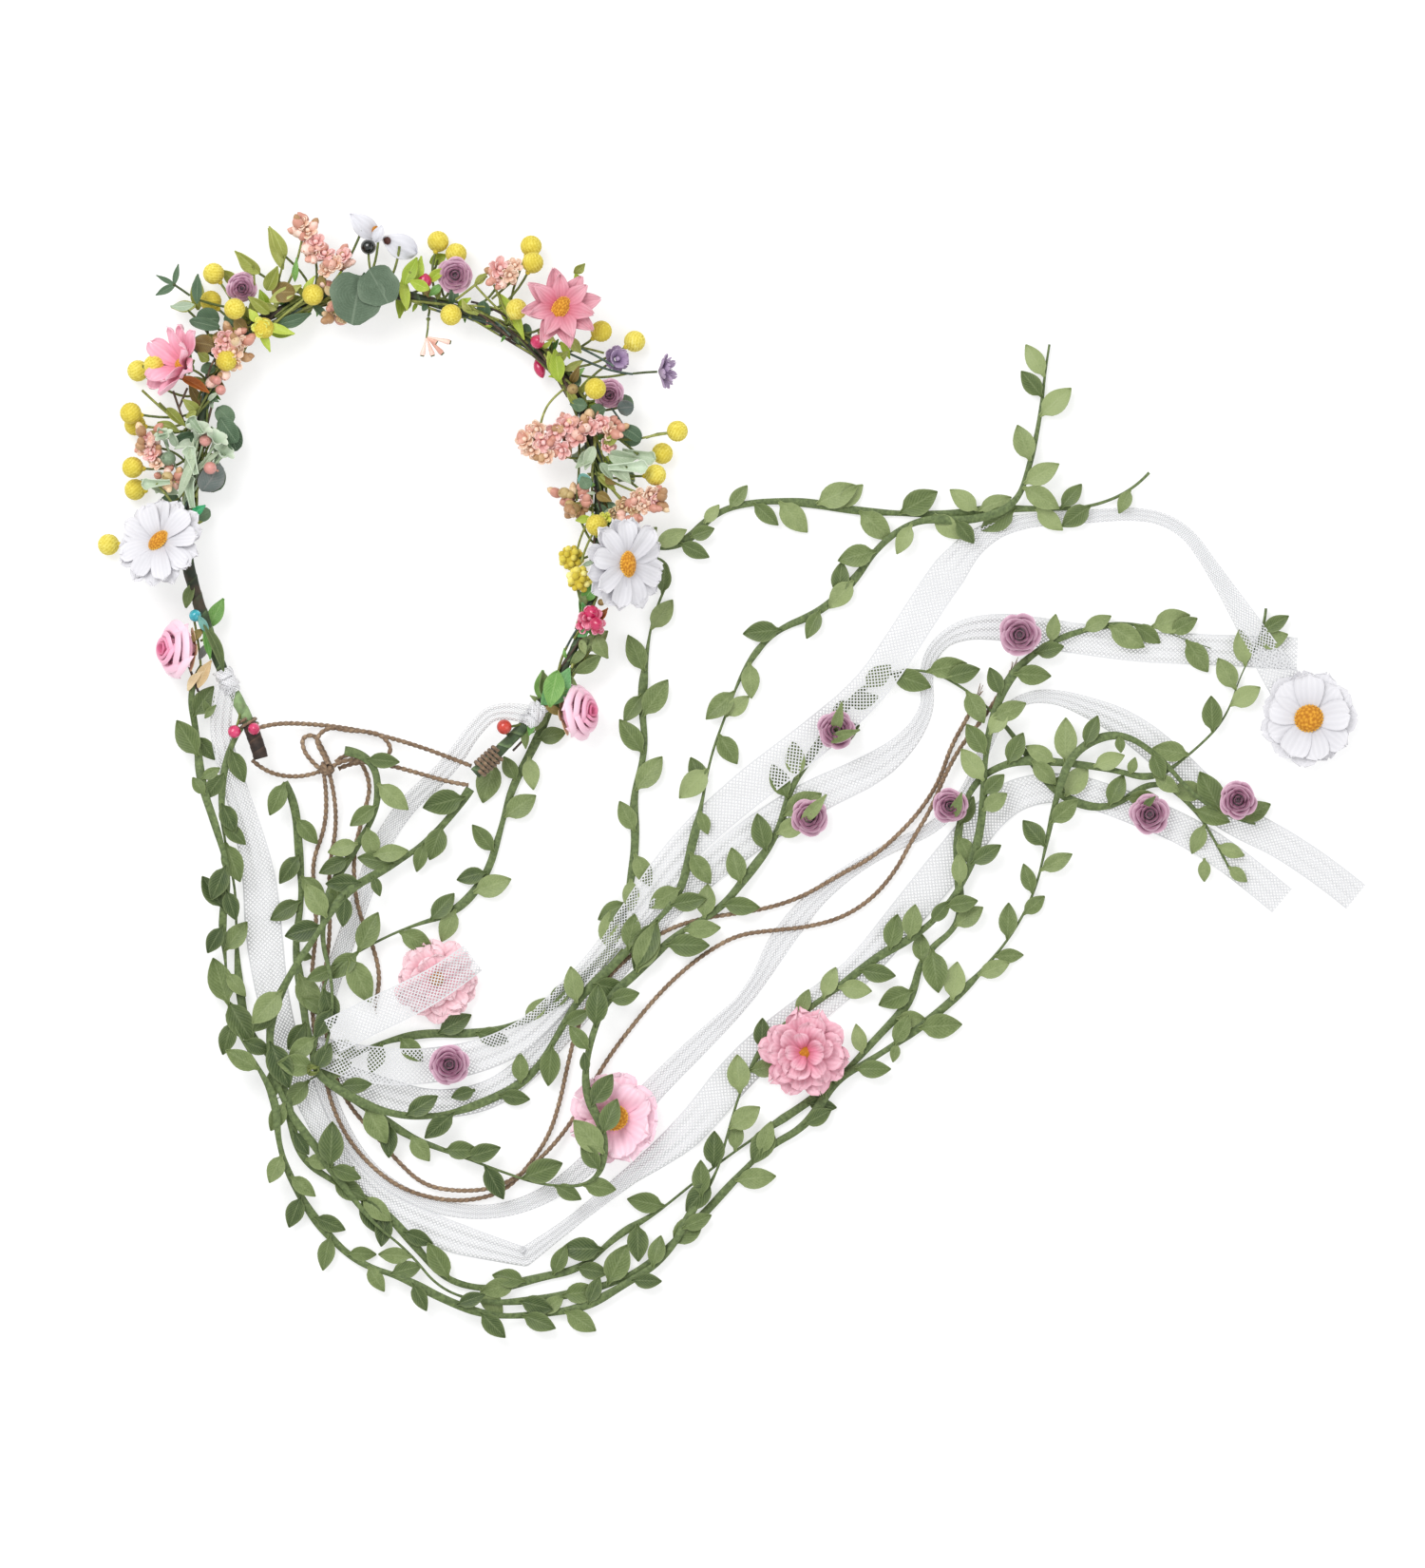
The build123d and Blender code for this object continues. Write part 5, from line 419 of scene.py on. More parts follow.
FLOWERS = [('daisy_left', -98.8, -6.4, 25.0, 30, 140, 20, 13, 4.4, 5.2), ('daisy_right', 96.4, -15.6, 26.0, 36, -5, 20.8, 13, 4.4, 5.4), ('cosmos', 69.2, 91.6, 27.0, 14, 60, 17.8, 9, 5.6, 4.4), ('side_blossom', -88.4, 67.6, 19.5, 58, 155, 17.5, 8, 6.0, 3.4), ('blossom_1', 17.2, -190.0, 4.0, 0, 0, 20, 12, 6, 3.2), ('blossom_2', 92.0, -248.4, 7.67, 0, 0, 20, 12, 6, 5.4), ('blossom_3', 172.0, -220.8, 9.65, 0, 0, 20, 12, 6, 3.2), ('daisy_far', 384.4, -80.4, 4.0, 0, 0, 21.5, 16, 4.6, 6.4)]
TRAIL_ROSES = [
    (262.4, -45.2, 7.07, 9.2), (185.2, -85.2, 4.55, 8.2), (174, -122, 0.82, 8.2), (233.2, -117.2, 6.2, 7.6),
    (22.4, -226, 5.61, 8.7), (317.2, -120.8, 1.56, 8.7), (354.4, -114.8, 5.97, 8.2),
]
CROWN_ROSES = [
    (-64.8, 100.8, 17.12, 6.6), (24.8, 106, 16.07, 7.8), (89.6, 56, 17.12, 6.6),
]
FOAM_ROSES = [
    (-92.8, -51.2, 13.7, 12.3, 62, 178), (77.46, -77.86, 12.2, 11.8, 62, 8),
]
SLOT_OF = {"red_bud": "red_bud", "turquoise_bead": "turquoise", "black_bead": "black"}
MM = 0.001


# ------------------------------------------------------------------ mesh helpers
class Mesh:
    """Gathers closed pieces, in metres, with a UV map and a tint for each point."""

    def __init__(self):
        self.co, self.faces, self.uv, self.tint, self.slots = [], [], [], [], []

    def grid(self, P, uv=None, closed_u=False, closed_v=False, slot=0, tint=0.5, flip=False):
        """An open or wrapped grid of points P[i][j]."""
        P = np.asarray(P, float)
        nu, nv = P.shape[:2]
        base = len(self.co)
        self.co.extend(P.reshape(-1, 3).tolist())
        if uv is None:
            uu, vv = np.meshgrid(np.linspace(0, 1, nu), np.linspace(0, 1, nv), indexing="ij")
            uv = np.stack([uu, vv], -1)
        self.uv.extend(np.asarray(uv, float).reshape(-1, 2).tolist())
        self.tint.extend([float(tint)] * (nu * nv))
        for i in range(nu if closed_u else nu - 1):
            for j in range(nv if closed_v else nv - 1):
                a = base + i * nv + j
                b = base + i * nv + (j + 1) % nv
                c = base + ((i + 1) % nu) * nv + (j + 1) % nv
                d = base + ((i + 1) % nu) * nv + j
                self.faces.append((a, b, c, d) if not flip else (a, d, c, b))
                self.slots.append(slot)
        return base

    def leaf(self, P, thick, slot=0, tint=0.5, uv=None):
        """A thin closed sheet whose middle surface is the grid P[i][j]."""
        P = np.asarray(P, float)
        nu, nv = P.shape[:2]
        du = np.gradient(P, axis=0)
        dv = np.gradient(P, axis=1)
        n = np.cross(du, dv)
        ln = np.linalg.norm(n, axis=2, keepdims=True)
        mean = n.reshape(-1, 3).sum(0)
        mean = mean / (np.linalg.norm(mean) + 1e-12)
        n = np.where(ln > 1e-12, n / np.maximum(ln, 1e-12), mean)
        top, low = P + n * thick / 2, P - n * thick / 2
        a = self.grid(top, uv, slot=slot, tint=tint)
        b = self.grid(low, uv, slot=slot, tint=tint, flip=True)
        edge = [(i, 0) for i in range(nu)] + [(nu - 1, j) for j in range(1, nv)]
        edge += [(i, nv - 1) for i in range(nu - 2, -1, -1)] + [(0, j) for j in range(nv - 2, 0, -1)]
        for k in range(len(edge)):
            (i, j), (p, q) = edge[k], edge[(k + 1) % len(edge)]
            self.faces.append((a + i * nv + j, a + p * nv + q, b + p * nv + q, b + i * nv + j))
            self.slots.append(slot)

    def ball(self, centre, radii, frame_=None, nu=8, nv=10, slot=0, tint=0.5, shape=None):
        """A closed round body. shape(t) scales the radius from pole to pole."""
        c = np.asarray(centre, float)
        X, Y, Z = frame_ if frame_ is not None else np.eye(3)
        rx, ry, rz = radii if hasattr(radii, "__len__") else (radii, radii, radii)
        base = len(self.co)
        self.co.append((c - Z * rz).tolist())
        self.uv.append((0, 0))
        self.tint.append(tint)
        for i in range(1, nu):
            t = math.pi * i / nu
            k = shape(i / nu) if shape else 1.0
            for j in range(nv):
                a = 2 * math.pi * j / nv
                p = c + X * (rx * k * math.sin(t) * math.cos(a)) + Y * (ry * k * math.sin(t) * math.sin(a)) - Z * (rz * math.cos(t))
                self.co.append(p.tolist())
                self.uv.append((i / nu, j / nv))
                self.tint.append(tint)
        self.co.append((c + Z * rz).tolist())
        self.uv.append((1, 0))
        self.tint.append(tint)
        end = len(self.co) - 1
        for j in range(nv):
            q = (j + 1) % nv
            self.faces.append((base, base + 1 + q, base + 1 + j))
            self.slots.append(slot)
            for i in range(nu - 2):
                a = base + 1 + i * nv
                self.faces.append((a + j, a + q, a + nv + q, a + nv + j))
                self.slots.append(slot)
            a = base + 1 + (nu - 2) * nv
            self.faces.append((a + j, a + q, end))
            self.slots.append(slot)

    def tube(self, path, radius, sides=8, slot=0, tint=0.5, profile=None, wide=None, up=None, uv_len=None):
        """A closed tube along path. radius is a number or one for each point; profile(angle, s) scales it;
        wide = (half width, half height) lists make a flat strip instead."""
        path = np.asarray(path, float)
        n = len(path)
        tan = np.gradient(path, axis=0)
        tan /= np.linalg.norm(tan, axis=1)[:, None] + 1e-15
        s = np.r_[0, np.cumsum(np.linalg.norm(np.diff(path, axis=0), axis=1))]
        if up is None:
            side = np.zeros_like(path)
            ref = np.array([0, 0, 1.0]) if abs(tan[0][2]) < 0.9 else np.array([1.0, 0, 0])
            prev = np.cross(tan[0], ref)
            prev /= np.linalg.norm(prev)
            for i in range(n):
                prev = prev - tan[i] * (prev @ tan[i])
                prev /= np.linalg.norm(prev)
                side[i] = prev
        else:
            side = np.cross(tan, np.broadcast_to(np.asarray(up, float), path.shape))
            side /= np.linalg.norm(side, axis=1)[:, None] + 1e-15
        nor = np.cross(side, tan)
        r = np.broadcast_to(np.asarray(radius, float), (n,))
        ang = np.linspace(0, 2 * math.pi, sides, endpoint=False)
        P = np.zeros((n, sides, 3))
        for i in range(n):
            if wide is not None:
                a, b = wide[0][i], wide[1][i]
                x = np.sign(np.cos(ang)) * np.abs(np.cos(ang)) ** 0.7 * a
                y = np.sign(np.sin(ang)) * np.abs(np.sin(ang)) ** 0.7 * b
            else:
                k = profile(ang, s[i]) if profile else (ang, np.ones(sides))
                x, y = r[i] * k[1] * np.cos(k[0]), r[i] * k[1] * np.sin(k[0])
            P[i] = path[i] + side[i] * x[:, None] + nor[i] * y[:, None]
        uu = s[:, None] / (uv_len or 1.0) * np.ones((1, sides))
        vv = np.ones((n, 1)) * (np.arange(sides) / sides)[None]
        base = self.grid(P, np.stack([uu, vv], -1), closed_v=True, slot=slot, tint=tint, flip=True)
        for end, row, turn in ((0, 0, False), (n - 1, n - 1, True)):
            ring = [base + row * sides + j for j in range(sides)]
            self.faces.append(tuple(ring if not turn else ring[::-1]))
            self.slots.append(slot)

    def make(self, name, materials, body="crown", smooth=True, slot=None, replaces=()):
        me = bpy.data.meshes.new(name)
        me.from_pydata(self.co, [], self.faces)
        me.materials.clear()
        for m in materials:
            me.materials.append(m)
        me.polygons.foreach_set("material_index", np.array(self.slots, np.int32))
        if smooth:
            me.polygons.foreach_set("use_smooth", np.ones(len(self.faces), bool))
        uv = me.uv_layers.new(name="uv")
        loops = np.zeros(len(me.loops), np.int32)
        me.loops.foreach_get("vertex_index", loops)
        uv.data.foreach_set("uv", np.array(self.uv, np.float32)[loops].ravel())
        t = me.attributes.new("tint", "FLOAT", "POINT")
        t.data.foreach_set("value", np.array(self.tint, np.float32))
        me.update()
        me.validate()
        me.set_sharp_from_angle(angle=math.radians(68))
        ob = bpy.data.objects.new(name, me)
        bpy.context.scene.collection.objects.link(ob)
        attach(ob, body)
        if replaces:
            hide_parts(*replaces)
        return ob


def line_of(route, resolution=16):
    """Points along the NURBS line through this route's control points, in metres."""
    cu = bpy.data.curves.new("line", "CURVE")
    cu.dimensions = "3D"
    cu.resolution_u = resolution
    sp = cu.splines.new("NURBS")
    sp.points.add(len(route) - 1)
    for p, q in zip(sp.points, route):
        p.co = (q[0] * MM, q[1] * MM, q[2] * MM, 1.0)
    sp.order_u = 3
    sp.use_endpoint_u = True
    ob = bpy.data.objects.new("line", cu)
    bpy.context.scene.collection.objects.link(ob)
    me = bpy.data.meshes.new_from_object(ob)
    pts = np.array([v.co[:] for v in me.vertices], float)
    bpy.data.objects.remove(ob)
    bpy.data.curves.remove(cu)
    bpy.data.meshes.remove(me)
    return pts


def length_of(P):
    return float(np.linalg.norm(np.diff(P, axis=0), axis=1).sum())


def unit(v):
    v = np.asarray(v, float)
    return v / (np.linalg.norm(v) + 1e-15)


def frame_to(z, x_hint=(1, 0, 0)):
    z = unit(z)
    x = np.asarray(x_hint, float) - z * (np.asarray(x_hint, float) @ z)
    if np.linalg.norm(x) < 1e-6:
        x = np.array([0, 1.0, 0]) - z * z[1]
    x = unit(x)
    return x, np.cross(z, x), z


# ------------------------------------------------------------------ materials
def material(name, build):
    m = bpy.data.materials.new(name)
    m.use_nodes = True
    nt = m.node_tree
    bsdf = nt.nodes["Principled BSDF"]
    build(m, nt, bsdf)
    return m


def node(nt, kind, **values):
    n = nt.nodes.new(kind)
    for k, v in values.items():
        if k.startswith("in_"):
            n.inputs[k[3:].replace("_", " ")].default_value = v
        else:
            setattr(n, k, v)
    return n


def ramp(nt, stops, interpolation="LINEAR"):
    n = nt.nodes.new("ShaderNodeValToRGB")
    n.color_ramp.interpolation = interpolation
    el = n.color_ramp.elements
    while len(el) < len(stops):
        el.new(0.5)
    for e, (p, c) in zip(el, stops):
        e.position = p
        e.color = (*c, 1.0) if len(c) == 3 else c
    return n


def hexa(h):
    """sRGB hex to linear."""
    v = [int(h[i:i + 2], 16) / 255 for i in (0, 2, 4)]
    return tuple(x / 12.92 if x <= 0.04045 else ((x + 0.055) / 1.055) ** 2.4 for x in v)


def noise(nt, scale, detail=3.0, rough=0.6, coord="Object", stretch=None):
    tc = nt.nodes.new("ShaderNodeTexCoord")
    n = nt.nodes.new("ShaderNodeTexNoise")
    n.inputs["Scale"].default_value = scale
    n.inputs["Detail"].default_value = detail
    n.inputs["Roughness"].default_value = rough
    src = tc.outputs[coord]
    if stretch:
        mp = nt.nodes.new("ShaderNodeMapping")
        mp.inputs["Scale"].default_value = stretch
        nt.links.new(src, mp.inputs["Vector"])
        src = mp.outputs["Vector"]
    nt.links.new(src, n.inputs["Vector"])
    return n


def mix(nt, fac, a, b, kind="MIX"):
    m = nt.nodes.new("ShaderNodeMix")
    m.data_type = "RGBA"
    m.blend_type = kind
    for sock, val in ((m.inputs[0], fac), (m.inputs[6], a), (m.inputs[7], b)):
        if isinstance(val, (int, float)):
            sock.default_value = val
        elif isinstance(val, tuple):
            sock.default_value = (*val, 1.0) if len(val) == 3 else val
        else:
            nt.links.new(val, sock)
    return m.outputs[2]


def mathn(nt, op, a, b=0.0, clamp=False):
    m = nt.nodes.new("ShaderNodeMath")
    m.operation = op
    m.use_clamp = clamp
    for sock, val in ((m.inputs[0], a), (m.inputs[1], b)):
        if isinstance(val, (int, float)):
            sock.default_value = val
        else:
            nt.links.new(val, sock)
    return m.outputs[0]


def bump(nt, bsdf, height, strength=0.3, distance=0.0004):
    b = nt.nodes.new("ShaderNodeBump")
    b.inputs["Strength"].default_value = strength
    b.inputs["Distance"].default_value = distance
    nt.links.new(height, b.inputs["Height"])
    nt.links.new(b.outputs["Normal"], bsdf.inputs["Normal"])


def uv_parts(nt):
    tc = nt.nodes.new("ShaderNodeUVMap")
    tc.uv_map = "uv"
    sep = nt.nodes.new("ShaderNodeSeparateXYZ")
    nt.links.new(tc.outputs["UV"], sep.inputs[0])
    return sep.outputs["X"], sep.outputs["Y"]


def tint_of(nt):
    a = nt.nodes.new("ShaderNodeAttribute")
    a.attribute_name = "tint"
    return a.outputs["Fac"]


def leafy(name, dark, mid, light, vein=None, rough=0.55, vein_w=0.06, sheen=0.0, side_veins=5.0, vein_amt=0.40, side_amt=0.22, drift=0.0):
    """Leaf cloth or plastic: mottled green by the tint of each leaf, a midrib and faint side veins."""
    def build(m, nt, b):
        u, v = uv_parts(nt)
        n1 = noise(nt, 260.0, 4.0)
        t = mathn(nt, "ADD", mathn(nt, "MULTIPLY", tint_of(nt), 0.75), mathn(nt, "MULTIPLY", n1.outputs["Fac"], 0.35))
        n5 = noise(nt, 1500.0, 3.0)
        t = mathn(nt, "ADD", t, mathn(nt, "MULTIPLY", mathn(nt, "SUBTRACT", n5.outputs["Fac"], 0.5), 0.45))
        if drift:
            # darker towards the gathered strands, paler towards the loose ends
            co = nt.nodes.new("ShaderNodeTexCoord")
            xyz = nt.nodes.new("ShaderNodeSeparateXYZ")
            nt.links.new(co.outputs["Object"], xyz.inputs[0])
            far = mathn(nt, "ADD", xyz.outputs[0], xyz.outputs[1])
            far = mathn(nt, "MAXIMUM", mathn(nt, "MINIMUM", mathn(nt, "MULTIPLY", mathn(nt, "ADD", far, 0.06), drift), 0.07), -0.18)
            t = mathn(nt, "ADD", t, far)
        r = ramp(nt, [(0.08, dark), (0.5, mid), (0.95, light)])
        nt.links.new(t, r.inputs[0])
        d = mathn(nt, "ABSOLUTE", mathn(nt, "SUBTRACT", v, 0.5))
        rib = mathn(nt, "SUBTRACT", 1.0, mathn(nt, "DIVIDE", d, vein_w), clamp=True)
        w = mathn(nt, "SINE", mathn(nt, "ADD", mathn(nt, "MULTIPLY", u, side_veins * 6.283), mathn(nt, "MULTIPLY", d, -22.0)))
        side = mathn(nt, "MULTIPLY", mathn(nt, "POWER", mathn(nt, "ABSOLUTE", w), 8.0), side_amt)
        edge = mathn(nt, "POWER", mathn(nt, "MULTIPLY", d, 2.0), 5.0)
        c = mix(nt, mathn(nt, "MULTIPLY", rib, vein_amt), r.outputs[0], vein or light)
        c = mix(nt, side, c, vein or light)
        c = mix(nt, mathn(nt, "MULTIPLY", edge, 0.35), c, light)
        nt.links.new(c, b.inputs["Base Color"])
        n2 = noise(nt, 2600.0, 2.0)
        h = mathn(nt, "ADD", mathn(nt, "MULTIPLY", n2.outputs["Fac"], 0.35), mathn(nt, "MULTIPLY", rib, -0.8))
        bump(nt, b, h, 0.35, 0.0003)
        rr = mathn(nt, "ADD", mathn(nt, "MULTIPLY", n1.outputs["Fac"], 0.2), rough - 0.1)
        nt.links.new(rr, b.inputs["Roughness"])
        b.inputs["Sheen Weight"].default_value = sheen
        b.inputs["Specular IOR Level"].default_value = 0.35
    return material(name, build)


def petal_mat(name, base, mid, tip, groove=0.18, rough=0.7, weave=4200.0, trans=0.0, by_tint=0.25, shine=0.5):
    """Pressed cloth petals: colour runs from the middle of the flower to the petal tip, with fine grooves darkened as
    painted shade.
    """
    def build(m, nt, b):
        u, v = uv_parts(nt)
        n1 = noise(nt, 180.0, 3.0)
        t = mathn(nt, "ADD", u, mathn(nt, "MULTIPLY", mathn(nt, "SUBTRACT", n1.outputs["Fac"], 0.5), 0.35))
        r = ramp(nt, [(0.05, base), (0.45, mid), (0.95, tip)])
        nt.links.new(t, r.inputs[0])
        g = mathn(nt, "POWER", mathn(nt, "ABSOLUTE", mathn(nt, "SINE", mathn(nt, "MULTIPLY", v, 15.7))), 3.0)
        # painted shade: the grooves between the petal ridges are mixed towards a darker copy of the base colour
        dark = tuple(x * 0.72 for x in base)
        c = mix(nt, mathn(nt, "MULTIPLY", mathn(nt, "SUBTRACT", 1.0, g), groove), r.outputs[0], dark)
        c = mix(nt, mathn(nt, "MULTIPLY", tint_of(nt), by_tint), c, tip)
        nt.links.new(c, b.inputs["Base Color"])
        n2 = noise(nt, weave, 2.0)
        bump(nt, b, mathn(nt, "ADD", mathn(nt, "MULTIPLY", n2.outputs["Fac"], 0.3), mathn(nt, "MULTIPLY", g, 0.6)), 0.3, 0.0003)
        b.inputs["Roughness"].default_value = rough
        b.inputs["Sheen Weight"].default_value = 0.25
        b.inputs["Specular IOR Level"].default_value = shine
        b.inputs["Subsurface Weight"].default_value = trans
        b.inputs["Subsurface Radius"].default_value = (0.002, 0.0015, 0.0015)
        b.inputs["Subsurface Scale"].default_value = 0.5
    return material(name, build)


def speckled(name, dark, mid, light, scale=900.0, rough=0.7, strength=0.5, sheen=0.15, tint_amount=0.4, coat=0.0, fine=None):
    def build(m, nt, b):
        n1 = noise(nt, scale, 4.0, 0.65)
        t = mathn(nt, "ADD", mathn(nt, "MULTIPLY", n1.outputs["Fac"], 1.0 - tint_amount * 0.5), mathn(nt, "MULTIPLY", mathn(nt, "SUBTRACT", tint_of(nt), 0.5), tint_amount))
        r = ramp(nt, [(0.28, dark), (0.5, mid), (0.72, light)])
        nt.links.new(t, r.inputs[0])
        nt.links.new(r.outputs[0], b.inputs["Base Color"])
        n2 = noise(nt, fine or scale * 3, 3.0)
        bump(nt, b, n2.outputs["Fac"], strength, 0.0003)
        b.inputs["Roughness"].default_value = rough
        b.inputs["Sheen Weight"].default_value = sheen
        b.inputs["Coat Weight"].default_value = coat
        b.inputs["Coat Roughness"].default_value = 0.2
    return material(name, build)


def twine_mat(name):
    def build(m, nt, b):
        u, v = uv_parts(nt)
        n1 = noise(nt, 700.0, 4.0, 0.7)
        n2 = noise(nt, 90.0, 2.0)
        t = mathn(nt, "ADD", mathn(nt, "MULTIPLY", n1.outputs["Fac"], 0.7), mathn(nt, "MULTIPLY", n2.outputs["Fac"], 0.3))
        r = ramp(nt, [(0.3, hexa("5a4636")), (0.5, hexa("8d745b")), (0.7, hexa("b9a083"))])
        nt.links.new(t, r.inputs[0])
        groove = mathn(nt, "POWER", mathn(nt, "ABSOLUTE", mathn(nt, "SINE", mathn(nt, "MULTIPLY", v, 6.283))), 0.6)
        c = mix(nt, mathn(nt, "MULTIPLY", mathn(nt, "SUBTRACT", 1.0, groove), 0.6), r.outputs[0], hexa("4a382b"))
        nt.links.new(c, b.inputs["Base Color"])
        n3 = noise(nt, 3500.0, 3.0)
        bump(nt, b, n3.outputs["Fac"], 0.6, 0.0003)
        b.inputs["Roughness"].default_value = 0.9
        b.inputs["Sheen Weight"].default_value = 0.2
    return material(name, build)


def net_mat(name, pitch=0.00185, line=0.36, base=(0.66, 0.665, 0.68)):
    """Open net: diagonal threads and a dense edge; UV is in metres along and across, x across in the second channel."""
    def build(m, nt, b):
        u, v = uv_parts(nt)
        k = 1.0 / pitch
        p = mathn(nt, "MULTIPLY", mathn(nt, "ADD", u, v), k)
        q = mathn(nt, "MULTIPLY", mathn(nt, "SUBTRACT", u, v), k)
        def thread(x):
            f = mathn(nt, "ABSOLUTE", mathn(nt, "SUBTRACT", mathn(nt, "FRACT", x), 0.5))
            return mathn(nt, "GREATER_THAN", f, 0.5 - line / 2)
        a = mathn(nt, "MAXIMUM", thread(p), thread(q))
        edge = mathn(nt, "GREATER_THAN", tint_of(nt), 0.92)
        a = mathn(nt, "MAXIMUM", a, mathn(nt, "MULTIPLY", edge, 0.9))
        nt.links.new(a, b.inputs["Alpha"])
        n1 = noise(nt, 1500.0, 2.0)
        c = mix(nt, mathn(nt, "MULTIPLY", n1.outputs["Fac"], 0.35), base, tuple(x * 0.86 for x in base))
        nt.links.new(c, b.inputs["Base Color"])
        bump(nt, b, n1.outputs["Fac"], 0.3, 0.0002)
        b.inputs["Roughness"].default_value = 0.85
        b.inputs["Sheen Weight"].default_value = 0.2
        m.surface_render_method = "DITHERED"
    return material(name, build)


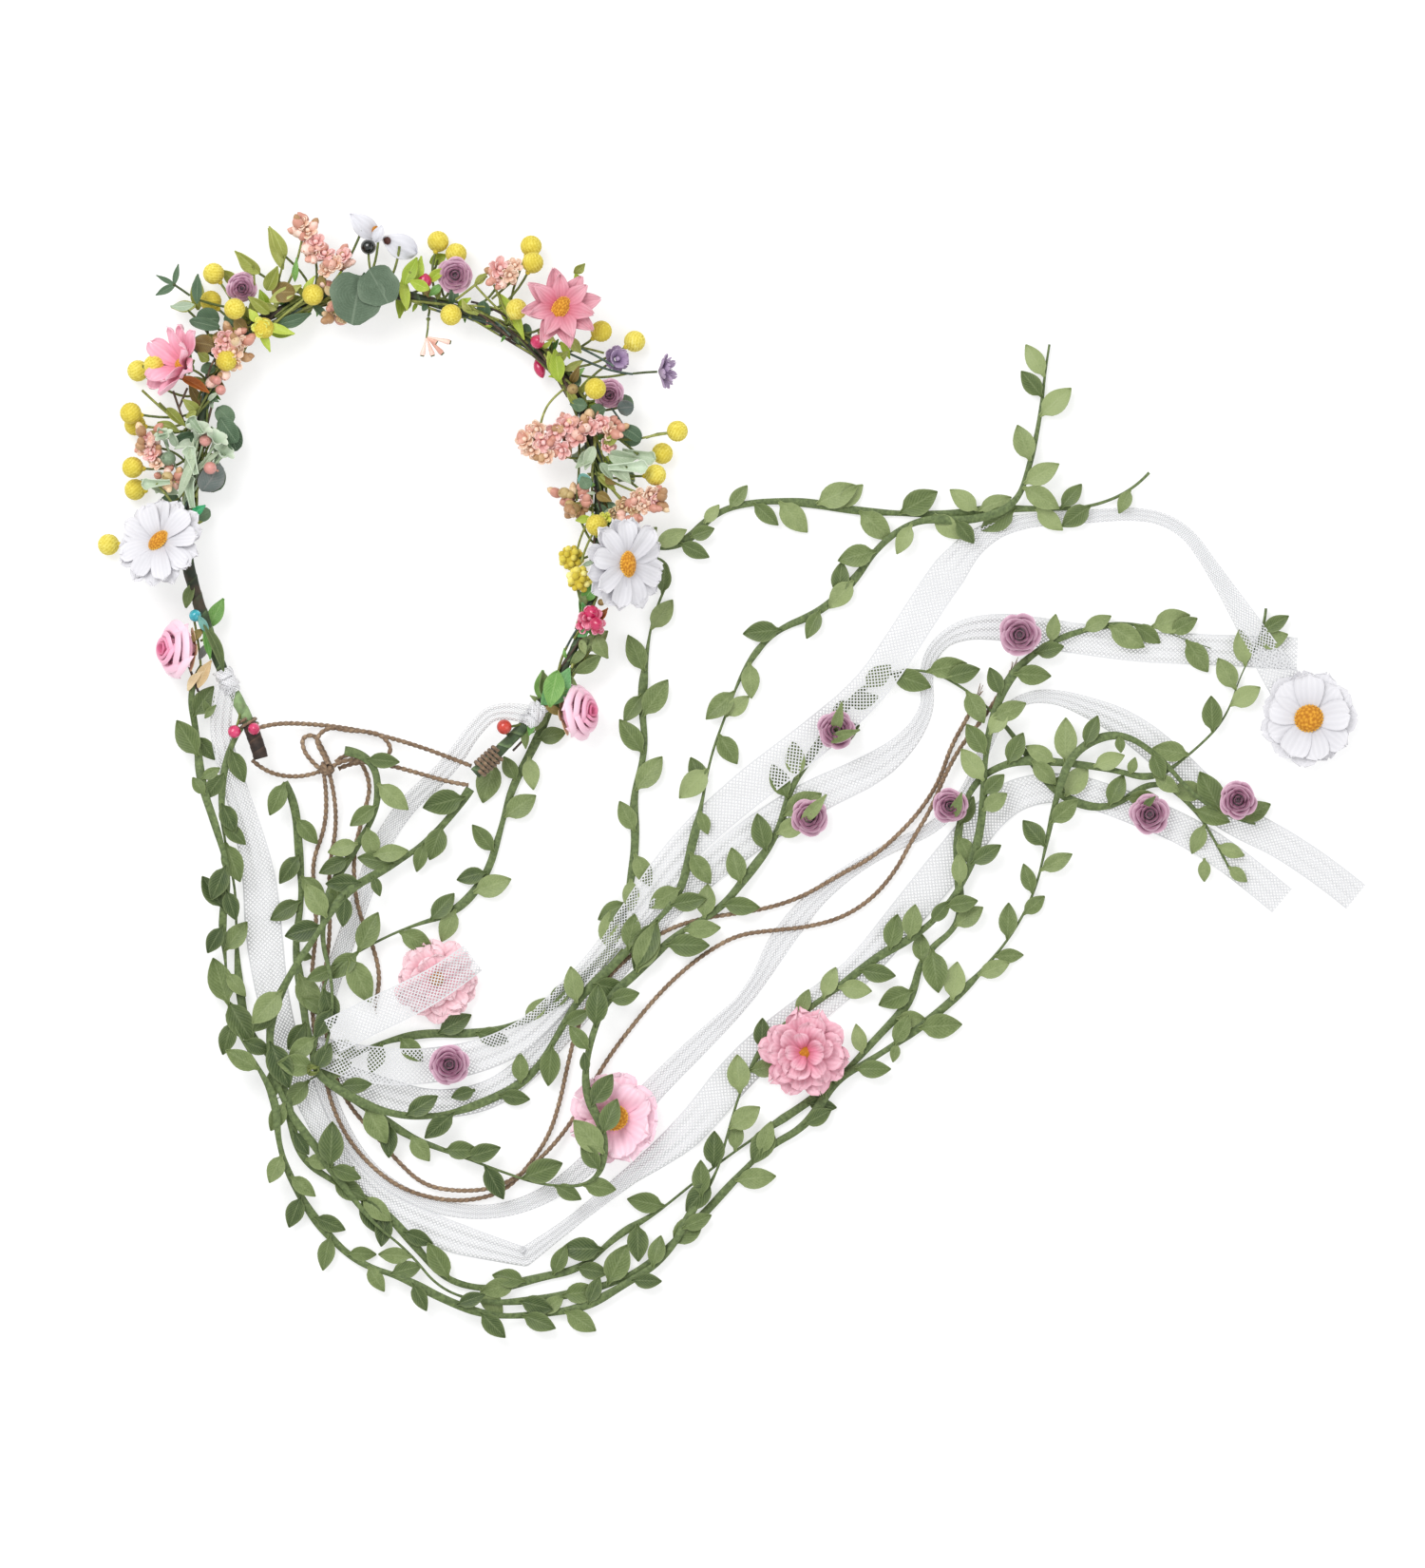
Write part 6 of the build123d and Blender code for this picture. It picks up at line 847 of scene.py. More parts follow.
M = {
    "vine": leafy("vine_cloth", hexa("2c4016"), hexa("5b6c39"), hexa("909e69"), vein=hexa("a3af7f"), rough=0.5, sheen=0.1, vein_amt=0.22, side_amt=0.16, drift=1.0),
    "vine_stem": speckled("vine_stem", hexa("495a2e"), hexa("6a7b48"), hexa("98a774"), 600.0, 0.6, 0.4, 0.1),
    "twine": twine_mat("jute"),
    "net": net_mat("mesh_net"),
    "net_knot": net_mat("mesh_knot", 0.0012, 0.62, (0.78, 0.78, 0.80)),
    "tape": speckled("floral_tape", hexa("1c2613"), hexa("3a4a24"), hexa("6f7f4c"), 420.0, 0.65, 0.6, 0.0, 0.8),
    "brown": speckled("brown_tape", hexa("1f1510"), hexa("3d2c22"), hexa("6a5140"), 500.0, 0.7, 0.6, 0.0),
    "wire": speckled("steel_wire", hexa("707070"), hexa("8c8c8c"), hexa("a8a8a8"), 900.0, 0.35, 0.1, 0.0),
    # daisy_petals: the grey towards the heart of each petal is painted shade; the paler tip colour is the cloth's white
    "white": petal_mat("daisy_petals", hexa("bcbbc2"), hexa("d2d1d6"), hexa("e0dfe3"), 0.13),
    "pink": petal_mat("cosmos_petals", hexa("bf4a62"), hexa("d07f90"), hexa("e2b0ba"), 0.25),
    "pink_side": petal_mat("side_petals", hexa("d86e86"), hexa("ea9bb2"), hexa("f4c3d2"), 0.18),
    "pink_fluff": petal_mat("blossom_petals", hexa("e07d92"), hexa("eeadba"), hexa("f5d6dc"), 0.20),
    "pink_fluff_pale": petal_mat("blossom_petals_pale", hexa("ea8fab"), hexa("f1b6cb"), hexa("f8d8e4"), 0.18),
    "pink_fluff_deep": petal_mat("blossom_petals_deep", hexa("cf5474"), hexa("de8aa2"), hexa("edc0cc"), 0.24),
    "gold": speckled("button_gold", hexa("b5720f"), hexa("dfa02c"), hexa("f2cb60"), 700.0, 0.85, 0.5, 0.1, 0.9),
    "gold_dark": speckled("button_orange", hexa("9a5208"), hexa("cd7f1a"), hexa("e6a545"), 700.0, 0.85, 0.5, 0.2, 0.9),
    "calyx": speckled("calyx_green", hexa("4c6424"), hexa("6f8a3a"), hexa("93ad5c"), 500.0, 0.5, 0.3, 0.0),
    "felt": speckled("felt_pad", hexa("c9c6c4"), hexa("dedcda"), hexa("efeeec"), 1500.0, 0.95, 0.7, 0.3),
    # paper_rose: the near-black base colour is painted shade deep in the cup and the pale tip colour is a painted
    # highlight on the rims, over the plum of the paper
    "rose": petal_mat("paper_rose", hexa("43132b"), hexa("7d3b5e"), hexa("dcb4c8"), 0.05, 0.40, by_tint=0.12, shine=0.7),
    "rose_pale": petal_mat("paper_rose_pale", hexa("8c6285"), hexa("c4a2bf"), hexa("eadbe8"), 0.08, 0.75),
    "foam": petal_mat("foam_rose", hexa("d3608a"), hexa("e78fb4"), hexa("f6d3e1"), 0.0, 0.55, by_tint=0.70),
    "berry": speckled("berry", hexa("cfbb3a"), hexa("e6d75e"), hexa("f3eb9a"), 500.0, 0.8, 0.5, 0.1, 0.7),
    "bud": speckled("peach_bud", hexa("c88d7b"), hexa("e0ac9a"), hexa("f3d5c8"), 300.0, 0.45, 0.2, 0.1, 1.0, 0.15),
    "bud_tan": speckled("tan_bud", hexa("a98058"), hexa("cda67c"), hexa("e6cba4"), 300.0, 0.5, 0.2, 0.1, 1.0, 0.15),
    "pink_bud": speckled("pink_bud", hexa("b81c50"), hexa("dd3f74"), hexa("f07fa0"), 260.0, 0.25, 0.1, 0.0, 0.6, 0.6),
    "red": speckled("red_bud", hexa("b02a1a"), hexa("d8452f"), hexa("ee7a5c"), 260.0, 0.25, 0.1, 0.0, 0.6, 0.6),
    "turquoise": speckled("turquoise_bead", hexa("1f8a98"), hexa("38b0bd"), hexa("6fd2da"), 260.0, 0.2, 0.1, 0.0, 0.4, 0.8),
    "black": speckled("black_bead", hexa("050807"), hexa("0e1513"), hexa("26312d"), 260.0, 0.15, 0.05, 0.0, 0.4, 0.8),
    "lilac": petal_mat("lilac", hexa("5d4468"), hexa("8a6f96"), hexa("b59fbe"), 0.15, 0.65),
    "euc": leafy("eucalyptus", hexa("33452f"), hexa("586b56"), hexa("93a38d"), vein=hexa("a3b09b"), rough=0.7, vein_w=0.03, side_veins=6.0, vein_amt=0.25, side_amt=0.07),
    "euc_dark": leafy("eucalyptus_dark", hexa("2e4530"), hexa("4a6449"), hexa("728a6c"), vein=hexa("8fa386"), rough=0.6, vein_w=0.05),
    "olive": leafy("olive_leaf", hexa("5f6a26"), hexa("8b9340"), hexa("b4b96b"), vein=hexa("c4c886"), rough=0.5),
    "lime": leafy("lime_leaf", hexa("64801a"), hexa("93aa30"), hexa("bccb58"), vein=hexa("c8d674"), rough=0.5),
    "brown_leaf": leafy("brown_leaf", hexa("4a3a1c"), hexa("75602f"), hexa("9c8a52"), vein=hexa("ad9c66"), rough=0.55),
    "green": leafy("green_leaf", hexa("2f5a1e"), hexa("4f8634"), hexa("8ab264"), vein=hexa("a3c47f"), rough=0.5),
    "mint": leafy("mint_leaf", hexa("80937a"), hexa("a8ba9f"), hexa("cfdbc6"), vein=hexa("dbe5d3"), rough=0.75, side_veins=3.0),
    # sheer_petals: the grey towards the base of each petal is painted shade; the paler tip colour is the cloth's white
    "sheer": petal_mat("sheer_petals", hexa("b9b9c0"), hexa("cfcfd5"), hexa("e2e2e8"), 0.16, 0.6),
    "stem": speckled("stem_wire", hexa("4c5a22"), hexa("76803c"), hexa("a3aa66"), 500.0, 0.6, 0.3, 0.0),
    "stem_dark": speckled("stem_dark", hexa("33401f"), hexa("4f5c33"), hexa("76834f"), 500.0, 0.6, 0.3, 0.0),
    "rust": leafy("rust_leaf", hexa("5a2c12"), hexa("96501f"), hexa("c27a3a"), vein=hexa("c98a4c"), rough=0.5),
    "sage": leafy("sage_leaf", hexa("6f8168"), hexa("98a98c"), hexa("c2cdb4"), vein=hexa("d3dcc6"), rough=0.7, side_veins=4.0),
    "plum_leaf": leafy("plum_leaf", hexa("3b4a45"), hexa("5d6a66"), hexa("86807f"), vein=hexa("93908c"), rough=0.6, vein_w=0.05),
    "emerald": leafy("emerald_leaf", hexa("0c6a3c"), hexa("1a8f55"), hexa("57b183"), vein=hexa("6cc295"), rough=0.45),
    "emerald2": leafy("bright_leaf", hexa("2f6b35"), hexa("4f9150"), hexa("8dbb80"), vein=hexa("9cc78e"), rough=0.5),
    "teal": leafy("teal_leaf", hexa("35695f"), hexa("5b968b"), hexa("97c0b6"), vein=hexa("a6ccc3"), rough=0.55),
    "tan": leafy("tan_leaf", hexa("a78a5c"), hexa("cbb083"), hexa("e2cfa9"), vein=hexa("ead9b8"), rough=0.65),
    "olive_stem": speckled("olive_stem", hexa("5d6426"), hexa("888e42"), hexa("b0b46e"), 500.0, 0.6, 0.3, 0.0),
    "twig": speckled("brown_twig", hexa("2c2018"), hexa("4b392c"), hexa("75604c"), 500.0, 0.7, 0.4, 0.0),
    "sage_stem": speckled("sage_stem", hexa("7a8c6e"), hexa("9dae90"), hexa("c0cbb2"), 500.0, 0.7, 0.3, 0.0),
    "dark_stem": speckled("dark_stem", hexa("2e3f35"), hexa("4b5e52"), hexa("748576"), 500.0, 0.6, 0.3, 0.0),
    "pink_pale": speckled("pale_pink_bud", hexa("cf8f86"), hexa("e6ada4"), hexa("f3cdc6"), 300.0, 0.4, 0.2, 0.1, 1.0, 0.2),
    "sage_ball": speckled("sage_bud", hexa("5f7258"), hexa("83967a"), hexa("a9b89f"), 500.0, 0.6, 0.3, 0.1, 0.8),
    "tan_ball": speckled("tan_bud_round", hexa("8d7344"), hexa("b39a63"), hexa("d6c391"), 400.0, 0.5, 0.3, 0.1, 0.9),
    "mint_soft": petal_mat("mint_trumpet", hexa("7f9477"), hexa("a6b99d"), hexa("cfdcc6"), 0.10, 0.7),
    "peach_star": petal_mat("peach_star", hexa("c78e6e"), hexa("e5b99c"), hexa("f5deca"), 0.12, 0.6),
    "pink_star": petal_mat("pink_star", hexa("cf8378"), hexa("e8aaa4"), hexa("f3cdc9"), 0.12, 0.6),
    "tan_star": petal_mat("tan_star", hexa("a98254"), hexa("cfab7c"), hexa("e6cfa8"), 0.12, 0.6),
    "hot_star": petal_mat("hot_star", hexa("a81845"), hexa("dc3a70"), hexa("f4a6bd"), 0.10, 0.4),
    "rust_bud": speckled("rust_bud", hexa("4a1c10"), hexa("7a3420"), hexa("a35a3c"), 400.0, 0.5, 0.3, 0.1, 0.9),
    "lime_star": petal_mat("lime_star", hexa("a3ae22"), hexa("d0d63c"), hexa("e8e978"), 0.12, 0.6),
}

rng = random.Random(11)

# ------------------------------------------------------------------ cords: twine
LINES = {}


def two_ply(pitch):
    def profile(ang, s):
        turn = 2 * math.pi * s / pitch
        r = 0.60 + 0.40 * np.abs(np.cos(ang)) ** 0.8
        return ang + turn, r
    return profile


def twine_piece(name, route, radius=0.00105):
    line = line_of(route, 14)
    LINES[name] = line
    m = Mesh()
    m.tube(line, radius, 10, profile=two_ply(0.0052))
    return m, line


def frays(m, line, at_end=True, count=7, spread=0.0016, reach=0.007):
    """Loose jute fibres at a cut end."""
    p = line[-1] if at_end else line[0]
    t = unit(line[-1] - line[-4]) if at_end else unit(line[0] - line[3])
    side = unit(np.cross(t, (0, 0, 1)))
    for _ in range(count):
        a, b = rng.uniform(-1, 1), rng.uniform(-0.1, 0.8)
        L = reach * rng.uniform(0.5, 1.0)
        pts = [p - t * 0.001 + side * a * 0.0004, p + t * L * 0.45 + side * a * spread * 0.5 + np.array([0, 0, b * 0.0004]),
               p + t * L + side * a * spread + np.array([0, 0, b * 0.0002])]
        for q in pts:
            q[2] = max(q[2], 0.0004)
        m.tube(pts, 0.00016, 5)


twine_specs = [
    ("twine_upper", "object", "taut"), ("twine_lower_left", "knot", "loose"), ("twine_lower_right", "knot", "loose"),
    ("bow_loop_left", "knot", "loose"), ("bow_loop_right", "knot", "loose"),
    ("twine_tail_1", "bare", "loose"), ("twine_tail_2", "bare", "loose"), ("twine_tail_3", "bare", "loose"),
]
twines = {}
for name, far, lay in twine_specs:
    m, line = twine_piece(name, TWINE[name])
    fray = Mesh()
    extra = []
    if length_of(line) < 0.0305:
        print("short", name, length_of(line))
    ob = m.make(name + "_jute", [M["twine"]], slot="twine", replaces=[name])
    if far == "bare":
        frays(fray, line)
        fo = fray.make(name + "_fray", [M["twine"]], slot="twine")
        extra = [fo]
    twines[name] = ob

# the overhand knot and wraps of the bow
knot = Mesh()
kc = np.array(BOW_KNOT) * MM
for k, (tilt, spin, rad) in enumerate([(20, 10, 2.5), (75, 80, 2.6), (60, 150, 2.4), (85, 30, 2.7), (40, 110, 2.3)]):
    X, Y, Z = frame_to((math.sin(math.radians(tilt)) * math.cos(math.radians(spin)), math.sin(math.radians(tilt)) * math.sin(math.radians(spin)), math.cos(math.radians(tilt))))
    a = np.linspace(0, 2 * math.pi * 0.97, 44)
    ring = kc + (X[None] * np.cos(a)[:, None] + Y[None] * np.sin(a)[:, None] * 0.8) * rad * MM
    knot.tube(ring, 0.00105, 10, profile=two_ply(0.0052))
knot.make("bow_knot_wraps", [M["twine"]], slot="twine", replaces=["bow_knot"])

# ------------------------------------------------------------------ cords: leaf vines


def vine_leaf(m, base, tip, width, lift=0.0, curl=0.12, tint=0.5, twist=0.0, nu=10, nv=5):
    """A pointed die-cut leaf with a folded midrib, from the point on the stem to its tip."""
    base, tip = np.array(base, float), np.array(tip, float)
    d = tip - base
    L = np.linalg.norm(d)
    t = d / L
    side = unit(np.cross((0, 0, 1), t))
    up = np.cross(t, side)
    P = np.zeros((nu, nv, 3))
    uv = np.zeros((nu, nv, 2))
    for i in range(nu):
        u = i / (nu - 1)
        w = width / 2 * (math.sin(math.pi * min(1.0, max(0.0, (u - 0.02) / 0.98)) ** 0.92) ** 0.85) if 0 < u < 1 else 0.0
        w = max(w, 0.00035 if u < 0.5 else 0.00012)
        if u < 0.14:
            w = max(w * 0.6, 0.0005)
        for j in range(nv):
            v = j / (nv - 1) * 2 - 1
            fold = (abs(v) ** 1.2) * width * 0.10
            roll = math.sin(twist * u) * v * w
            z = fold + lift * u * (1 - u) * 4 * L * 0.12 - curl * L * (u ** 2) * 0.35 + roll
            P[i, j] = base + t * (L * u) + side * (w * v) + up * z
            uv[i, j] = (u, j / (nv - 1))
    P[..., 2] = np.maximum(P[..., 2], 0.0003)
    m.leaf(P, 0.00028, tint=tint, uv=uv)


leaf_mesh = {f"vine_{i}": Mesh() for i in range(1, 9)}
for name in sorted(leaf_mesh):
    LINES[name] = line_of(VINES[name], 14)

for (bx, by, tx, ty) in VINE_LEAVES:
    best = None
    for name in leaf_mesh:
        d = np.hypot(LINES[name][:, 0] - bx * MM, LINES[name][:, 1] - by * MM)
        i = int(d.argmin())
        if best is None or d[i] < best[0]:
            best = (d[i], name, i)
    d, name, i = best
    p = LINES[name][i].copy()
    if d > 0.006:
        p = np.array([bx * MM, by * MM, p[2]])
    L = math.hypot(tx * MM - p[0], ty * MM - p[1])
    q = np.array([tx * MM, ty * MM, max(0.001, p[2] + rng.uniform(-0.0012, 0.0022))])
    p[2] += 0.0004
    width = min(0.0108, max(0.0044, L * rng.uniform(0.49, 0.60)))
    vine_leaf(leaf_mesh[name], p, q, width, lift=rng.uniform(0.2, 0.9), curl=rng.uniform(0.0, 0.2), tint=rng.uniform(0.1, 0.95), twist=rng.uniform(-0.5, 0.5))

# the runs between the traced leaves: one every 15 mm or so, on alternate sides
TRACED = [(bx * MM, by * MM) for (bx, by, tx, ty) in VINE_LEAVES]
MIDS = [((bx + tx) / 2 * MM, (by + ty) / 2 * MM) for (bx, by, tx, ty) in VINE_LEAVES]
for name in sorted(leaf_mesh):
    line = LINES[name]
    s = np.r_[0, np.cumsum(np.linalg.norm(np.diff(line, axis=0), axis=1))]
    at, hand = 0.010, 1
    while at < s[-1] - 0.004:
        p = np.array([np.interp(at, s, line[:, k]) for k in range(3)])
        q = np.array([np.interp(min(s[-1], at + 0.004), s, line[:, k]) for k in range(3)])
        if min(math.hypot(p[0] - a[0], p[1] - a[1]) for a in TRACED) > 0.0075:
            d = math.atan2(q[1] - p[1], q[0] - p[0]) + hand * math.radians(rng.uniform(25, 55))
            L = rng.uniform(0.0122, 0.0160)
            tip = p + np.array([math.cos(d) * L, math.sin(d) * L, rng.uniform(-0.001, 0.002)])
            mid = (p + tip) / 2
            if min(math.hypot(mid[0] - a[0], mid[1] - a[1]) for a in MIDS) > 0.0050:
                tip[2] = max(0.001, tip[2])
                vine_leaf(leaf_mesh[name], p + np.array([0, 0, 0.0004]), tip, L * rng.uniform(0.48, 0.58), lift=rng.uniform(0.1, 0.8), curl=rng.uniform(0.0, 0.2),
                          tint=rng.uniform(0.05, 0.9), twist=rng.uniform(-0.5, 0.5))
                TRACED.append((p[0], p[1]))
                MIDS.append((mid[0], mid[1]))
                hand = -hand
        at += 0.0052

vine_objects = {}
for name in sorted(leaf_mesh):
    line = LINES[name]
    s = np.r_[0, np.cumsum(np.linalg.norm(np.diff(line, axis=0), axis=1))]
    ph = rng.uniform(0, 6)
    half = (1.58 + 0.30 * np.sin(s / 0.0105 + ph) + 0.12 * np.sin(s / 0.0041 + ph)) * MM
    thin = np.clip((np.sin(s / 0.052 + ph * 1.7) - 0.72) / 0.20, 0, 1)
    half = half * (1 - thin) + 0.55 * MM * thin
    taper = np.clip((s[-1] - s) / 0.06, 0.35, 1.0)
    m = Mesh()
    m.tube(line, 0.001, 8, wide=(half * taper, np.full(len(s), 0.00042)), up=(0, 0, 1), tint=0.45, uv_len=0.02)
    ob = m.make(name + "_stem", [M["vine_stem"]], slot="vine", replaces=[name])
    lv = leaf_mesh[name].make(name + "_leaves", [M["vine"]], slot="vine") if leaf_mesh[name].co else None
    vine_objects[name] = ob

# ------------------------------------------------------------------ net ribbons


def ribbon_sections(runs, step=1.6):
    """Sections (centre, across, width) along the ribbon; a fold turns the strip over at its corner."""
    out = []
    for k, run in enumerate(runs):
        R = np.array(run, float)
        c = line_of([(x, y, z + 0.25) for x, y, z, w, h in run], 12)
        s0 = np.r_[0, np.cumsum(np.linalg.norm(np.diff(R[:, :3], axis=0), axis=1))]
        s1 = np.r_[0, np.cumsum(np.linalg.norm(np.diff(c, axis=0), axis=1))]
        w = np.interp(s1 / s1[-1], s0 / s0[-1], R[:, 3]) * MM
        t = np.gradient(c, axis=0)
        t[:, 2] *= 0.0
        t /= np.linalg.norm(t, axis=1)[:, None]
        n = np.c_[-t[:, 1], t[:, 0], np.zeros(len(t))]
        if k > 0:
            # blend over the fold
            p0, n0, w0 = out[-1]
            for f in np.linspace(0.12, 0.88, 7):
                cc = p0 * (1 - f) + c[0] * f + np.array([0, 0, 0.0006 * math.sin(math.pi * f)])
                ang0, ang1 = math.atan2(n0[1], n0[0]), math.atan2(n[0][1], n[0][0])
                while ang1 - ang0 > math.pi:
                    ang1 -= 2 * math.pi
                while ang1 - ang0 < -math.pi:
                    ang1 += 2 * math.pi
                a = ang0 * (1 - f) + ang1 * f
                out.append((cc, np.array([math.cos(a), math.sin(a), 0]), w0))
        out.extend(zip(c, n, w))
    return out


ribbon_objects = {}
FLAT_W = 0.015
for name in sorted(RIBBONS):
    sec = ribbon_sections(RIBBONS[name])
    nv = 27
    P = np.zeros((len(sec), nv, 3))
    uv = np.zeros((len(sec), nv, 2))
    s = 0.0
    ph = rng.uniform(0, 6)
    for i, (c, n, w) in enumerate(sec):
        if i:
            s += np.linalg.norm(c - sec[i - 1][0])
        for j in range(nv):
            v = j / (nv - 1) - 0.5
            # the cut is 15 mm wide throughout; where it is drawn in, it lies in lengthwise pleats
            extra = max(0.0, min(1.1, FLAT_W / w - 1.0))
            pleat = math.sqrt(extra * 4.0) / (math.pi * 3.0) * w * 0.85
            z = 0.00022 * math.sin(s / 0.011 + ph + 3 * v) + pleat * (1 + math.cos(2 * math.pi * 3.0 * v + 0.8 * math.sin(s / 0.04))) / 1.6 + 0.0002 * math.sin(s / 0.0037 + v * 5)
            P[i, j] = c + n * (w * v) + np.array([0, 0, z])
            uv[i, j] = (s, v * FLAT_W)
    P[..., 2] = np.maximum(P[..., 2], 0.00015)
    m = Mesh()
    m.grid(P, uv, tint=0.0)
    t = np.abs(np.linspace(-1, 1, nv))
    m.tint = np.tile(t, len(sec)).tolist()
    ob = m.make(name + "_net", [M["net"]], slot="mesh", replaces=[name])
    area = float(sum(np.linalg.norm(sec[i + 1][0] - sec[i][0]) * (sec[i][2] + sec[i + 1][2]) / 2 for i in range(len(sec) - 1)))
    ribbon_objects[name] = ob

# ------------------------------------------------------------------ the frame: taped wire, stub, binding, knots


def tape_mat(name, dark, mid, light, pitch=0.0075, brownish=0.7):
    """Crepe tape wound on the slant: each turn is lighter towards its raised edge."""
    def build(m, nt, b):
        u, v = uv_parts(nt)
        turn = mathn(nt, "FRACT", mathn(nt, "ADD", mathn(nt, "DIVIDE", u, pitch), v))
        n1 = noise(nt, 330.0, 4.0, 0.65)
        n2 = noise(nt, 60.0, 2.0)
        t = mathn(nt, "ADD", mathn(nt, "MULTIPLY", n1.outputs["Fac"], 0.55), mathn(nt, "MULTIPLY", mathn(nt, "POWER", turn, 5.0), 0.30))
        t = mathn(nt, "ADD", t, mathn(nt, "MULTIPLY", mathn(nt, "SUBTRACT", n2.outputs["Fac"], 0.4), 0.55))
        t = mathn(nt, "ADD", t, mathn(nt, "MULTIPLY", mathn(nt, "SUBTRACT", tint_of(nt), 0.5), 0.9))
        r = ramp(nt, [(0.22, dark), (0.5, mid), (0.85, light)])
        nt.links.new(t, r.inputs[0])
        n4 = noise(nt, 110.0, 3.0)
        patch = mathn(nt, "MULTIPLY", mathn(nt, "SUBTRACT", n4.outputs["Fac"], 0.50), 7.0, clamp=True)
        c = mix(nt, mathn(nt, "MULTIPLY", patch, brownish), r.outputs[0], hexa("4a382a"))
        nt.links.new(c, b.inputs["Base Color"])
        n3 = noise(nt, 2200.0, 3.0)
        bump(nt, b, mathn(nt, "ADD", mathn(nt, "MULTIPLY", n3.outputs["Fac"], 0.4), turn), 0.45, 0.0004)
        b.inputs["Roughness"].default_value = 0.62
    return material(name, build)


M["tape"] = tape_mat("floral_tape", hexa("1a2614"), hexa("3d5230"), hexa("86a06c"))
M["brown"] = tape_mat("brown_tape", hexa("20150e"), hexa("463226"), hexa("7a5f4a"), 0.005, 0.0)

ring = line_of(FRAME, 20)
ring_s = np.r_[0, np.cumsum(np.linalg.norm(np.diff(ring, axis=0), axis=1))]
RING_LEN = ring_s[-1]


def ring_at(share):
    s = share * RING_LEN
    p = np.array([np.interp(s, ring_s, ring[:, k]) for k in range(3)])
    q = np.array([np.interp(min(RING_LEN, s + 0.001), ring_s, ring[:, k]) for k in range(3)])
    o = np.array([np.interp(max(0, s - 0.001), ring_s, ring[:, k]) for k in range(3)])
    return p, unit(q - o)


def wound(pitch, step=0.10):
    def profile(ang, s):
        ph = (s / pitch + ang / (2 * math.pi)) % 1.0
        lump = 0.03 * math.sin(s / 0.0041) + 0.02 * math.sin(s / 0.0013)
        return ang, (1.0 - step) + step * ph + lump * 0.6
    return profile


dense = np.linspace(0, RING_LEN, 900)
ring_d = np.stack([np.interp(dense, ring_s, ring[:, k]) for k in range(3)], 1)
m = Mesh()
girth = []
for s in dense:
    x = s / RING_LEN
    dip = 0.30 * min(1.0, max(0.0, (x - 0.80) / 0.03)) * min(1.0, max(0.0, (0.925 - x) / 0.02))
    dip = max(dip, 0.12 * min(1.0, max(0.0, (x - 0.24) / 0.03)) * min(1.0, max(0.0, (0.80 - x) / 0.03)))
    girth.append(2.62 * MM * (1 - dip) * (1 + 0.05 * math.sin(s / 0.0093) + 0.03 * math.sin(s / 0.0031)))
m.tube(ring_d, girth, 18, profile=wound(0.0075), uv_len=1.0)
tints = []
for s in dense:
    x = s / RING_LEN
    lightness = 0.42 + 0.10 * math.sin(s / 0.021) + 0.06 * math.sin(s / 0.0071)
    if s < 0.034:
        lightness = 0.95
    elif s < 0.060:
        lightness = 0.62
    elif x > 0.93:
        lightness = 0.62
    tints += [min(1.0, max(0.0, lightness))] * 18
m.tint = tints
m.make("frame_tape_wound", [M["tape"]], slot="tape_green", replaces=["frame_tape"])

m = Mesh()
core = ring_d.copy()
m.tube(core[::6], 1.0 * MM, 10, uv_len=1.0)
m.make("frame_core_wire", [M["wire"]], slot="wire", replaces=["frame_wire"])

# the brown end that sticks out past the tie
m = Mesh()
take = dense < 0.0165
stub = ring_d[take]
m.tube(stub, 3.15 * MM, 20, profile=wound(0.004, 0.06), uv_len=1.0, tint=0.45)
m.make("stub_tape_brown", [M["brown"]], slot="tape_brown", replaces=["stub_tape"])


def wraps(m, share, turns, pitch, radius, r, jitter=0.0, ply=None):
    """A coil of cord round the frame, centred at that share of its length."""
    p, t = ring_at(share)
    X, Y, Z = frame_to(t, (0, 0, 1))
    a = np.linspace(0, 2 * math.pi * turns, int(26 * turns))
    z = (a / (2 * math.pi) - turns / 2) * pitch
    wob = np.array([jitter * math.sin(3.1 * q) for q in a])
    pts = p + X * ((radius + wob) * np.cos(a))[:, None] + Y * ((radius + wob) * np.sin(a))[:, None] + Z * z[:, None]
    m.tube(pts, r, 10, profile=ply)


m = Mesh()
wraps(m, 0.985, 6.0, 0.0019, 0.0032, 0.00095, 0.0002, two_ply(0.005))
m.make("end_binding_wraps", [M["twine"]], slot="twine", replaces=["end_binding"])
m = Mesh()
wraps(m, 0.030, 2.0, 0.0021, 0.0034, 0.00080, 0.0002, two_ply(0.005))
m.make("stub_twine_wraps", [M["twine"]], slot="twine")


# net knots: the ribbon drawn through itself, in crumpled bands
def net_knot(name, share, node_name, spread=0.0042, loops=4):
    m = Mesh()
    p, t = ring_at(share)
    X, Y, Z = frame_to(t, (0, 0, 1))
    for k in range(loops):
        off = (k - (loops - 1) / 2) * spread * 0.55
        lean_ = rng.uniform(-0.35, 0.35)
        n, w = 40, 7
        P = np.zeros((n, w, 3))
        uv = np.zeros((n, w, 2))
        R = 0.0033 + 0.0005 * (k % 2)
        for i in range(n):
            a = 2 * math.pi * i / n
            for j in range(w):
                v = j / (w - 1) - 0.5
                rr = R + 0.0005 * math.sin(5 * a + k * 2 + 6 * v) + 0.0003 * math.sin(11 * a + 9 * v)
                z = off + v * 0.0040 + lean_ * R * math.sin(a)
                P[i, j] = p + X * rr * math.cos(a) + Y * rr * math.sin(a) + Z * z
                uv[i, j] = (a * R, v * 0.004)
        m.grid(P, uv, closed_u=True, tint=0.3)
    m.make(name, [M["net_knot"]], slot="mesh", replaces=[node_name])


net_knot("left_net_knot", LEFT_KNOT, "ribbon_knot_left")
net_knot("right_net_knot", RIGHT_KNOT, "ribbon_knot_right")

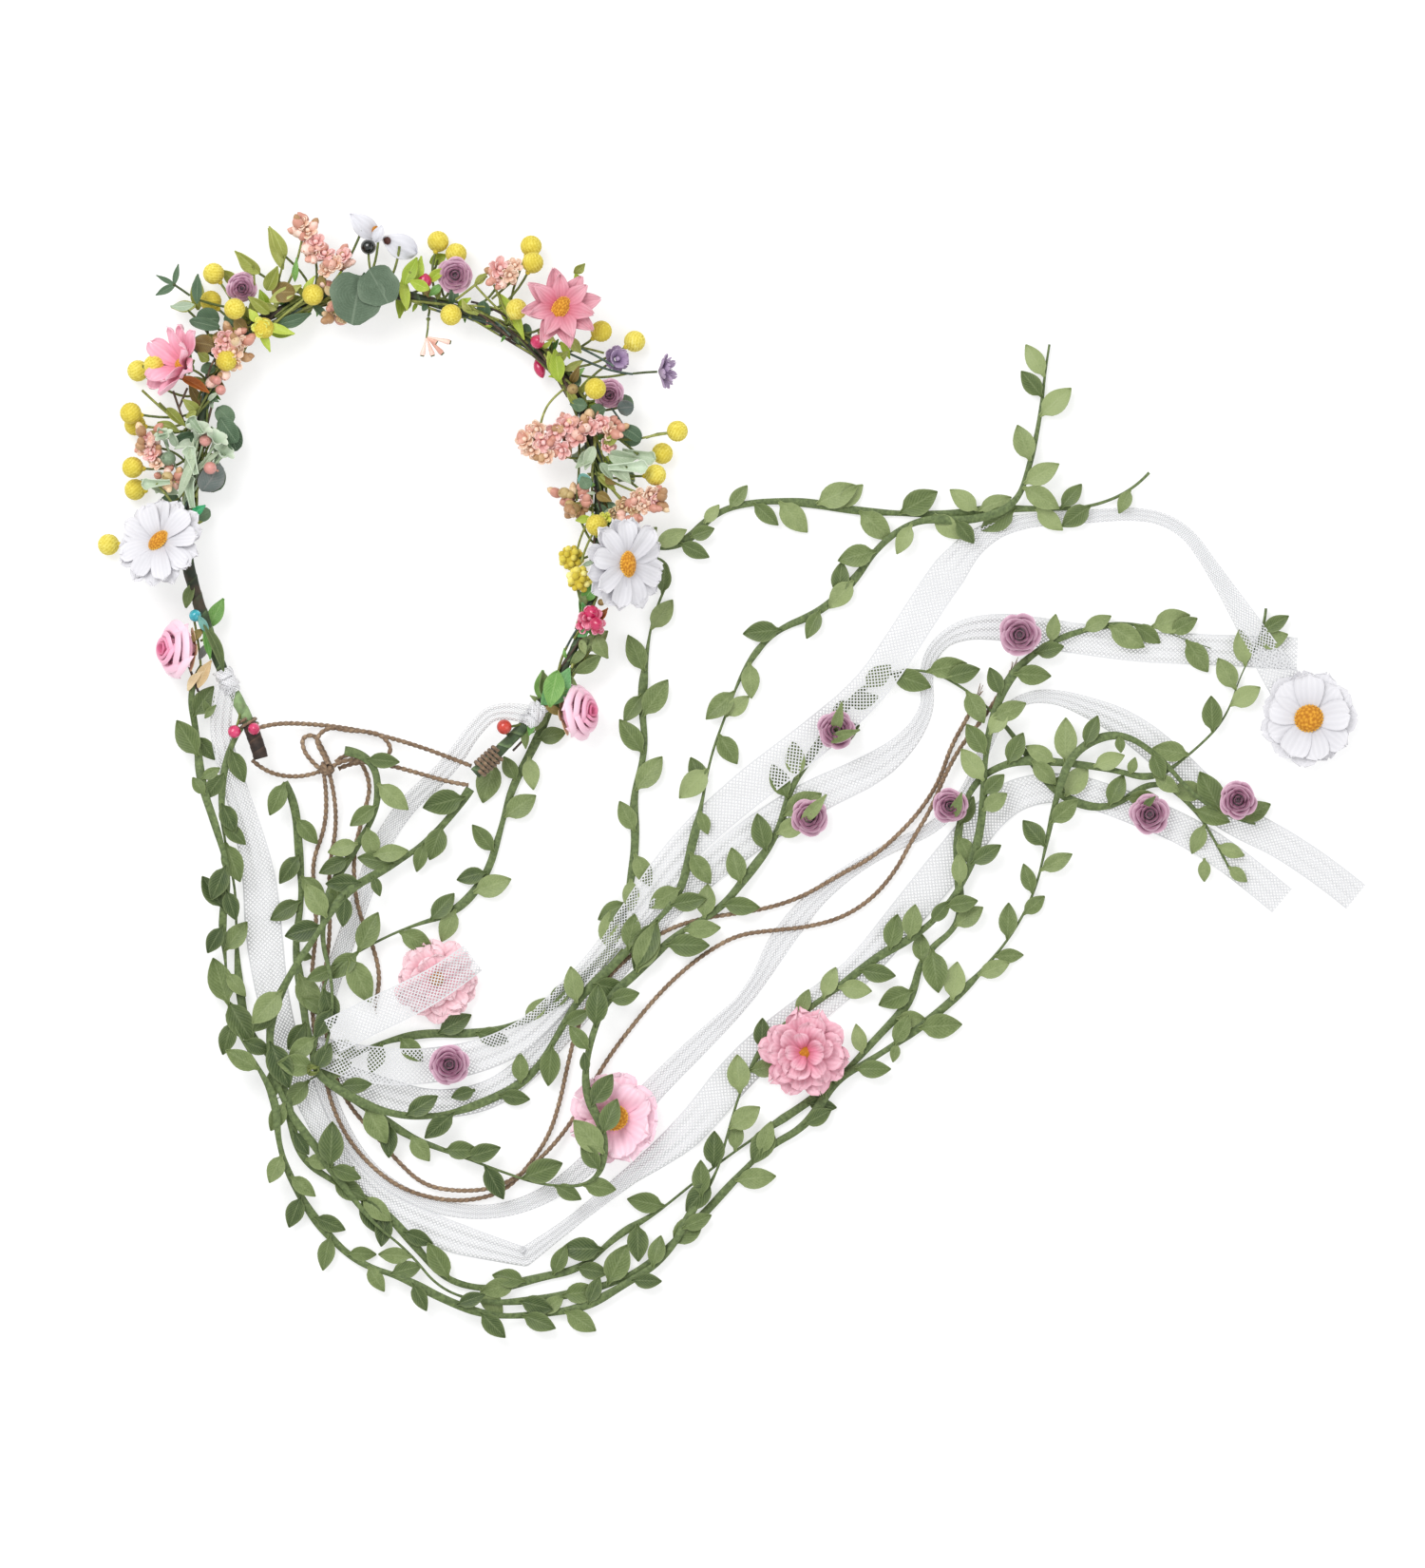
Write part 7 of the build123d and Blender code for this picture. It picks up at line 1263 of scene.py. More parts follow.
# the wire that gathers the strands
m = Mesh()
bx, by, bz = BUNDLE_TIE
for k in range(3):
    a = np.linspace(0, 2 * math.pi, 26)
    tilt = 0.35 * (k - 1)
    ringp = np.stack([(bx + 2.2 * np.cos(a + tilt)) * MM, (by + 1.5 * np.sin(a) + 0.5 * (k - 1)) * MM, (bz + 1.3 + 0.75 * np.sin(a + 1.2 * k)) * MM], 1)
    m.tube(ringp[:-1], 0.00048, 7)
for sgn in (-1, 1):
    m.tube([((bx + 0.5 * sgn) * MM, (by + 0.4) * MM, (bz + 2.0) * MM), ((bx + 1.5 * sgn) * MM, (by + 1.2) * MM, (bz + 2.5) * MM), ((bx + 2.6 * sgn) * MM, (by + 1.4) * MM, (bz + 2.2) * MM)], 0.0004, 6)
m.make("bundle_tie_twist", [M["stem"]], slot="stem", replaces=["bundle_tie"])

# ------------------------------------------------------------------ flower heads


def petal(m, c, F, ang, r0, r1, w, z0, rise, droop, cup=0.0, notch=0.0, teeth=0, slot=0, tint=0.5, skew=0.0, wave=0.0,
          thick=0.00028, nu=11, nv=7, base_w=0.30, widest=0.62, crease=0.0, tip_pow=2.6):
    """One petal of a head at c with frame F = (X, Y, up): from radius r0 to r1, in metres."""
    X, Y, Z = F
    rad = X * math.cos(ang) + Y * math.sin(ang)
    tan = -X * math.sin(ang) + Y * math.cos(ang)
    P = np.zeros((nu, nv, 3))
    uv = np.zeros((nu, nv, 2))
    for i in range(nu):
        u = i / (nu - 1)
        if u < widest:
            k = base_w + (1 - base_w) * math.sin(u / widest * math.pi / 2) ** 1.1
        else:
            q = (u - widest) / (1 - widest)
            k = math.sqrt(max(0.0, 1 - q ** tip_pow)) if tip_pow > 2 else (1 - q) ** (tip_pow / 2)
        k = max(k, 0.16)
        for j in range(nv):
            v = j / (nv - 1) * 2 - 1
            cut = notch * (1 - abs(v)) ** 1.5 if teeth < 2 else notch * (0.5 + 0.5 * math.cos(v * math.pi * teeth))
            uu = u * (1 - cut * u ** 6)
            r = r0 + (r1 - r0) * uu
            z = z0 + rise * uu - droop * uu * uu + cup * v * v * (0.3 + uu) + wave * math.sin(uu * 7 + v * 2.0 + ang * 3)
            z -= crease * math.cos(v * math.pi * 2.0) * math.sin(math.pi * min(uu, 0.95))
            side = w / 2 * k * v + skew * uu * uu
            P[i, j] = c + rad * r + tan * side + Z * z
            uv[i, j] = (u, j / (nv - 1))
    m.leaf(P, thick, slot=slot, tint=tint, uv=uv)


def pebbled(m, c, F, rx, rz, bumps, depth=0.07, nu=22, nv=34, tint=0.5, lower=1.0, seed=0):
    """A round or domed body covered with small rounded grains; the tint is lower in the hollows between grains as
    painted shade.
    """
    X, Y, Z = F
    k = np.arange(bumps) + 0.5
    ph = np.arccos(1 - 2 * k / bumps)
    th = math.pi * (1 + 5 ** 0.5) * k + seed
    D = np.stack([np.sin(ph) * np.cos(th), np.sin(ph) * np.sin(th), np.cos(ph)], 1)
    half = math.sqrt(4 * math.pi / bumps) / 2 * 1.15
    base = len(m.co)

    def point(a, b):
        d = np.array([math.sin(a) * math.cos(b), math.sin(a) * math.sin(b), math.cos(a)])
        g = math.acos(min(1.0, float((D @ d).max())))
        bump_ = math.sqrt(max(0.0, 1 - (g / half) ** 2))
        s = 1 - depth + depth * bump_
        zz = d[2] if d[2] > 0 else d[2] * lower
        return c + (X * d[0] + Y * d[1]) * rx * s + Z * zz * rz * s, bump_

    rows = []
    # painted shade: each point's tint follows the height of its grain, darker in the hollows and lighter on the tops
    p, bb = point(0.0, 0.0)
    m.co.append(p.tolist()); m.uv.append((0, 0)); m.tint.append(tint * 0.5 + 0.5 * bb)
    for i in range(1, nu):
        for j in range(nv):
            p, bb = point(math.pi * i / nu, 2 * math.pi * j / nv)
            m.co.append(p.tolist()); m.uv.append((i / nu, j / nv)); m.tint.append(tint * 0.5 + 0.5 * bb)
    p, bb = point(math.pi, 0.0)
    m.co.append(p.tolist()); m.uv.append((1, 0)); m.tint.append(tint * 0.5 + 0.5 * bb)
    end = len(m.co) - 1
    for j in range(nv):
        q = (j + 1) % nv
        m.faces.append((base, base + 1 + j, base + 1 + q)); m.slots.append(0)
        for i in range(nu - 2):
            a = base + 1 + i * nv
            m.faces.append((a + j, a + nv + j, a + nv + q, a + q)); m.slots.append(0)
        a = base + 1 + (nu - 2) * nv
        m.faces.append((a + j, end, a + q)); m.slots.append(0)


def lean(tilt, heading):
    t, a = math.radians(tilt), math.radians(heading)
    return np.array([math.sin(t) * math.cos(a), math.sin(t) * math.sin(a), math.cos(t)])


buttons, calyxes, pads = Mesh(), Mesh(), Mesh()
for fi, (name, x, y, z, tilt, heading, reach, count, pw, br) in enumerate(FLOWERS):
    c = np.array([x, y, z]) * MM
    F = frame_to(lean(tilt, heading), (1, 0, 0))
    R = reach * MM
    m = Mesh()
    mat = M["white"]
    if name == "daisy_far":
        for layer, (cnt, kk, rise, droop) in enumerate([(11, 1.0, 0.0024, 0.0026), (9, 0.90, 0.0040, 0.0030)]):
            ph = rng.uniform(0, 1)
            for i in range(cnt):
                a = 2 * math.pi * (i + ph) / cnt + rng.uniform(-0.06, 0.06)
                petal(m, c, F, a, 0.0016, R * kk * rng.uniform(0.90, 0.995), rng.uniform(0.0112, 0.0132), 0.0003 + 0.0008 * layer, rise * rng.uniform(0.7, 1.2), droop,
                      cup=rng.uniform(0.0002, 0.0009), notch=rng.uniform(0.03, 0.08), teeth=rng.choice([1, 1, 2]), tint=rng.uniform(0.0, 1.0), skew=rng.uniform(-0.0008, 0.0008),
                      wave=0.0002, crease=0.00016, widest=0.68, base_w=0.34, nv=11, tip_pow=2.9)
    elif name.startswith("daisy"):
        ph = rng.uniform(0, 1)
        n = count
        for layer, (kk, zz, rise, droop) in enumerate([(1.0, 0.0003, 0.0030, 0.0036), (0.94, 0.0010, 0.0042, 0.0036)]):
            cnt = n if layer == 0 else max(7, n - 4)
            for i in range(cnt):
                a = 2 * math.pi * (i + ph + 0.5 * layer) / cnt + rng.uniform(-0.07, 0.07)
                rr = R * kk * rng.uniform(0.95, 1.0)
                petal(m, c, F, a, 0.0016, rr, rng.uniform(0.0080, 0.0098), zz, rise * rng.uniform(0.5, 1.4), droop * rng.uniform(0.8, 1.6),
                      cup=rng.uniform(0.0004, 0.0013), notch=rng.uniform(0.04, 0.09), teeth=rng.choice([2, 3]), tint=rng.uniform(0.0, 1.0), skew=rng.uniform(-0.0010, 0.0010),
                      wave=0.0003, crease=0.00020, widest=0.70, base_w=0.34, nv=11, tip_pow=2.6)
    elif name == "cosmos":
        mat = M["pink"]
        for layer, cnt in ((0, 8), (1, 7)):
            for i in range(cnt):
                a = 2 * math.pi * (i + 0.25 + 0.5 * layer) / cnt + rng.uniform(-0.09, 0.09)
                petal(m, c, F, a, 0.0014, R * (1.0 if layer == 0 else 0.84) * rng.uniform(0.94, 1.0), rng.uniform(0.0084, 0.0098) * (1 if layer == 0 else 0.85),
                      0.0003 + 0.0009 * layer, 0.0050 + 0.002 * layer, 0.0044, cup=0.0014, notch=0.05, teeth=2, tint=rng.uniform(0.0, 0.7), wave=0.0005,
                      crease=0.0005, widest=0.52, base_w=0.36, nv=9, tip_pow=1.25, skew=rng.uniform(-0.001, 0.001))
    elif name == "side_blossom":
        mat = M["pink_side"]
        for layer, (cnt, rr, rise, hollow) in enumerate([(6, 0.0168, 0.0064, 0.0023), (5, 0.0134, 0.0113, 0.0024)]):
            for i in range(cnt):
                a = 2 * math.pi * (i + 0.28 + 0.5 * layer) / cnt + rng.uniform(-0.16, 0.16)
                petal(m, c, F, a, 0.0010, rr * rng.uniform(0.90, 1.0), rng.uniform(0.0082, 0.0098), 0.0004, rise * rng.uniform(0.85, 1.15), 0.0006, cup=hollow,
                      notch=rng.uniform(0.03, 0.08), teeth=2, tint=rng.uniform(0.0, 0.9), wave=0.0009, crease=0.0006, widest=0.60, base_w=0.30, nv=11, nu=12, tip_pow=2.1,
                      skew=rng.uniform(-0.0022, 0.0022))
    else:
        mat = M[{"blossom_1": "pink_fluff", "blossom_2": "pink_fluff_pale", "blossom_3": "pink_fluff_deep"}[name]]
        layers = {"blossom_1": [(12, 0.99, 0.0104), (10, 0.86, 0.0100), (8, 0.62, 0.0082)],
                  "blossom_2": [(9, 1.0, 0.0140), (8, 0.86, 0.0126)],
                  "blossom_3": [(10, 1.0, 0.0112), (9, 0.85, 0.0100), (8, 0.64, 0.0084), (5, 0.42, 0.0070)]}[name]
        for layer, (cnt, kk, pw_) in enumerate(layers):
            for i in range(cnt):
                a = 2 * math.pi * (i + rng.uniform(-0.22, 0.22) + 0.5 * layer) / cnt
                rr = R * kk * (rng.uniform(0.84, 1.0) if name == "blossom_1" else rng.uniform(0.93, 1.0))
                petal(m, c, F, a, 0.0012, rr, pw_ * rng.uniform(0.88, 1.10), 0.0002 + 0.0008 * layer,
                      (0.0010 + 0.0023 * layer + rng.uniform(0, 0.0014)) * (0.62 if name == "blossom_1" else 1.0), 0.0008 + 0.0004 * layer,
                      cup=rng.uniform(-0.0002, 0.0010), notch=rng.uniform(0.08, 0.18),
                      teeth=rng.choice([2, 3, 4, 5]), tint=rng.uniform(0.0, 1.0), wave=0.0006, crease=0.0004, skew=rng.uniform(-0.0020, 0.0020), widest=0.68, base_w=0.34, nv=13,
                      nu=13, tip_pow={"blossom_1": 2.15, "blossom_2": 2.9, "blossom_3": 2.3}[name])
    for k in range(len(m.co)):
        m.co[k][2] = max(m.co[k][2], 0.0008)
    m.make(name + "_cloth", [mat], body=name + "_head", slot="petal_white" if mat is M["white"] else "petal_pink", replaces=[name + "_petals"])
    # middle
    up = F[2]
    if name in ("blossom_1", "blossom_3"):
        pebbled(buttons, c + up * 0.0026, F, br * MM, 0.0016, 40, 0.10, 14, 22, tint=0.2)
    else:
        long_, short_, turn_ = {"daisy_left": (0.94, 0.60, 40), "daisy_right": (1.0, 0.70, 95), "cosmos": (1.16, 0.74, 58),
                                "side_blossom": (0.9, 0.8, 0)}.get(name, (0.96, 0.9, 20))
        ct, st_ = math.cos(math.radians(turn_)), math.sin(math.radians(turn_))
        G = (F[0] * ct + F[1] * st_, -F[0] * st_ + F[1] * ct, F[2])
        half = br * MM * (1.10 if name == "blossom_2" else 1.0)
        start = len(buttons.co)
        lift_ = 0.0022 if name == "blossom_2" else 0.0
        pebbled(buttons, c + up * (0.0024 + lift_), G, half, 0.0024, 110, 0.10, 26, 44, tint=0.5, lower=0.5, seed=fi)
        for k in range(26):
            a = 2 * math.pi * k / 26
            p = c + up * (0.0022 + lift_) + (G[0] * math.cos(a) + G[1] * math.sin(a)) * half * 0.95
            buttons.ball(p, (0.00058, 0.00058, 0.0009), G, 6, 8, tint=0.85)
        for k in range(start, len(buttons.co)):
            d = np.array(buttons.co[k]) - c
            d = d + G[0] * (d @ G[0]) * (long_ - 1) + G[1] * (d @ G[1]) * (short_ - 1)
            buttons.co[k] = (c + d).tolist()
    if tilt == 0:
        n = 40
        P = np.zeros((2, 12, 3))
        pads.tube([c - up * 0.0040 + up * 0.00002, c - up * 0.0028], 8.4 * MM, 40, tint=0.5)
        calyxes.tube([c - up * 0.0028, c - up * 0.0002], 2.9 * MM, 16, tint=0.5)
    else:
        calyxes.tube([c - up * 0.0037, c - up * 0.0026, c - up * 0.0002], [0.0015, 0.0023, 0.0033], 16, tint=0.5)
        for i in range(6):
            a = 2 * math.pi * i / 6
            petal(calyxes, c - up * 0.0012, F, a, 0.0018, 0.0058, 0.0026, 0.0, 0.0010, 0.0002, tint=0.7, nu=6, nv=4, widest=0.4)
buttons.make("flower_button_domes", [M["gold"]], slot="button", replaces=["flower_buttons"])
calyxes.make("flower_calyx_cups", [M["calyx"]], slot="calyx", replaces=["flower_calyxes"])
pads.make("flower_felt_pads", [M["felt"]], slot="calyx")

# ------------------------------------------------------------------ roses


def layered_rose(m, c, F, r, z0, z1, counts=(2, 3, 3, 4, 5), tint=0.5, thick=0.0004, ragged=0.05):
    """A rose of cupped petals, each ring wider and lower than the one inside it, with the tips turned out."""
    X, Y, Z = F
    h = z1 - z0
    K = len(counts)
    ph = rng.uniform(0, 6.28)
    for k, cnt in enumerate(counts):
        f = k / (K - 1)
        R = r * (0.19 + 0.67 * f ** 0.95)
        top = h * (1.0 - 0.40 * f ** 1.6)
        for i in range(cnt):
            a0 = ph + 2.4 * k + 2 * math.pi * (i + rng.uniform(-0.10, 0.10)) / cnt
            span = min(2.2, math.pi / cnt * 1.34)
            nu, nv = 10, 13
            P = np.zeros((nu, nv, 3))
            uv = np.zeros((nu, nv, 2))
            w1, w2 = rng.uniform(0, 6), rng.uniform(0, 6)
            turn_out = rng.uniform(0.10, 0.17) * (0.15 + f)
            for p_ in range(nu):
                t = p_ / (nu - 1)
                for j in range(nv):
                    v = j / (nv - 1) * 2 - 1
                    a = a0 + v * span * (0.45 + 0.55 * math.sin(math.pi / 2 * min(1.0, t * 1.25)))
                    curl_ = max(0.0, (t - 0.72) / 0.28)
                    rad = R * (0.34 + 0.62 * math.sin(math.pi / 2 * t) ** 0.8) * (1 + 0.075 * v) + r * turn_out * curl_ ** 1.5
                    rad *= (1 + 0.05 * math.sin(4 * a + w1) * t) * (1 - 0.17 * abs(v) ** 2.5 * f * t)
                    edge = 1 - 0.30 * abs(v) ** 2.4 - ragged * (0.5 + 0.5 * math.sin(7 * v + w2))
                    zz = z0 + h * 0.04 + (top - h * 0.04) * (math.sin(math.pi / 2 * min(1.0, t * 1.1)) * (1 - t) + edge * t) - h * 0.07 * curl_ ** 2
                    P[p_, j] = c + (X * math.cos(a) + Y * math.sin(a)) * min(rad, r * 1.0) + Z * zz
                    # colour runs from dark at the foot of each petal to light at its rim and on the outer rings:
                    # painted shade inside the cup, painted highlight on the rims
                    uv[p_, j] = (0.04 + 0.90 * t ** 2.6 * (0.55 + 0.45 * f) + 0.06 * abs(v) ** 3, 0.5)
            m.leaf(P, thick, tint=min(1.0, max(0.0, tint * (0.4 + 0.9 * f) + rng.uniform(-0.12, 0.12))), uv=uv)
    m.ball(c + Z * (z0 + h * 0.30), (r * 0.50, r * 0.50, h * 0.28), F, 8, 14, tint=0.0)


m = Mesh()
for x, y, z, r in CROWN_ROSES:
    layered_rose(m, np.array([x, y, z]) * MM, frame_to((rng.uniform(-0.3, 0.3), rng.uniform(-0.3, 0.1), 1), (1, 0, 0)), r * MM, -0.66 * r * MM, 0.58 * r * MM, (2, 3, 3, 4, 5), 0.7, ragged=0.10)
m.make("crown_rose_paper", [M["rose"]], slot="rose", replaces=["crown_roses"])
m = Mesh()
for k, (x, y, z, r) in enumerate(TRAIL_ROSES):
    layered_rose(m, np.array([x, y, z]) * MM, frame_to((0, 0, 1), (math.cos(k), math.sin(k), 0)), r * MM, 0.0001, 10.3 * MM, (2, 3, 3, 4, 5), rng.uniform(0.3, 0.8), ragged=0.10)
m.make("trail_rose_paper", [M["rose"]], slot="rose", replaces=["trail_roses"])

def foam_rose(m, c, F, r, z0, z1):
    """A moulded foam rose: a tight rolled bud inside broad petals that open out to the rim."""
    X, Y, Z = F
    h = z1 - z0
    ph = rng.uniform(0, 6.28)
    # ring radius at the lip, lip height, petals, how far each lip turns out
    rings = [(0.20, 1.00, 2, 0.00), (0.34, 0.97, 3, 0.03), (0.50, 0.92, 3, 0.07), (0.70, 0.80, 4, 0.14), (0.86, 0.62, 5, 0.20)]
    for k, (fr, top, cnt, out) in enumerate(rings):
        f = k / (len(rings) - 1)
        for i in range(cnt):
            a0 = ph + 2.1 * k + 2 * math.pi * (i + rng.uniform(-0.06, 0.06)) / cnt
            span = min(2.4, math.pi / cnt * 1.42)
            nu, nv = 14, 17
            P = np.zeros((nu, nv, 3))
            uv = np.zeros((nu, nv, 2))
            lift = rng.uniform(-0.03, 0.03)
            w1 = rng.uniform(0, 6)
            for p_ in range(nu):
                t = p_ / (nu - 1)
                for j in range(nv):
                    v = j / (nv - 1) * 2 - 1
                    a = a0 + v * span * math.sin(math.pi / 2 * min(1.0, 0.25 + t * 1.1))
                    lip = max(0.0, (t - 0.66) / 0.34)
                    rad = r * fr * (0.30 + 0.68 * math.sin(math.pi / 2 * t) ** 0.9) * (1 + 0.06 * v)
                    rad += r * out * lip ** 1.6 * (1 - 0.45 * v * v)
                    rad *= 1 + 0.022 * math.sin(3 * a + w1) * t
                    edge = 1 - 0.26 * abs(v) ** 3
                    zz = z0 + h * 0.04 + h * (top + lift) * 0.96 * (math.sin(math.pi / 2 * min(1.0, t * 1.15)) * (1 - t) + edge * t) - h * 0.10 * (0.3 + f) * lip ** 2
                    P[p_, j] = c + (X * math.cos(a) + Y * math.sin(a)) * min(rad, r * 0.995) + Z * zz
                    P[p_, j][2] = max(P[p_, j][2], 0.0010 + 0.0007 * (1 - t))
                    uv[p_, j] = (0.02 + 0.34 * f + 0.60 * t ** 2.2 * f, 0.5)
            m.leaf(P, 0.0006, tint=min(1.0, max(0.0, 0.10 + 0.90 * f + rng.uniform(-0.06, 0.06))), uv=uv)
    m.ball(c + Z * (z0 + h * 0.34), (r * 0.42, r * 0.42, h * 0.30), F, 8, 14, tint=0.0)
    m.ball(c + Z * (z0 + h * 0.36), (r * 0.74, r * 0.74, h * 0.20), F, 8, 18, tint=0.6)


m = Mesh()
for x, y, z, r, tilt, heading in FOAM_ROSES:
    c = np.array([x, y, z]) * MM
    F = frame_to(lean(tilt, heading), (0, 0, 1))
    foam_rose(m, c, F, r * MM, -0.68 * r * MM, 0.58 * r * MM)
m.make("foam_rose_heads", [M["foam"]], slot="foam_pink", replaces=["foam_roses"])
# the green and tan cups behind the foam roses
m = Mesh()
for x, y, z, r, tilt, heading in FOAM_ROSES:
    c = np.array([x, y, z]) * MM
    F = frame_to(lean(tilt, heading), (0, 0, 1))
    for i in range(6):
        petal(m, c - F[2] * 0.70 * r * MM, F, 2 * math.pi * i / 6, 0.0012, r * 0.86 * MM, 0.0050, 0.0, 0.30 * r * MM, 0.0002, tint=rng.uniform(0.2, 0.9), nu=8, nv=6, widest=0.4)
for k in range(len(m.co)):
    m.co[k][2] = max(m.co[k][2], 0.0006)
m.make("foam_rose_sepals", [M["tan"]], slot="calyx")

# ------------------------------------------------------------------ berries, buds and beads


def islands(name):
    me = frame["nodes"][name].data
    co = np.zeros(len(me.vertices) * 3)
    me.vertices.foreach_get("co", co)
    co = co.reshape(-1, 3)
    key, inv = np.unique(np.round(co * 2e5).astype(np.int64), axis=0, return_inverse=True)
    inv = inv.ravel()
    parent = list(range(len(key)))

    def find(a):
        while parent[a] != a:
            parent[a] = parent[parent[a]]
            a = parent[a]
        return a
    for e in me.edges:
        a, b = find(inv[e.vertices[0]]), find(inv[e.vertices[1]])
        if a != b:
            parent[a] = b
    groups = {}
    for i in range(len(co)):
        groups.setdefault(find(inv[i]), []).append(i)
    out = [co[g] for g in groups.values()]
    out.sort(key=lambda p: tuple(np.round(p.mean(0), 4)))
    return out


def centre_size(P):
    lo, hi = P.min(0), P.max(0)
    return (lo + hi) / 2, hi - lo


def nearest_ring(p):
    d = np.linalg.norm(ring_d - p, axis=1)
    return ring_d[int(d.argmin())]


m = Mesh()
for k, P in enumerate(islands("yellow_berries")):
    c, size = centre_size(P)
    n_ = max(1, round(max(size[:2]) / 0.009 - 0.35))
    r = min(size) / 2 * 1.02
    out = unit(c - nearest_ring(c))
    if min(math.hypot(c[0] - 0.0752, c[1] + 0.0132), math.hypot(c[0] - 0.0776, c[1] + 0.0228)) < 0.006:
        # a knot of small flowers instead of one round head
        r *= 1.25
        c = np.array([c[0], c[1], max(c[2], r * 1.04)])
        for q in range(22):
            zq = 1 - 2 * (q + 0.5) / 22
            aq = 2.39996 * q
            dq = np.array([math.sqrt(1 - zq * zq) * math.cos(aq), math.sqrt(1 - zq * zq) * math.sin(aq), zq])
            m.ball(c + dq * r * 0.74, (r * 0.27 * rng.uniform(0.8, 1.2),) * 3, frame_to(dq), 7, 9, tint=rng.uniform(0.2, 1.0))
        m.ball(c, r * 0.66, None, 8, 12, tint=0.1)
        continue
    pebbled(m, c, frame_to(out + np.array([0, 0, 0.4]), (0, 0, 1)), r, r, 150, 0.09, 30, 46, tint=rng.uniform(0.2, 0.7), seed=k)
    # short stalk collar
    m.ball(c - out * r * 0.92, (0.0012, 0.0012, 0.0016), frame_to(out), 6, 8, tint=0.0)
for k in range(len(m.co)):
    m.co[k][2] = max(m.co[k][2], 0.0002)
m.make("berry_grains", [M["berry"]], slot="berry", replaces=["yellow_berries"])


def bud(m, c, axis, r, long=1.5, tint=0.5, lobes=3):
    """A waxy oval bud with a closed tip."""
    F = frame_to(axis, (0.3, 0.2, 0.9))

    def shape(t):
        return 0.86 + 0.24 * math.sin(math.pi * min(1.0, t * 1.15)) - 0.32 * max(0.0, t - 0.62)
    m.ball(c, (r, r, r * long), F, 10, 12, tint=tint, shape=shape)
    m.ball(c + F[2] * r * long * 0.86, (r * 0.24, r * 0.24, r * 0.3), F, 5, 7, tint=0.05)
    m.ball(c - F[2] * r * long * 0.80, (r * 0.55, r * 0.55, r * 0.42), F, 5, 8, tint=0.0)


m, tan_ = Mesh(), Mesh()
twig = Mesh()
buds_at = []
for k, P in enumerate(islands("peach_buds")):
    c, size = centre_size(P)
    buds_at.append(c)
spots = np.array(buds_at)
for k, c in enumerate(spots):
    near = spots[np.linalg.norm(spots - c, axis=1) < 0.013]
    mid = near.mean(0) - np.array([0, 0, 0.003])
    axis = unit(unit(c - mid) + np.array([rng.uniform(-0.35, 0.35), rng.uniform(-0.35, 0.35), rng.uniform(0.0, 0.5)]))
    kind = m if rng.random() < 0.74 else tan_
    bud(kind, c, axis, 0.00205 * rng.uniform(0.88, 1.12), rng.uniform(1.35, 1.7), tint=rng.uniform(0.1, 1.0))
    twig.tube([c - axis * 0.0022, (c + mid) / 2 - np.array([0, 0, 0.0008]), mid], 0.00032, 6)
    for _ in range(1):
        a = rng.uniform(0, 6.28)
        d = unit(axis + np.array([math.cos(a), math.sin(a), 0.2]) * 0.9)
        bud(kind if rng.random() < 0.75 else tan_, c - axis * 0.0010 + d * 0.0030, d, 0.00150 * rng.uniform(0.8, 1.1), 1.5, tint=rng.uniform(0.1, 1.0))
m.make("peach_bud_clusters", [M["bud"]], slot="bud", replaces=["peach_buds"])
tan_.make("tan_bud_clusters", [M["bud_tan"]], slot="bud")
twig.make("bud_twigs", [M["stem"]], slot="stem")

m = Mesh()
for P in islands("pink_buds"):
    c, size = centre_size(P)
    r = min(size) / 2
    out = unit(c - nearest_ring(c)) + np.array([0, 0, 0.2])
    if c[0] > 0.055 and 0.05 < c[1] < 0.07:
        out = np.array([0.35, -1, 0.1])
        bud(m, c, out, r * 0.85, 1.9, tint=0.4)
    else:
        bud(m, c, out, r, 1.15, tint=0.5)
m.make("pink_bud_gloss", [M["pink_bud"]], slot="pink_bud", replaces=["pink_buds"])
for nm, mt, sl in (("red_bud", "red", "red_bud"), ("turquoise_bead", "turquoise", "turquoise"), ("black_bead", "black", "black")):
    m = Mesh()
    for P in islands(nm):
        c, size = centre_size(P)
        m.ball(c, min(size) / 2, None, 14, 20, tint=0.5)
    m.make(nm + "_round", [M[mt]], slot=SLOT_OF[nm], replaces=[nm])

# ------------------------------------------------------------------ leaves of the crown


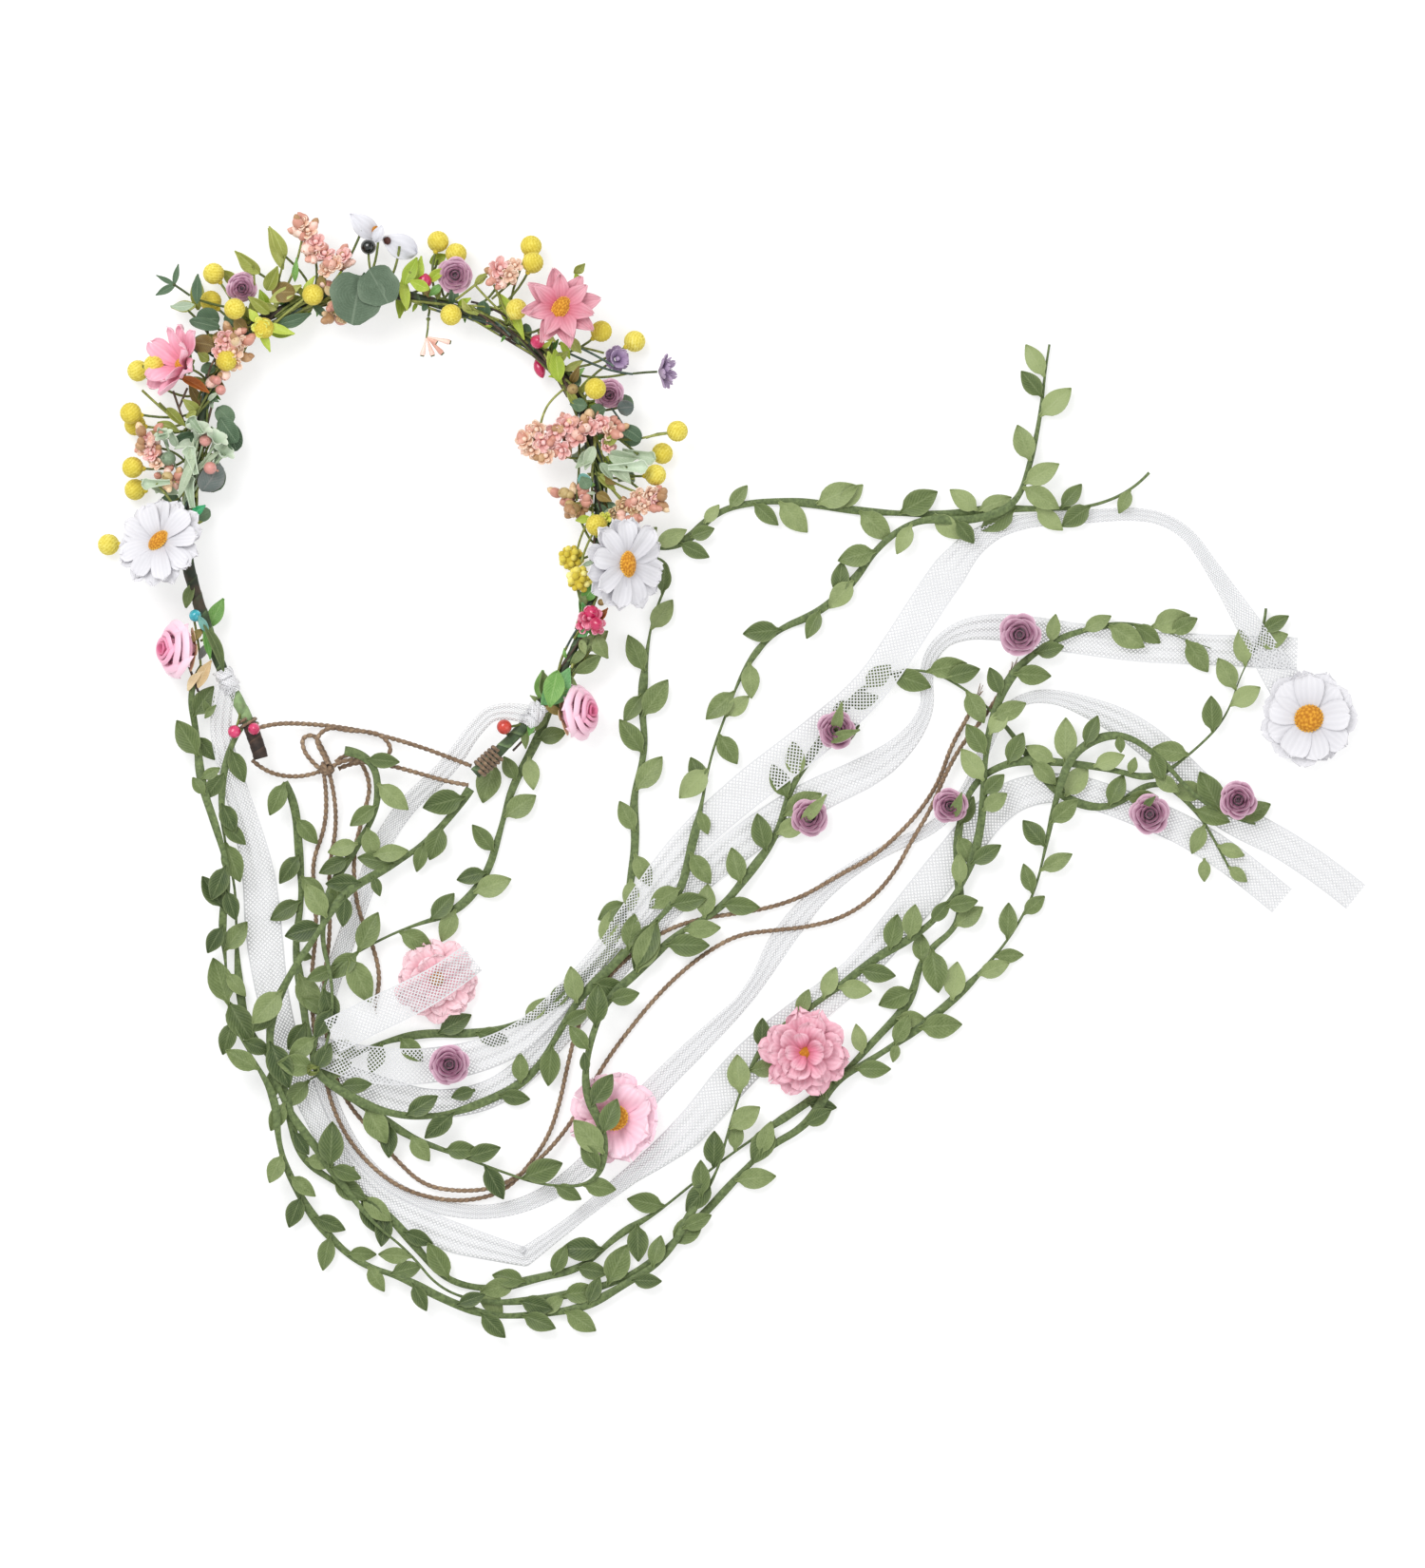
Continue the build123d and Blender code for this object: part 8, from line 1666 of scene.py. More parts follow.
def crown_leaf(m, P, kind, tint=0.5):
    """A shaped leaf where the model has its plain one, from the end nearer the frame."""
    c = P.mean(0)
    lo, hi = P.min(0), P.max(0)
    c = (lo + hi) / 2
    q = P - c
    w_, V = np.linalg.eigh(q.T @ q)
    a = V[:, 2]
    half = np.abs(q @ a).max()
    b = V[:, 1]
    hw = np.abs(q @ b).max()
    base = c - a * half
    tip = c + a * half
    if np.linalg.norm(nearest_ring(tip) - tip) < np.linalg.norm(nearest_ring(base) - base):
        base, tip = tip, base
    t = unit(tip - base)
    side = unit(np.cross((0, 0, 1), t))
    up = np.cross(t, side)
    L = 2 * half
    nu, nv = 13, 9
    G = np.zeros((nu, nv, 3))
    uv = np.zeros((nu, nv, 2))
    bend = rng.uniform(-0.10, 0.16) * L
    for i in range(nu):
        u = i / (nu - 1)
        if kind == "round":
            k = math.sqrt(max(0.0, 1 - (2 * u - 1) ** 2)) ** 0.9
        elif kind == "mint":
            k = 0.35 + 0.65 * u ** 1.5 if u < 0.82 else math.sqrt(max(0, 1 - ((u - 0.82) / 0.18) ** 2))
        elif kind == "petal":
            k = (math.sin(math.pi * u ** 0.80) ** 0.75) * 0.82 if 0 < u < 1 else 0
        else:
            k = math.sin(math.pi * u ** 0.85) ** 0.9 if 0 < u < 1 else 0
        w = max(hw * k, 0.00030)
        for j in range(nv):
            v = j / (nv - 1) * 2 - 1
            fold = abs(v) ** 1.4 * hw * (0.22 if kind == "pointed" else 0.10)
            if kind == "mint":
                fold = abs(v) ** 2 * hw * 0.8
            if kind == "petal":
                fold = 0.12 * hw * math.sin(v * 4 + u * 5)
            z = fold + bend * math.sin(math.pi * u) * 0.6 + 0.05 * hw * math.sin(u * 9 + v * 3)
            G[i, j] = base + t * L * u + side * w * v + up * z
            uv[i, j] = (u, j / (nv - 1))
    G[..., 2] = np.maximum(G[..., 2], 0.0004)
    m.leaf(G, 0.00034, tint=tint, uv=uv)


def leaf_set(nodename, default_kind, mats, pick, slot):
    groups = {}
    for P in islands(nodename):
        c, size = centre_size(P)
        kind, key = pick(c, size)
        groups.setdefault(key, []).append((P, kind))
    first = True
    for key, items in groups.items():
        m = Mesh()
        for P, kind in items:
            crown_leaf(m, P, kind or default_kind, tint=rng.uniform(0.25, 0.85))
        m.make(f"{nodename}_{key}", [M[key]], slot=slot, replaces=[nodename] if first else ())
        first = False


leaf_set("olive_leaves", "pointed", None, lambda c, s: ("pointed", "olive"), "olive")
leaf_set("green_leaves", "pointed", None, lambda c, s: ("pointed", "lime" if c[1] > 0.06 and c[0] > -0.05 else ("green" if c[1] < 0 else "euc_dark")), "leaf")
leaf_set("mint_leaves", "mint", None, lambda c, s: ("mint", "mint"), "mint")
leaf_set("white_blossom", "petal", None, lambda c, s: ("petal", "sheer"), "blossom_white")

# round eucalyptus; the large one at the top is lobed
groups = {"big": Mesh(), "small": Mesh()}
for P in islands("eucalyptus_leaves"):
    c, size = centre_size(P)
    if max(size) > 0.018:
        rad = 0.0115
        for (dx, dy, rr, up_, az) in [(-0.0035, -0.0015, 1.0, 0.0, -100), (0.0055, 0.0030, 0.78, 0.0011, -60)]:
            cc = c + np.array([dx, dy, up_])
            nu, nv = 12, 30
            G = np.zeros((nu, nv, 3))
            uv = np.zeros((nu, nv, 2))
            for i in range(nu):
                for j in range(nv):
                    a = 2 * math.pi * j / nv
                    q = i / (nu - 1) * 0.999 + 0.001
                    edge = 1 + 0.05 * math.sin(3 * a + az) + 0.03 * math.sin(7 * a) - 0.16 * max(0.0, math.cos(a - math.radians(az + 180))) ** 6
                    r = rad * rr * q * edge
                    G[i, j] = cc + np.array([r * math.cos(a), r * math.sin(a), 0.0009 * q * q + 0.0003 * math.sin(a * 4) * q + 0.0005 * math.cos(2 * a) * q])
                    uv[i, j] = (q, 0.5 + 0.5 * math.sin(a - math.radians(az)) * q)
            mm_ = groups["big"]
            # a closed thin dish: top and underside joined at the rim
            top = mm_.grid(G, uv, closed_v=True, tint=0.35)
            low = mm_.grid(G - np.array([0, 0, 0.0004]), uv, closed_v=True, tint=0.35, flip=True)
            for j in range(nv):
                a_, b_ = (nu - 1) * nv + j, (nu - 1) * nv + (j + 1) % nv
                mm_.faces.append((top + a_, low + a_, low + b_, top + b_)); mm_.slots.append(0)
            mm_.faces.append(tuple(top + j for j in range(nv))); mm_.slots.append(0)
            mm_.faces.append(tuple(low + (nv - 1 - j) for j in range(nv))); mm_.slots.append(0)
    else:
        crown_leaf(groups["small"], P, "round", tint=rng.uniform(0.1, 0.8))
groups["big"].make("eucalyptus_large", [M["euc"]], slot="eucalyptus", replaces=["eucalyptus_leaves"])
groups["small"].make("eucalyptus_small", [M["euc_dark"]], slot="eucalyptus")

# lilac flower: small cupped petals
m = Mesh()
for P in islands("lilac_flower"):
    c, size = centre_size(P)
    r = max(size) / 2 * 1.25
    F = frame_to((0.5, 0.1, 1), (0, 1, 0))
    for layer, (cnt, rr, rise) in enumerate([(6, 1.0, 0.002), (5, 0.72, 0.0042)]):
        for i in range(cnt):
            petal(m, c - F[2] * 0.0015, F, 2 * math.pi * (i + 0.5 * layer) / cnt, 0.0008, r * rr, 0.0046, 0.0002 + 0.0004 * layer, rise, 0.0012, cup=0.0010,
                  notch=0.12, tint=rng.uniform(0, 1), nu=8, nv=6)
    m.ball(c + F[2] * 0.001, 0.0011, F, 6, 8, tint=0.9)
m.make("lilac_flower_cloth", [M["lilac"]], slot="lilac", replaces=["lilac_flower"])

# ------------------------------------------------------------------ stems
m = Mesh()
for x0, y0, z0, x1, y1, z1 in STEMS:
    a, b = np.array([x0, y0, z0]) * MM, np.array([x1, y1, z1]) * MM
    L = np.linalg.norm(b - a)
    d = unit(b - a)
    s = unit(np.cross(d, (0, 0, 1)))
    sag = rng.uniform(-0.03, 0.03) * L
    i = int(np.linalg.norm(ring_d - a, axis=1).argmin())
    along = unit(ring_d[min(len(ring_d) - 1, i + 3)] - ring_d[max(0, i - 3)]) * (1 if rng.random() < 0.5 else -1)
    root = a + along * min(0.012, 0.55 * L) * rng.uniform(0.5, 1.0)
    root = ring_d[int(np.linalg.norm(ring_d - root, axis=1).argmin())] + unit(b - a) * 0.0022
    knee = a + d * 0.22 * L
    pts = [root * (1 - t) ** 2 + knee * 2 * t * (1 - t) + b * t * t for t in np.linspace(0, 1, 9)]
    m.tube(pts, 0.00055, 7, tint=rng.uniform(0.2, 0.9))
m.make("stem_wires_taped", [M["stem"]], slot="stem", replaces=["stem_wires"])

# ------------------------------------------------------------------ sprays


def spray_piece(node_name, body, build, mat_parts, slot):
    first = True
    meshes = {}
    build(meshes)
    for key, mesh in meshes.items():
        mesh.make(f"{node_name}_{key}", [M[key]], body=body, slot=slot, replaces=[node_name] if first else ())
        first = False


def build_lilac(ms):
    st, pe = ms.setdefault("stem_dark", Mesh()), ms.setdefault("lilac", Mesh())
    z = 0.014
    a, b = np.array([0.0996, 0.0646, z]), np.array([0.1100, 0.0654, z])
    st.tube([a, (a + b) / 2 + np.array([0, 0.0001, 0.0002]), b], 0.00050, 8)
    c = np.array([0.1105, 0.0655, z])
    F = frame_to((1, 0.02, 0.25), (0, 0, 1))
    for layer, (cnt, rr, rise, w) in enumerate([(7, 0.0080, 0.0040, 0.0044), (6, 0.0062, 0.0060, 0.0038)]):
        for i in range(cnt):
            petal(pe, c, F, 2 * math.pi * (i + 0.5 * layer) / cnt + 0.2, 0.0008, rr * rng.uniform(0.9, 1.0), w, 0.0002, rise * rng.uniform(0.8, 1.15), 0.0008,
                  cup=0.0008, notch=0.1, tint=rng.uniform(0, 1), nu=9, nv=6)
    for k in range(9):
        a_ = 2 * math.pi * k / 9
        p = c + F[2] * 0.0010 + (F[0] * math.cos(a_) + F[1] * math.sin(a_)) * 0.0012
        pe.tube([p, p + F[2] * 0.0045 + (F[0] * math.cos(a_) + F[1] * math.sin(a_)) * 0.0012], 0.00016, 5, tint=0.9)


def build_berry(ms):
    st, be = ms.setdefault("stem", Mesh()), ms.setdefault("berry", Mesh())
    z = 0.014
    a, b = np.array([0.1052, 0.0376, z]), np.array([0.1150, 0.0397, z])
    st.tube([a, (a + b) / 2 + np.array([0.0, 0.0006, 0]), b], 0.00055, 8, tint=0.8)
    pebbled(be, np.array([0.1184, 0.0404, z]), frame_to((1, 0.2, 0.4), (0, 0, 1)), 0.0045, 0.0045, 150, 0.09, 30, 46, tint=0.5, seed=3)


def build_sprig(ms):
    st, bu = ms.setdefault("stem", Mesh()), ms.setdefault("bud", Mesh())
    z = 0.012
    st.ball(np.array([0.0136, 0.0876, z]), 0.00092, None, 8, 12, tint=0.5)
    a, b = np.array([0.0136, 0.0872, z]), np.array([0.0128, 0.0796, z])
    st.tube([a, (a + b) / 2 + np.array([0.0002, 0, 0.0003]), b], 0.00045, 7, tint=0.6)
    node = np.array([0.0128, 0.0802, z])
    for x, y, r in [(11.2, 73.0, 1.9), (15.2, 73.0, 1.9), (19.0, 73.6, 1.9), (22.0, 78.0, 2.0), (16.4, 78.0, 1.8)]:
        c = np.array([x * MM, y * MM, z])
        d = unit(c - node)
        reach = float(np.linalg.norm(c - node)) + r * 0.35 * MM
        bu.tube([node + d * reach * q for q in (0.02, 0.30, 0.62, 0.90, 1.0)], [0.00036, 0.00044, 0.00078, 0.00118, 0.00100], 12, tint=rng.uniform(0.6, 1.0))
        for i in range(3):
            F = frame_to(d, (0, 0, 1))
            side = (F[0] * math.cos(2.1 * i) + F[1] * math.sin(2.1 * i)) * 0.0006
            st.ball(node + d * reach * 1.02 + side, 0.00042, None, 5, 7, tint=0.1)


def build_tip(ms):
    st, le = ms.setdefault("stem_dark", Mesh()), ms.setdefault("euc_dark", Mesh())
    z = 0.016
    st.tube([np.array([-0.0866, 0.0974, z]), np.array([-0.0900, 0.0998, z + 0.0002]), np.array([-0.0930, 0.1018, z])], 0.00050, 8)
    st.ball(np.array([-0.0932, 0.1020, z]), 0.0008, None, 6, 8)
    for x, y, heading, length, width in [(-92.4, 106.2, 78, 9.2, 2.6), (-96.8, 103.9, 153, 9.0, 2.2), (-96.9, 99.7, 208, 9.4, 3.4)]:
        d = np.array([math.cos(math.radians(heading)), math.sin(math.radians(heading)), 0])
        s = np.array([-d[1], d[0], 0])
        c = np.array([x * MM, y * MM, z])
        P = np.array([c + d * q * length / 2 * MM + s * v * width / 2 * MM for q in (-1, -0.5, 0, 0.5, 1) for v in ((-1, 1) if abs(q) < 1 else (0, 0))])
        base = c - d * length / 2 * MM
        nu, nv = 9, 5
        G = np.zeros((nu, nv, 3))
        uv = np.zeros((nu, nv, 2))
        for i in range(nu):
            u = i / (nu - 1)
            w = max(width / 2 * MM * (math.sin(math.pi * u ** 0.85) ** 0.9 if 0 < u < 1 else 0), 0.0002)
            for j in range(nv):
                v = j / (nv - 1) * 2 - 1
                G[i, j] = base + d * length * MM * u + s * w * v + np.array([0, 0, abs(v) * w * 0.3 + 0.0006 * math.sin(math.pi * u)])
                uv[i, j] = (u, j / (nv - 1))
        le.leaf(G, 0.0003, tint=0.4, uv=uv)


spray_piece("lilac_spray", "lilac_spray_body", build_lilac, None, "lilac")
spray_piece("berry_spray", "berry_spray_body", build_berry, None, "berry")
spray_piece("hanging_sprig", "hanging_sprig_body", build_sprig, None, "bud")
spray_piece("eucalyptus_tip", "eucalyptus_tip_body", build_tip, None, "eucalyptus")

# ------------------------------------------------------------------ small foliage wound into the frame


def sprig_leaf(m, base, heading, rise, length, width, tint, kind="pointed"):
    d = np.array([math.cos(heading) * math.cos(rise), math.sin(heading) * math.cos(rise), math.sin(rise)])
    side = unit(np.cross((0, 0, 1), d))
    roll = rng.uniform(-0.6, 0.6)
    up = np.cross(d, side)
    side, up = side * math.cos(roll) + up * math.sin(roll), up * math.cos(roll) - side * math.sin(roll)
    nu, nv = 10, 7
    G = np.zeros((nu, nv, 3))
    uv = np.zeros((nu, nv, 2))
    bend = rng.uniform(-0.12, 0.18) * length
    for i in range(nu):
        u = i / (nu - 1)
        if kind == "round":
            k = math.sqrt(max(0.0, 1 - (2 * u - 1) ** 2))
        else:
            k = math.sin(math.pi * u ** 0.85) ** 0.9 if 0 < u < 1 else 0
        w = max(width / 2 * k, 0.0002)
        for j in range(nv):
            v = j / (nv - 1) * 2 - 1
            G[i, j] = base + d * length * u + side * w * v + up * (abs(v) ** 1.4 * w * 0.35 + bend * math.sin(math.pi * u * 0.9))
            uv[i, j] = (u, j / (nv - 1))
    G[..., 2] = np.maximum(G[..., 2], 0.0006)
    m.leaf(G, 0.0003, tint=tint, uv=uv)


# share of the frame from, to, step in mm, kinds of leaf, outward and inward reach in mm
FILL = [
    (0.19, 0.245, 3.4, ("euc_dark", "green", "olive", "mint"), 9.5, 6.0),
    (0.245, 0.345, 2.3, ("mint", "euc_dark", "mint", "green", "olive", "brown_leaf"), 11.0, 7.0),
    (0.345, 0.460, 2.2, ("olive", "green", "brown_leaf", "euc_dark", "lime", "olive"), 11.5, 6.5),
    (0.460, 0.540, 2.8, ("olive", "lime", "euc_dark", "brown_leaf"), 9.0, 6.0),
    (0.540, 0.640, 4.6, ("lime", "green", "olive", "euc_dark"), 9.5, 4.0),
    (0.640, 0.730, 2.6, ("olive", "lime", "green", "brown_leaf", "euc_dark"), 11.0, 6.0),
    (0.730, 0.810, 3.0, ("olive", "green", "mint", "brown_leaf", "lime"), 10.0, 6.0),
    (0.810, 0.900, 6.5, ("green", "vine", "green"), 8.5, 5.0),
    (0.900, 0.965, 5.0, ("vine", "green"), 9.0, 6.0),
]
fill = {}
for lo, hi, step, kinds, out_r, in_r in FILL:
    s = lo * RING_LEN
    k = 0
    while s < hi * RING_LEN:
        p, t = ring_at(s / RING_LEN)
        outward = unit(np.cross(t, (0, 0, 1)))
        if outward @ (p - np.array([0.0, 0.02, 0.012])) < 0:
            outward = -outward
        key = kinds[k % len(kinds)]
        inside = rng.random() < 0.30
        dirn = (outward if not inside else -outward)
        swing = rng.uniform(-1.15, 1.15)
        h = math.atan2(dirn[1], dirn[0]) + swing
        L = (in_r if inside else out_r) * MM * rng.uniform(0.62, 1.0)
        base = p + np.array([math.cos(h), math.sin(h), 0]) * 0.0016 + np.array([0, 0, rng.uniform(-0.001, 0.0038)])
        rise = rng.uniform(-0.15, 0.65)
        sprig_leaf(fill.setdefault(key, Mesh()), base, h, rise, L, L * (rng.uniform(0.34, 0.46) if key != "euc_dark" else rng.uniform(0.5, 0.8)),
                   rng.uniform(0.1, 0.9), "round" if key == "euc_dark" and rng.random() < 0.6 else "pointed")
        s += step * MM * rng.uniform(0.7, 1.3)
        k += 1
for key, mesh in fill.items():
    slot_name = {"euc_dark": "eucalyptus", "green": "leaf", "olive": "olive", "mint": "mint", "brown_leaf": "olive", "lime": "leaf", "vine": "vine"}[key]
    mesh.make("sprigs_" + key, [M[key]], slot=slot_name)

# stems lying along the frame
wound_sets = {}
for lo, hi, n in [(0.20, 0.36, 14), (0.34, 0.50, 16), (0.50, 0.66, 18), (0.62, 0.80, 18), (0.80, 0.92, 8)]:
    for _ in range(n):
        a = rng.uniform(lo, hi - 0.03)
        b = min(hi, a + rng.uniform(0.03, 0.07))
        off = rng.uniform(-1, 1)
        phase = rng.uniform(0, 6.28)
        pts = []
        for q in np.linspace(0, 1, 12):
            p, t = ring_at(a + (b - a) * q)
            o = unit(np.cross(t, (0, 0, 1)))
            ang = phase + q * 1.8
            pts.append(p + o * 0.0030 * math.cos(ang) + np.array([0, 0, 0.0030 * abs(math.sin(ang)) + 0.0002]))
        picked = rng.choice(["olive_stem", "olive_stem", "twig", "stem", "dark_stem"])
        wound_sets.setdefault(picked, Mesh()).tube(pts, 0.00058 * rng.uniform(0.8, 1.1), 7, tint=rng.uniform(0.1, 0.95))
for picked in sorted(wound_sets):
    wound_sets[picked].make("wound_stems_" + picked, [M[picked]], slot="stem")
# ------------------------------------------------------------------ single leaves, stems, berries and small flowers of the sprays

# base x, y, z, tip x, y, z, width (mm), kind, material, tint
DETAIL_LEAVES = [
    (-83.6, 94, 17, -83.2, 106.4, 19, 4.8, "pointed", "euc_dark", 0.35),
    (-84.8, 93.6, 17, -94.8, 92.8, 18, 4, "pointed", "mint", 0.2),
    (-86.8, 86.8, 18, -74, 84, 19, 5.2, "round", "euc_dark", 0.2),
    (-57.2, 106.8, 18, -67.6, 116, 22, 6, "folded", "olive", 0.55),
    (-46.8, 112.8, 18, -53.2, 126.4, 22, 5.6, "folded", "olive", 0.65),
    (-54, 99.6, 16, -49.6, 109.6, 20, 6.8, "folded", "olive", 0.35),
    (-42.4, 103.2, 17, -41.6, 113.2, 20, 2.8, "pointed", "green", 0.7),
    (-52, 98.4, 18, -42.4, 98.8, 19, 8.8, "round", "brown_leaf", 0.4),
    (-50.8, 85.2, 14, -35.6, 90, 15, 5.6, "pointed", "euc_dark", 0.25),
    (-53.2, 90, 17, -62, 96.8, 20, 5.6, "folded", "olive", 0.5),
    (-68, 87.6, 16, -62, 82.4, 17, 5.6, "pointed", "brown_leaf", 0.6),
    (-56.8, 85.6, 19, -42.4, 81.2, 19, 4.4, "pointed", "lime", 0.8),
    (-57.2, 84, 19, -52.8, 73.6, 19, 3.6, "pointed", "lime", 0.65),
    (-58, 86, 20, -61.6, 91.6, 21, 4, "pointed", "lime", 0.9),
    (-84.8, 77.6, 17, -76.4, 76, 19, 8, "round", "brown_leaf", 0.3),
    (-76.4, 81.2, 18, -70.8, 74.8, 19, 6, "folded", "brown_leaf", 0.5),
    (-70.8, 72.8, 19, -75.6, 68, 20, 4.8, "pointed", "brown_leaf", 0.75),
    (-90, 62.8, 21, -78.4, 56.4, 19, 4.8, "folded", "rust", 0.5),
    (-78.4, 70, 18, -83.2, 73.2, 20, 4.4, "pointed", "olive", 0.25),
    (-90.8, 14, 17, -107.2, 20, 16, 4.8, "pointed", "sage", 0.3),
    (-91.2, 12.4, 19, -83.2, 31.6, 20, 4, "pointed", "sage", 0.6),
    (-89.6, 20, 19, -84.8, 37.2, 20, 2.8, "pointed", "sage", 0.75),
    (-89.2, 18.8, 18, -70.8, 34, 20, 2.4, "pointed", "sage", 0.6),
    (-74, 46, 16, -66.8, 35.6, 17, 8, "round", "euc_dark", 0.35),
    (-78, 41.2, 17, -68, 31.6, 18, 5.6, "pointed", "euc_dark", 0.5),
    (-81.6, 15.2, 17, -74.4, 27.2, 18, 10.8, "round", "plum_leaf", 0.5),
    (-86.4, 3.6, 17, -80, 9.2, 18, 4, "pointed", "emerald", 0.5),
    (-96.4, 50, 15, -88.4, 42.4, 16, 4.8, "folded", "olive", 0.3),
    (-100.4, 44, 14, -90.8, 40, 15, 4, "pointed", "olive", 0.2),
    (-95.6, 30.8, 17, -98.8, 26, 18, 5.6, "round", "euc_dark", 0.4),
    (-100.4, 23.2, 15, -92, 17.2, 16, 4.8, "folded", "mint", 0.3),
    (-104, 40, 14, -99.6, 37.2, 16, 4, "pointed", "brown_leaf", 0.8),
    (-92, 34, 16, -95.2, 41.2, 18, 4, "folded", "mint", 0.5),
    (-84, 48.8, 17, -88.4, 46, 18, 3.2, "pointed", "olive", 0.5),
    (42.8, 98.8, 15, 54, 78.8, 15, 5.2, "pointed", "lime", 0.55),
    (64, 74, 16, 70, 60, 16, 4.8, "pointed", "lime", 0.6), (59.6, 82, 15, 67.2, 78, 16, 4, "pointed", "olive", 0.5),
    (74.8, 106.8, 18, 79.6, 110.8, 19, 4, "pointed", "olive", 0.2),
    (73.2, 80, 17, 78, 73.2, 17, 4.8, "pointed", "olive", 0.6),
    (69.2, 78, 16, 73.2, 70.8, 16, 3.2, "pointed", "lime", 0.4),
    (75.6, 52, 16, 72, 57.2, 17, 4, "folded", "olive", 0.4),
    (93.2, 50, 17, 100, 50.8, 18, 6.8, "round", "plum_leaf", 0.2),
    (95.2, 42, 17, 103.2, 36.8, 18, 6.4, "round", "euc_dark", 0.15),
    (84.4, 32, 18, 75.6, 24.8, 18, 6.4, "folded", "sage", 0.55),
    (83.2, 34, 19, 79.6, 24, 19, 5.6, "folded", "sage", 0.7),
    (89.2, 30.8, 18, 102, 29.2, 18, 7.2, "folded", "sage", 0.5),
    (90, 26, 18, 98.8, 18.4, 18, 6.4, "folded", "sage", 0.65),
    (87.6, 34.8, 18, 94, 40, 19, 4.4, "folded", "olive", 0.35),
    (86, 26.8, 18, 91.2, 20, 18, 4.8, "folded", "sage", 0.4), (77.2, 22, 16, 82, 17.2, 17, 5.2, "round", "teal", 0.5),
    (85.2, 22, 15, 92.4, 15.2, 16, 4.8, "folded", "olive", 0.5),
    (84.4, 14, 16, 90.8, 10.8, 17, 4.8, "folded", "brown_leaf", 0.7),
    (78.4, 10, 16, 71.6, 6, 17, 3.6, "folded", "olive", 0.5),
    (82, 4, 18, 75.6, 2.8, 18, 3.6, "pointed", "lime", 0.75),
    (81.2, 4, 18, 88, -0.4, 18, 4.4, "pointed", "lime", 0.9),
    (82.8, 6, 18, 84.4, -4.4, 18, 4.4, "pointed", "lime", 0.6),
    (89.2, 10.8, 15, 93.6, 5.6, 16, 3.6, "pointed", "euc_dark", 0.4),
    (89.2, 6, 14, 84.4, 10, 15, 3.2, "pointed", "euc_dark", 0.6),
    (78.4, -30.8, 14, 83.6, -23.6, 15, 6, "pointed", "green", 0.45),
    (79.6, -34, 15, 76, -26, 15, 3.2, "pointed", "vine", 0.5),
    (84.4, -45.2, 13, 89.2, -55.2, 13, 6.8, "pointed", "vine", 0.55),
    (74.8, -61.2, 13, 86.8, -53.2, 13, 6, "pointed", "vine", 0.35),
    (62.8, -72.4, 13, 61.6, -60.4, 14, 6, "pointed", "vine", 0.35),
    (61.2, -74.8, 15, 73.2, -59.2, 16, 10.4, "pointed", "emerald2", 0.6),
    (82.8, -40, 16, 78.4, -31.6, 17, 3.6, "folded", "emerald2", 0.35),
    (83.6, -38.8, 15, 89.2, -34, 16, 3.6, "folded", "rust", 0.2),
    (81.2, -42.8, 15, 76.4, -46, 15, 3.2, "pointed", "emerald2", 0.3),
    (73.2, -58, 13, 82, -49.2, 14, 4, "pointed", "vine", 0.5),
    (70, -78.8, 13, 62, -74.8, 14, 3.6, "pointed", "brown_leaf", 0.7),
    (77.2, -54, 12, 80.4, -44, 13, 3.2, "pointed", "vine", 0.6),
    (184.4, -86.8, 9, 187.6, -73.6, 17.4, 4.8, "pointed", "vine", 0.6),
    (181.2, -90, 9, 195.2, -85.2, 17.2, 4.8, "pointed", "vine", 0.45),
    (170.4, -124.4, 7, 181.2, -112.4, 13.6, 5.2, "pointed", "vine", 0.75),
    (233.2, -122.8, 11, 238, -111.6, 18.6, 4.8, "pointed", "vine", 0.5),
    (314.8, -118, 8, 319.6, -113.2, 14.5, 3.2, "pointed", "vine", 0.2),
    (-101.6, -18, 13, -100, -9.2, 14, 3.6, "pointed", "vine", 0.25),
    (-88.4, -34, 13, -84.8, -22.8, 14, 4.8, "pointed", "vine", 0.5),
    (-80.8, -40.4, 19, -72.4, -60.8, 16, 4.8, "pointed", "vine", 0.22),
    (-82.8, -37.2, 20, -78.4, -45.2, 18, 3.6, "pointed", "teal", 0.5),
    (-80.8, -43.6, 18, -78, -55.6, 18, 3.2, "pointed", "green", 0.45),
    (-81.2, -42.8, 12, -86.8, -49.2, 15, 3.6, "pointed", "brown_leaf", 0.95),
    (-82.8, -55.6, 14, -78, -48.4, 15, 3.6, "pointed", "plum_leaf", 0.6),
    (-83.2, -67.6, 13, -77.6, -56, 15, 5.2, "pointed", "tan", 0.35),
    (-87.6, -68.8, 12, -81.2, -60.4, 14, 3.6, "pointed", "tan", 0.8),
    (-78.4, -78.8, 14, -81.2, -72.4, 15, 3.2, "pointed", "vine", 0.4),
    (-80.4, -80.4, 15, -75.6, -74.8, 15, 3.2, "pointed", "vine", 0.6),
    (-18.8, 102, 17, -26, 90, 18, 4, "folded", "olive", 0.6), (-26, 94, 18, -20.4, 86.8, 18, 4, "folded", "tan", 0.5),
    (-29.6, 101.2, 18, -25.2, 96.8, 18, 3.6, "folded", "tan", 0.7),
    (8.4, 102, 16, 10.8, 114, 18, 4.8, "pointed", "lime", 0.5),
    (2.8, 105.2, 16, 4.8, 91.2, 15, 4.8, "pointed", "lime", 0.8),
    (14, 103.6, 15, 21.2, 108.8, 17, 4.8, "folded", "lime", 0.6),
    (19.2, 102, 15, 14, 97.2, 15, 3.6, "pointed", "green", 0.6),
    (33.2, 102, 16, 38.4, 106.8, 17, 3.6, "pointed", "olive", 0.5),
    (27.6, 93.2, 14, 34.4, 89.2, 15, 3.6, "pointed", "olive", 0.35),
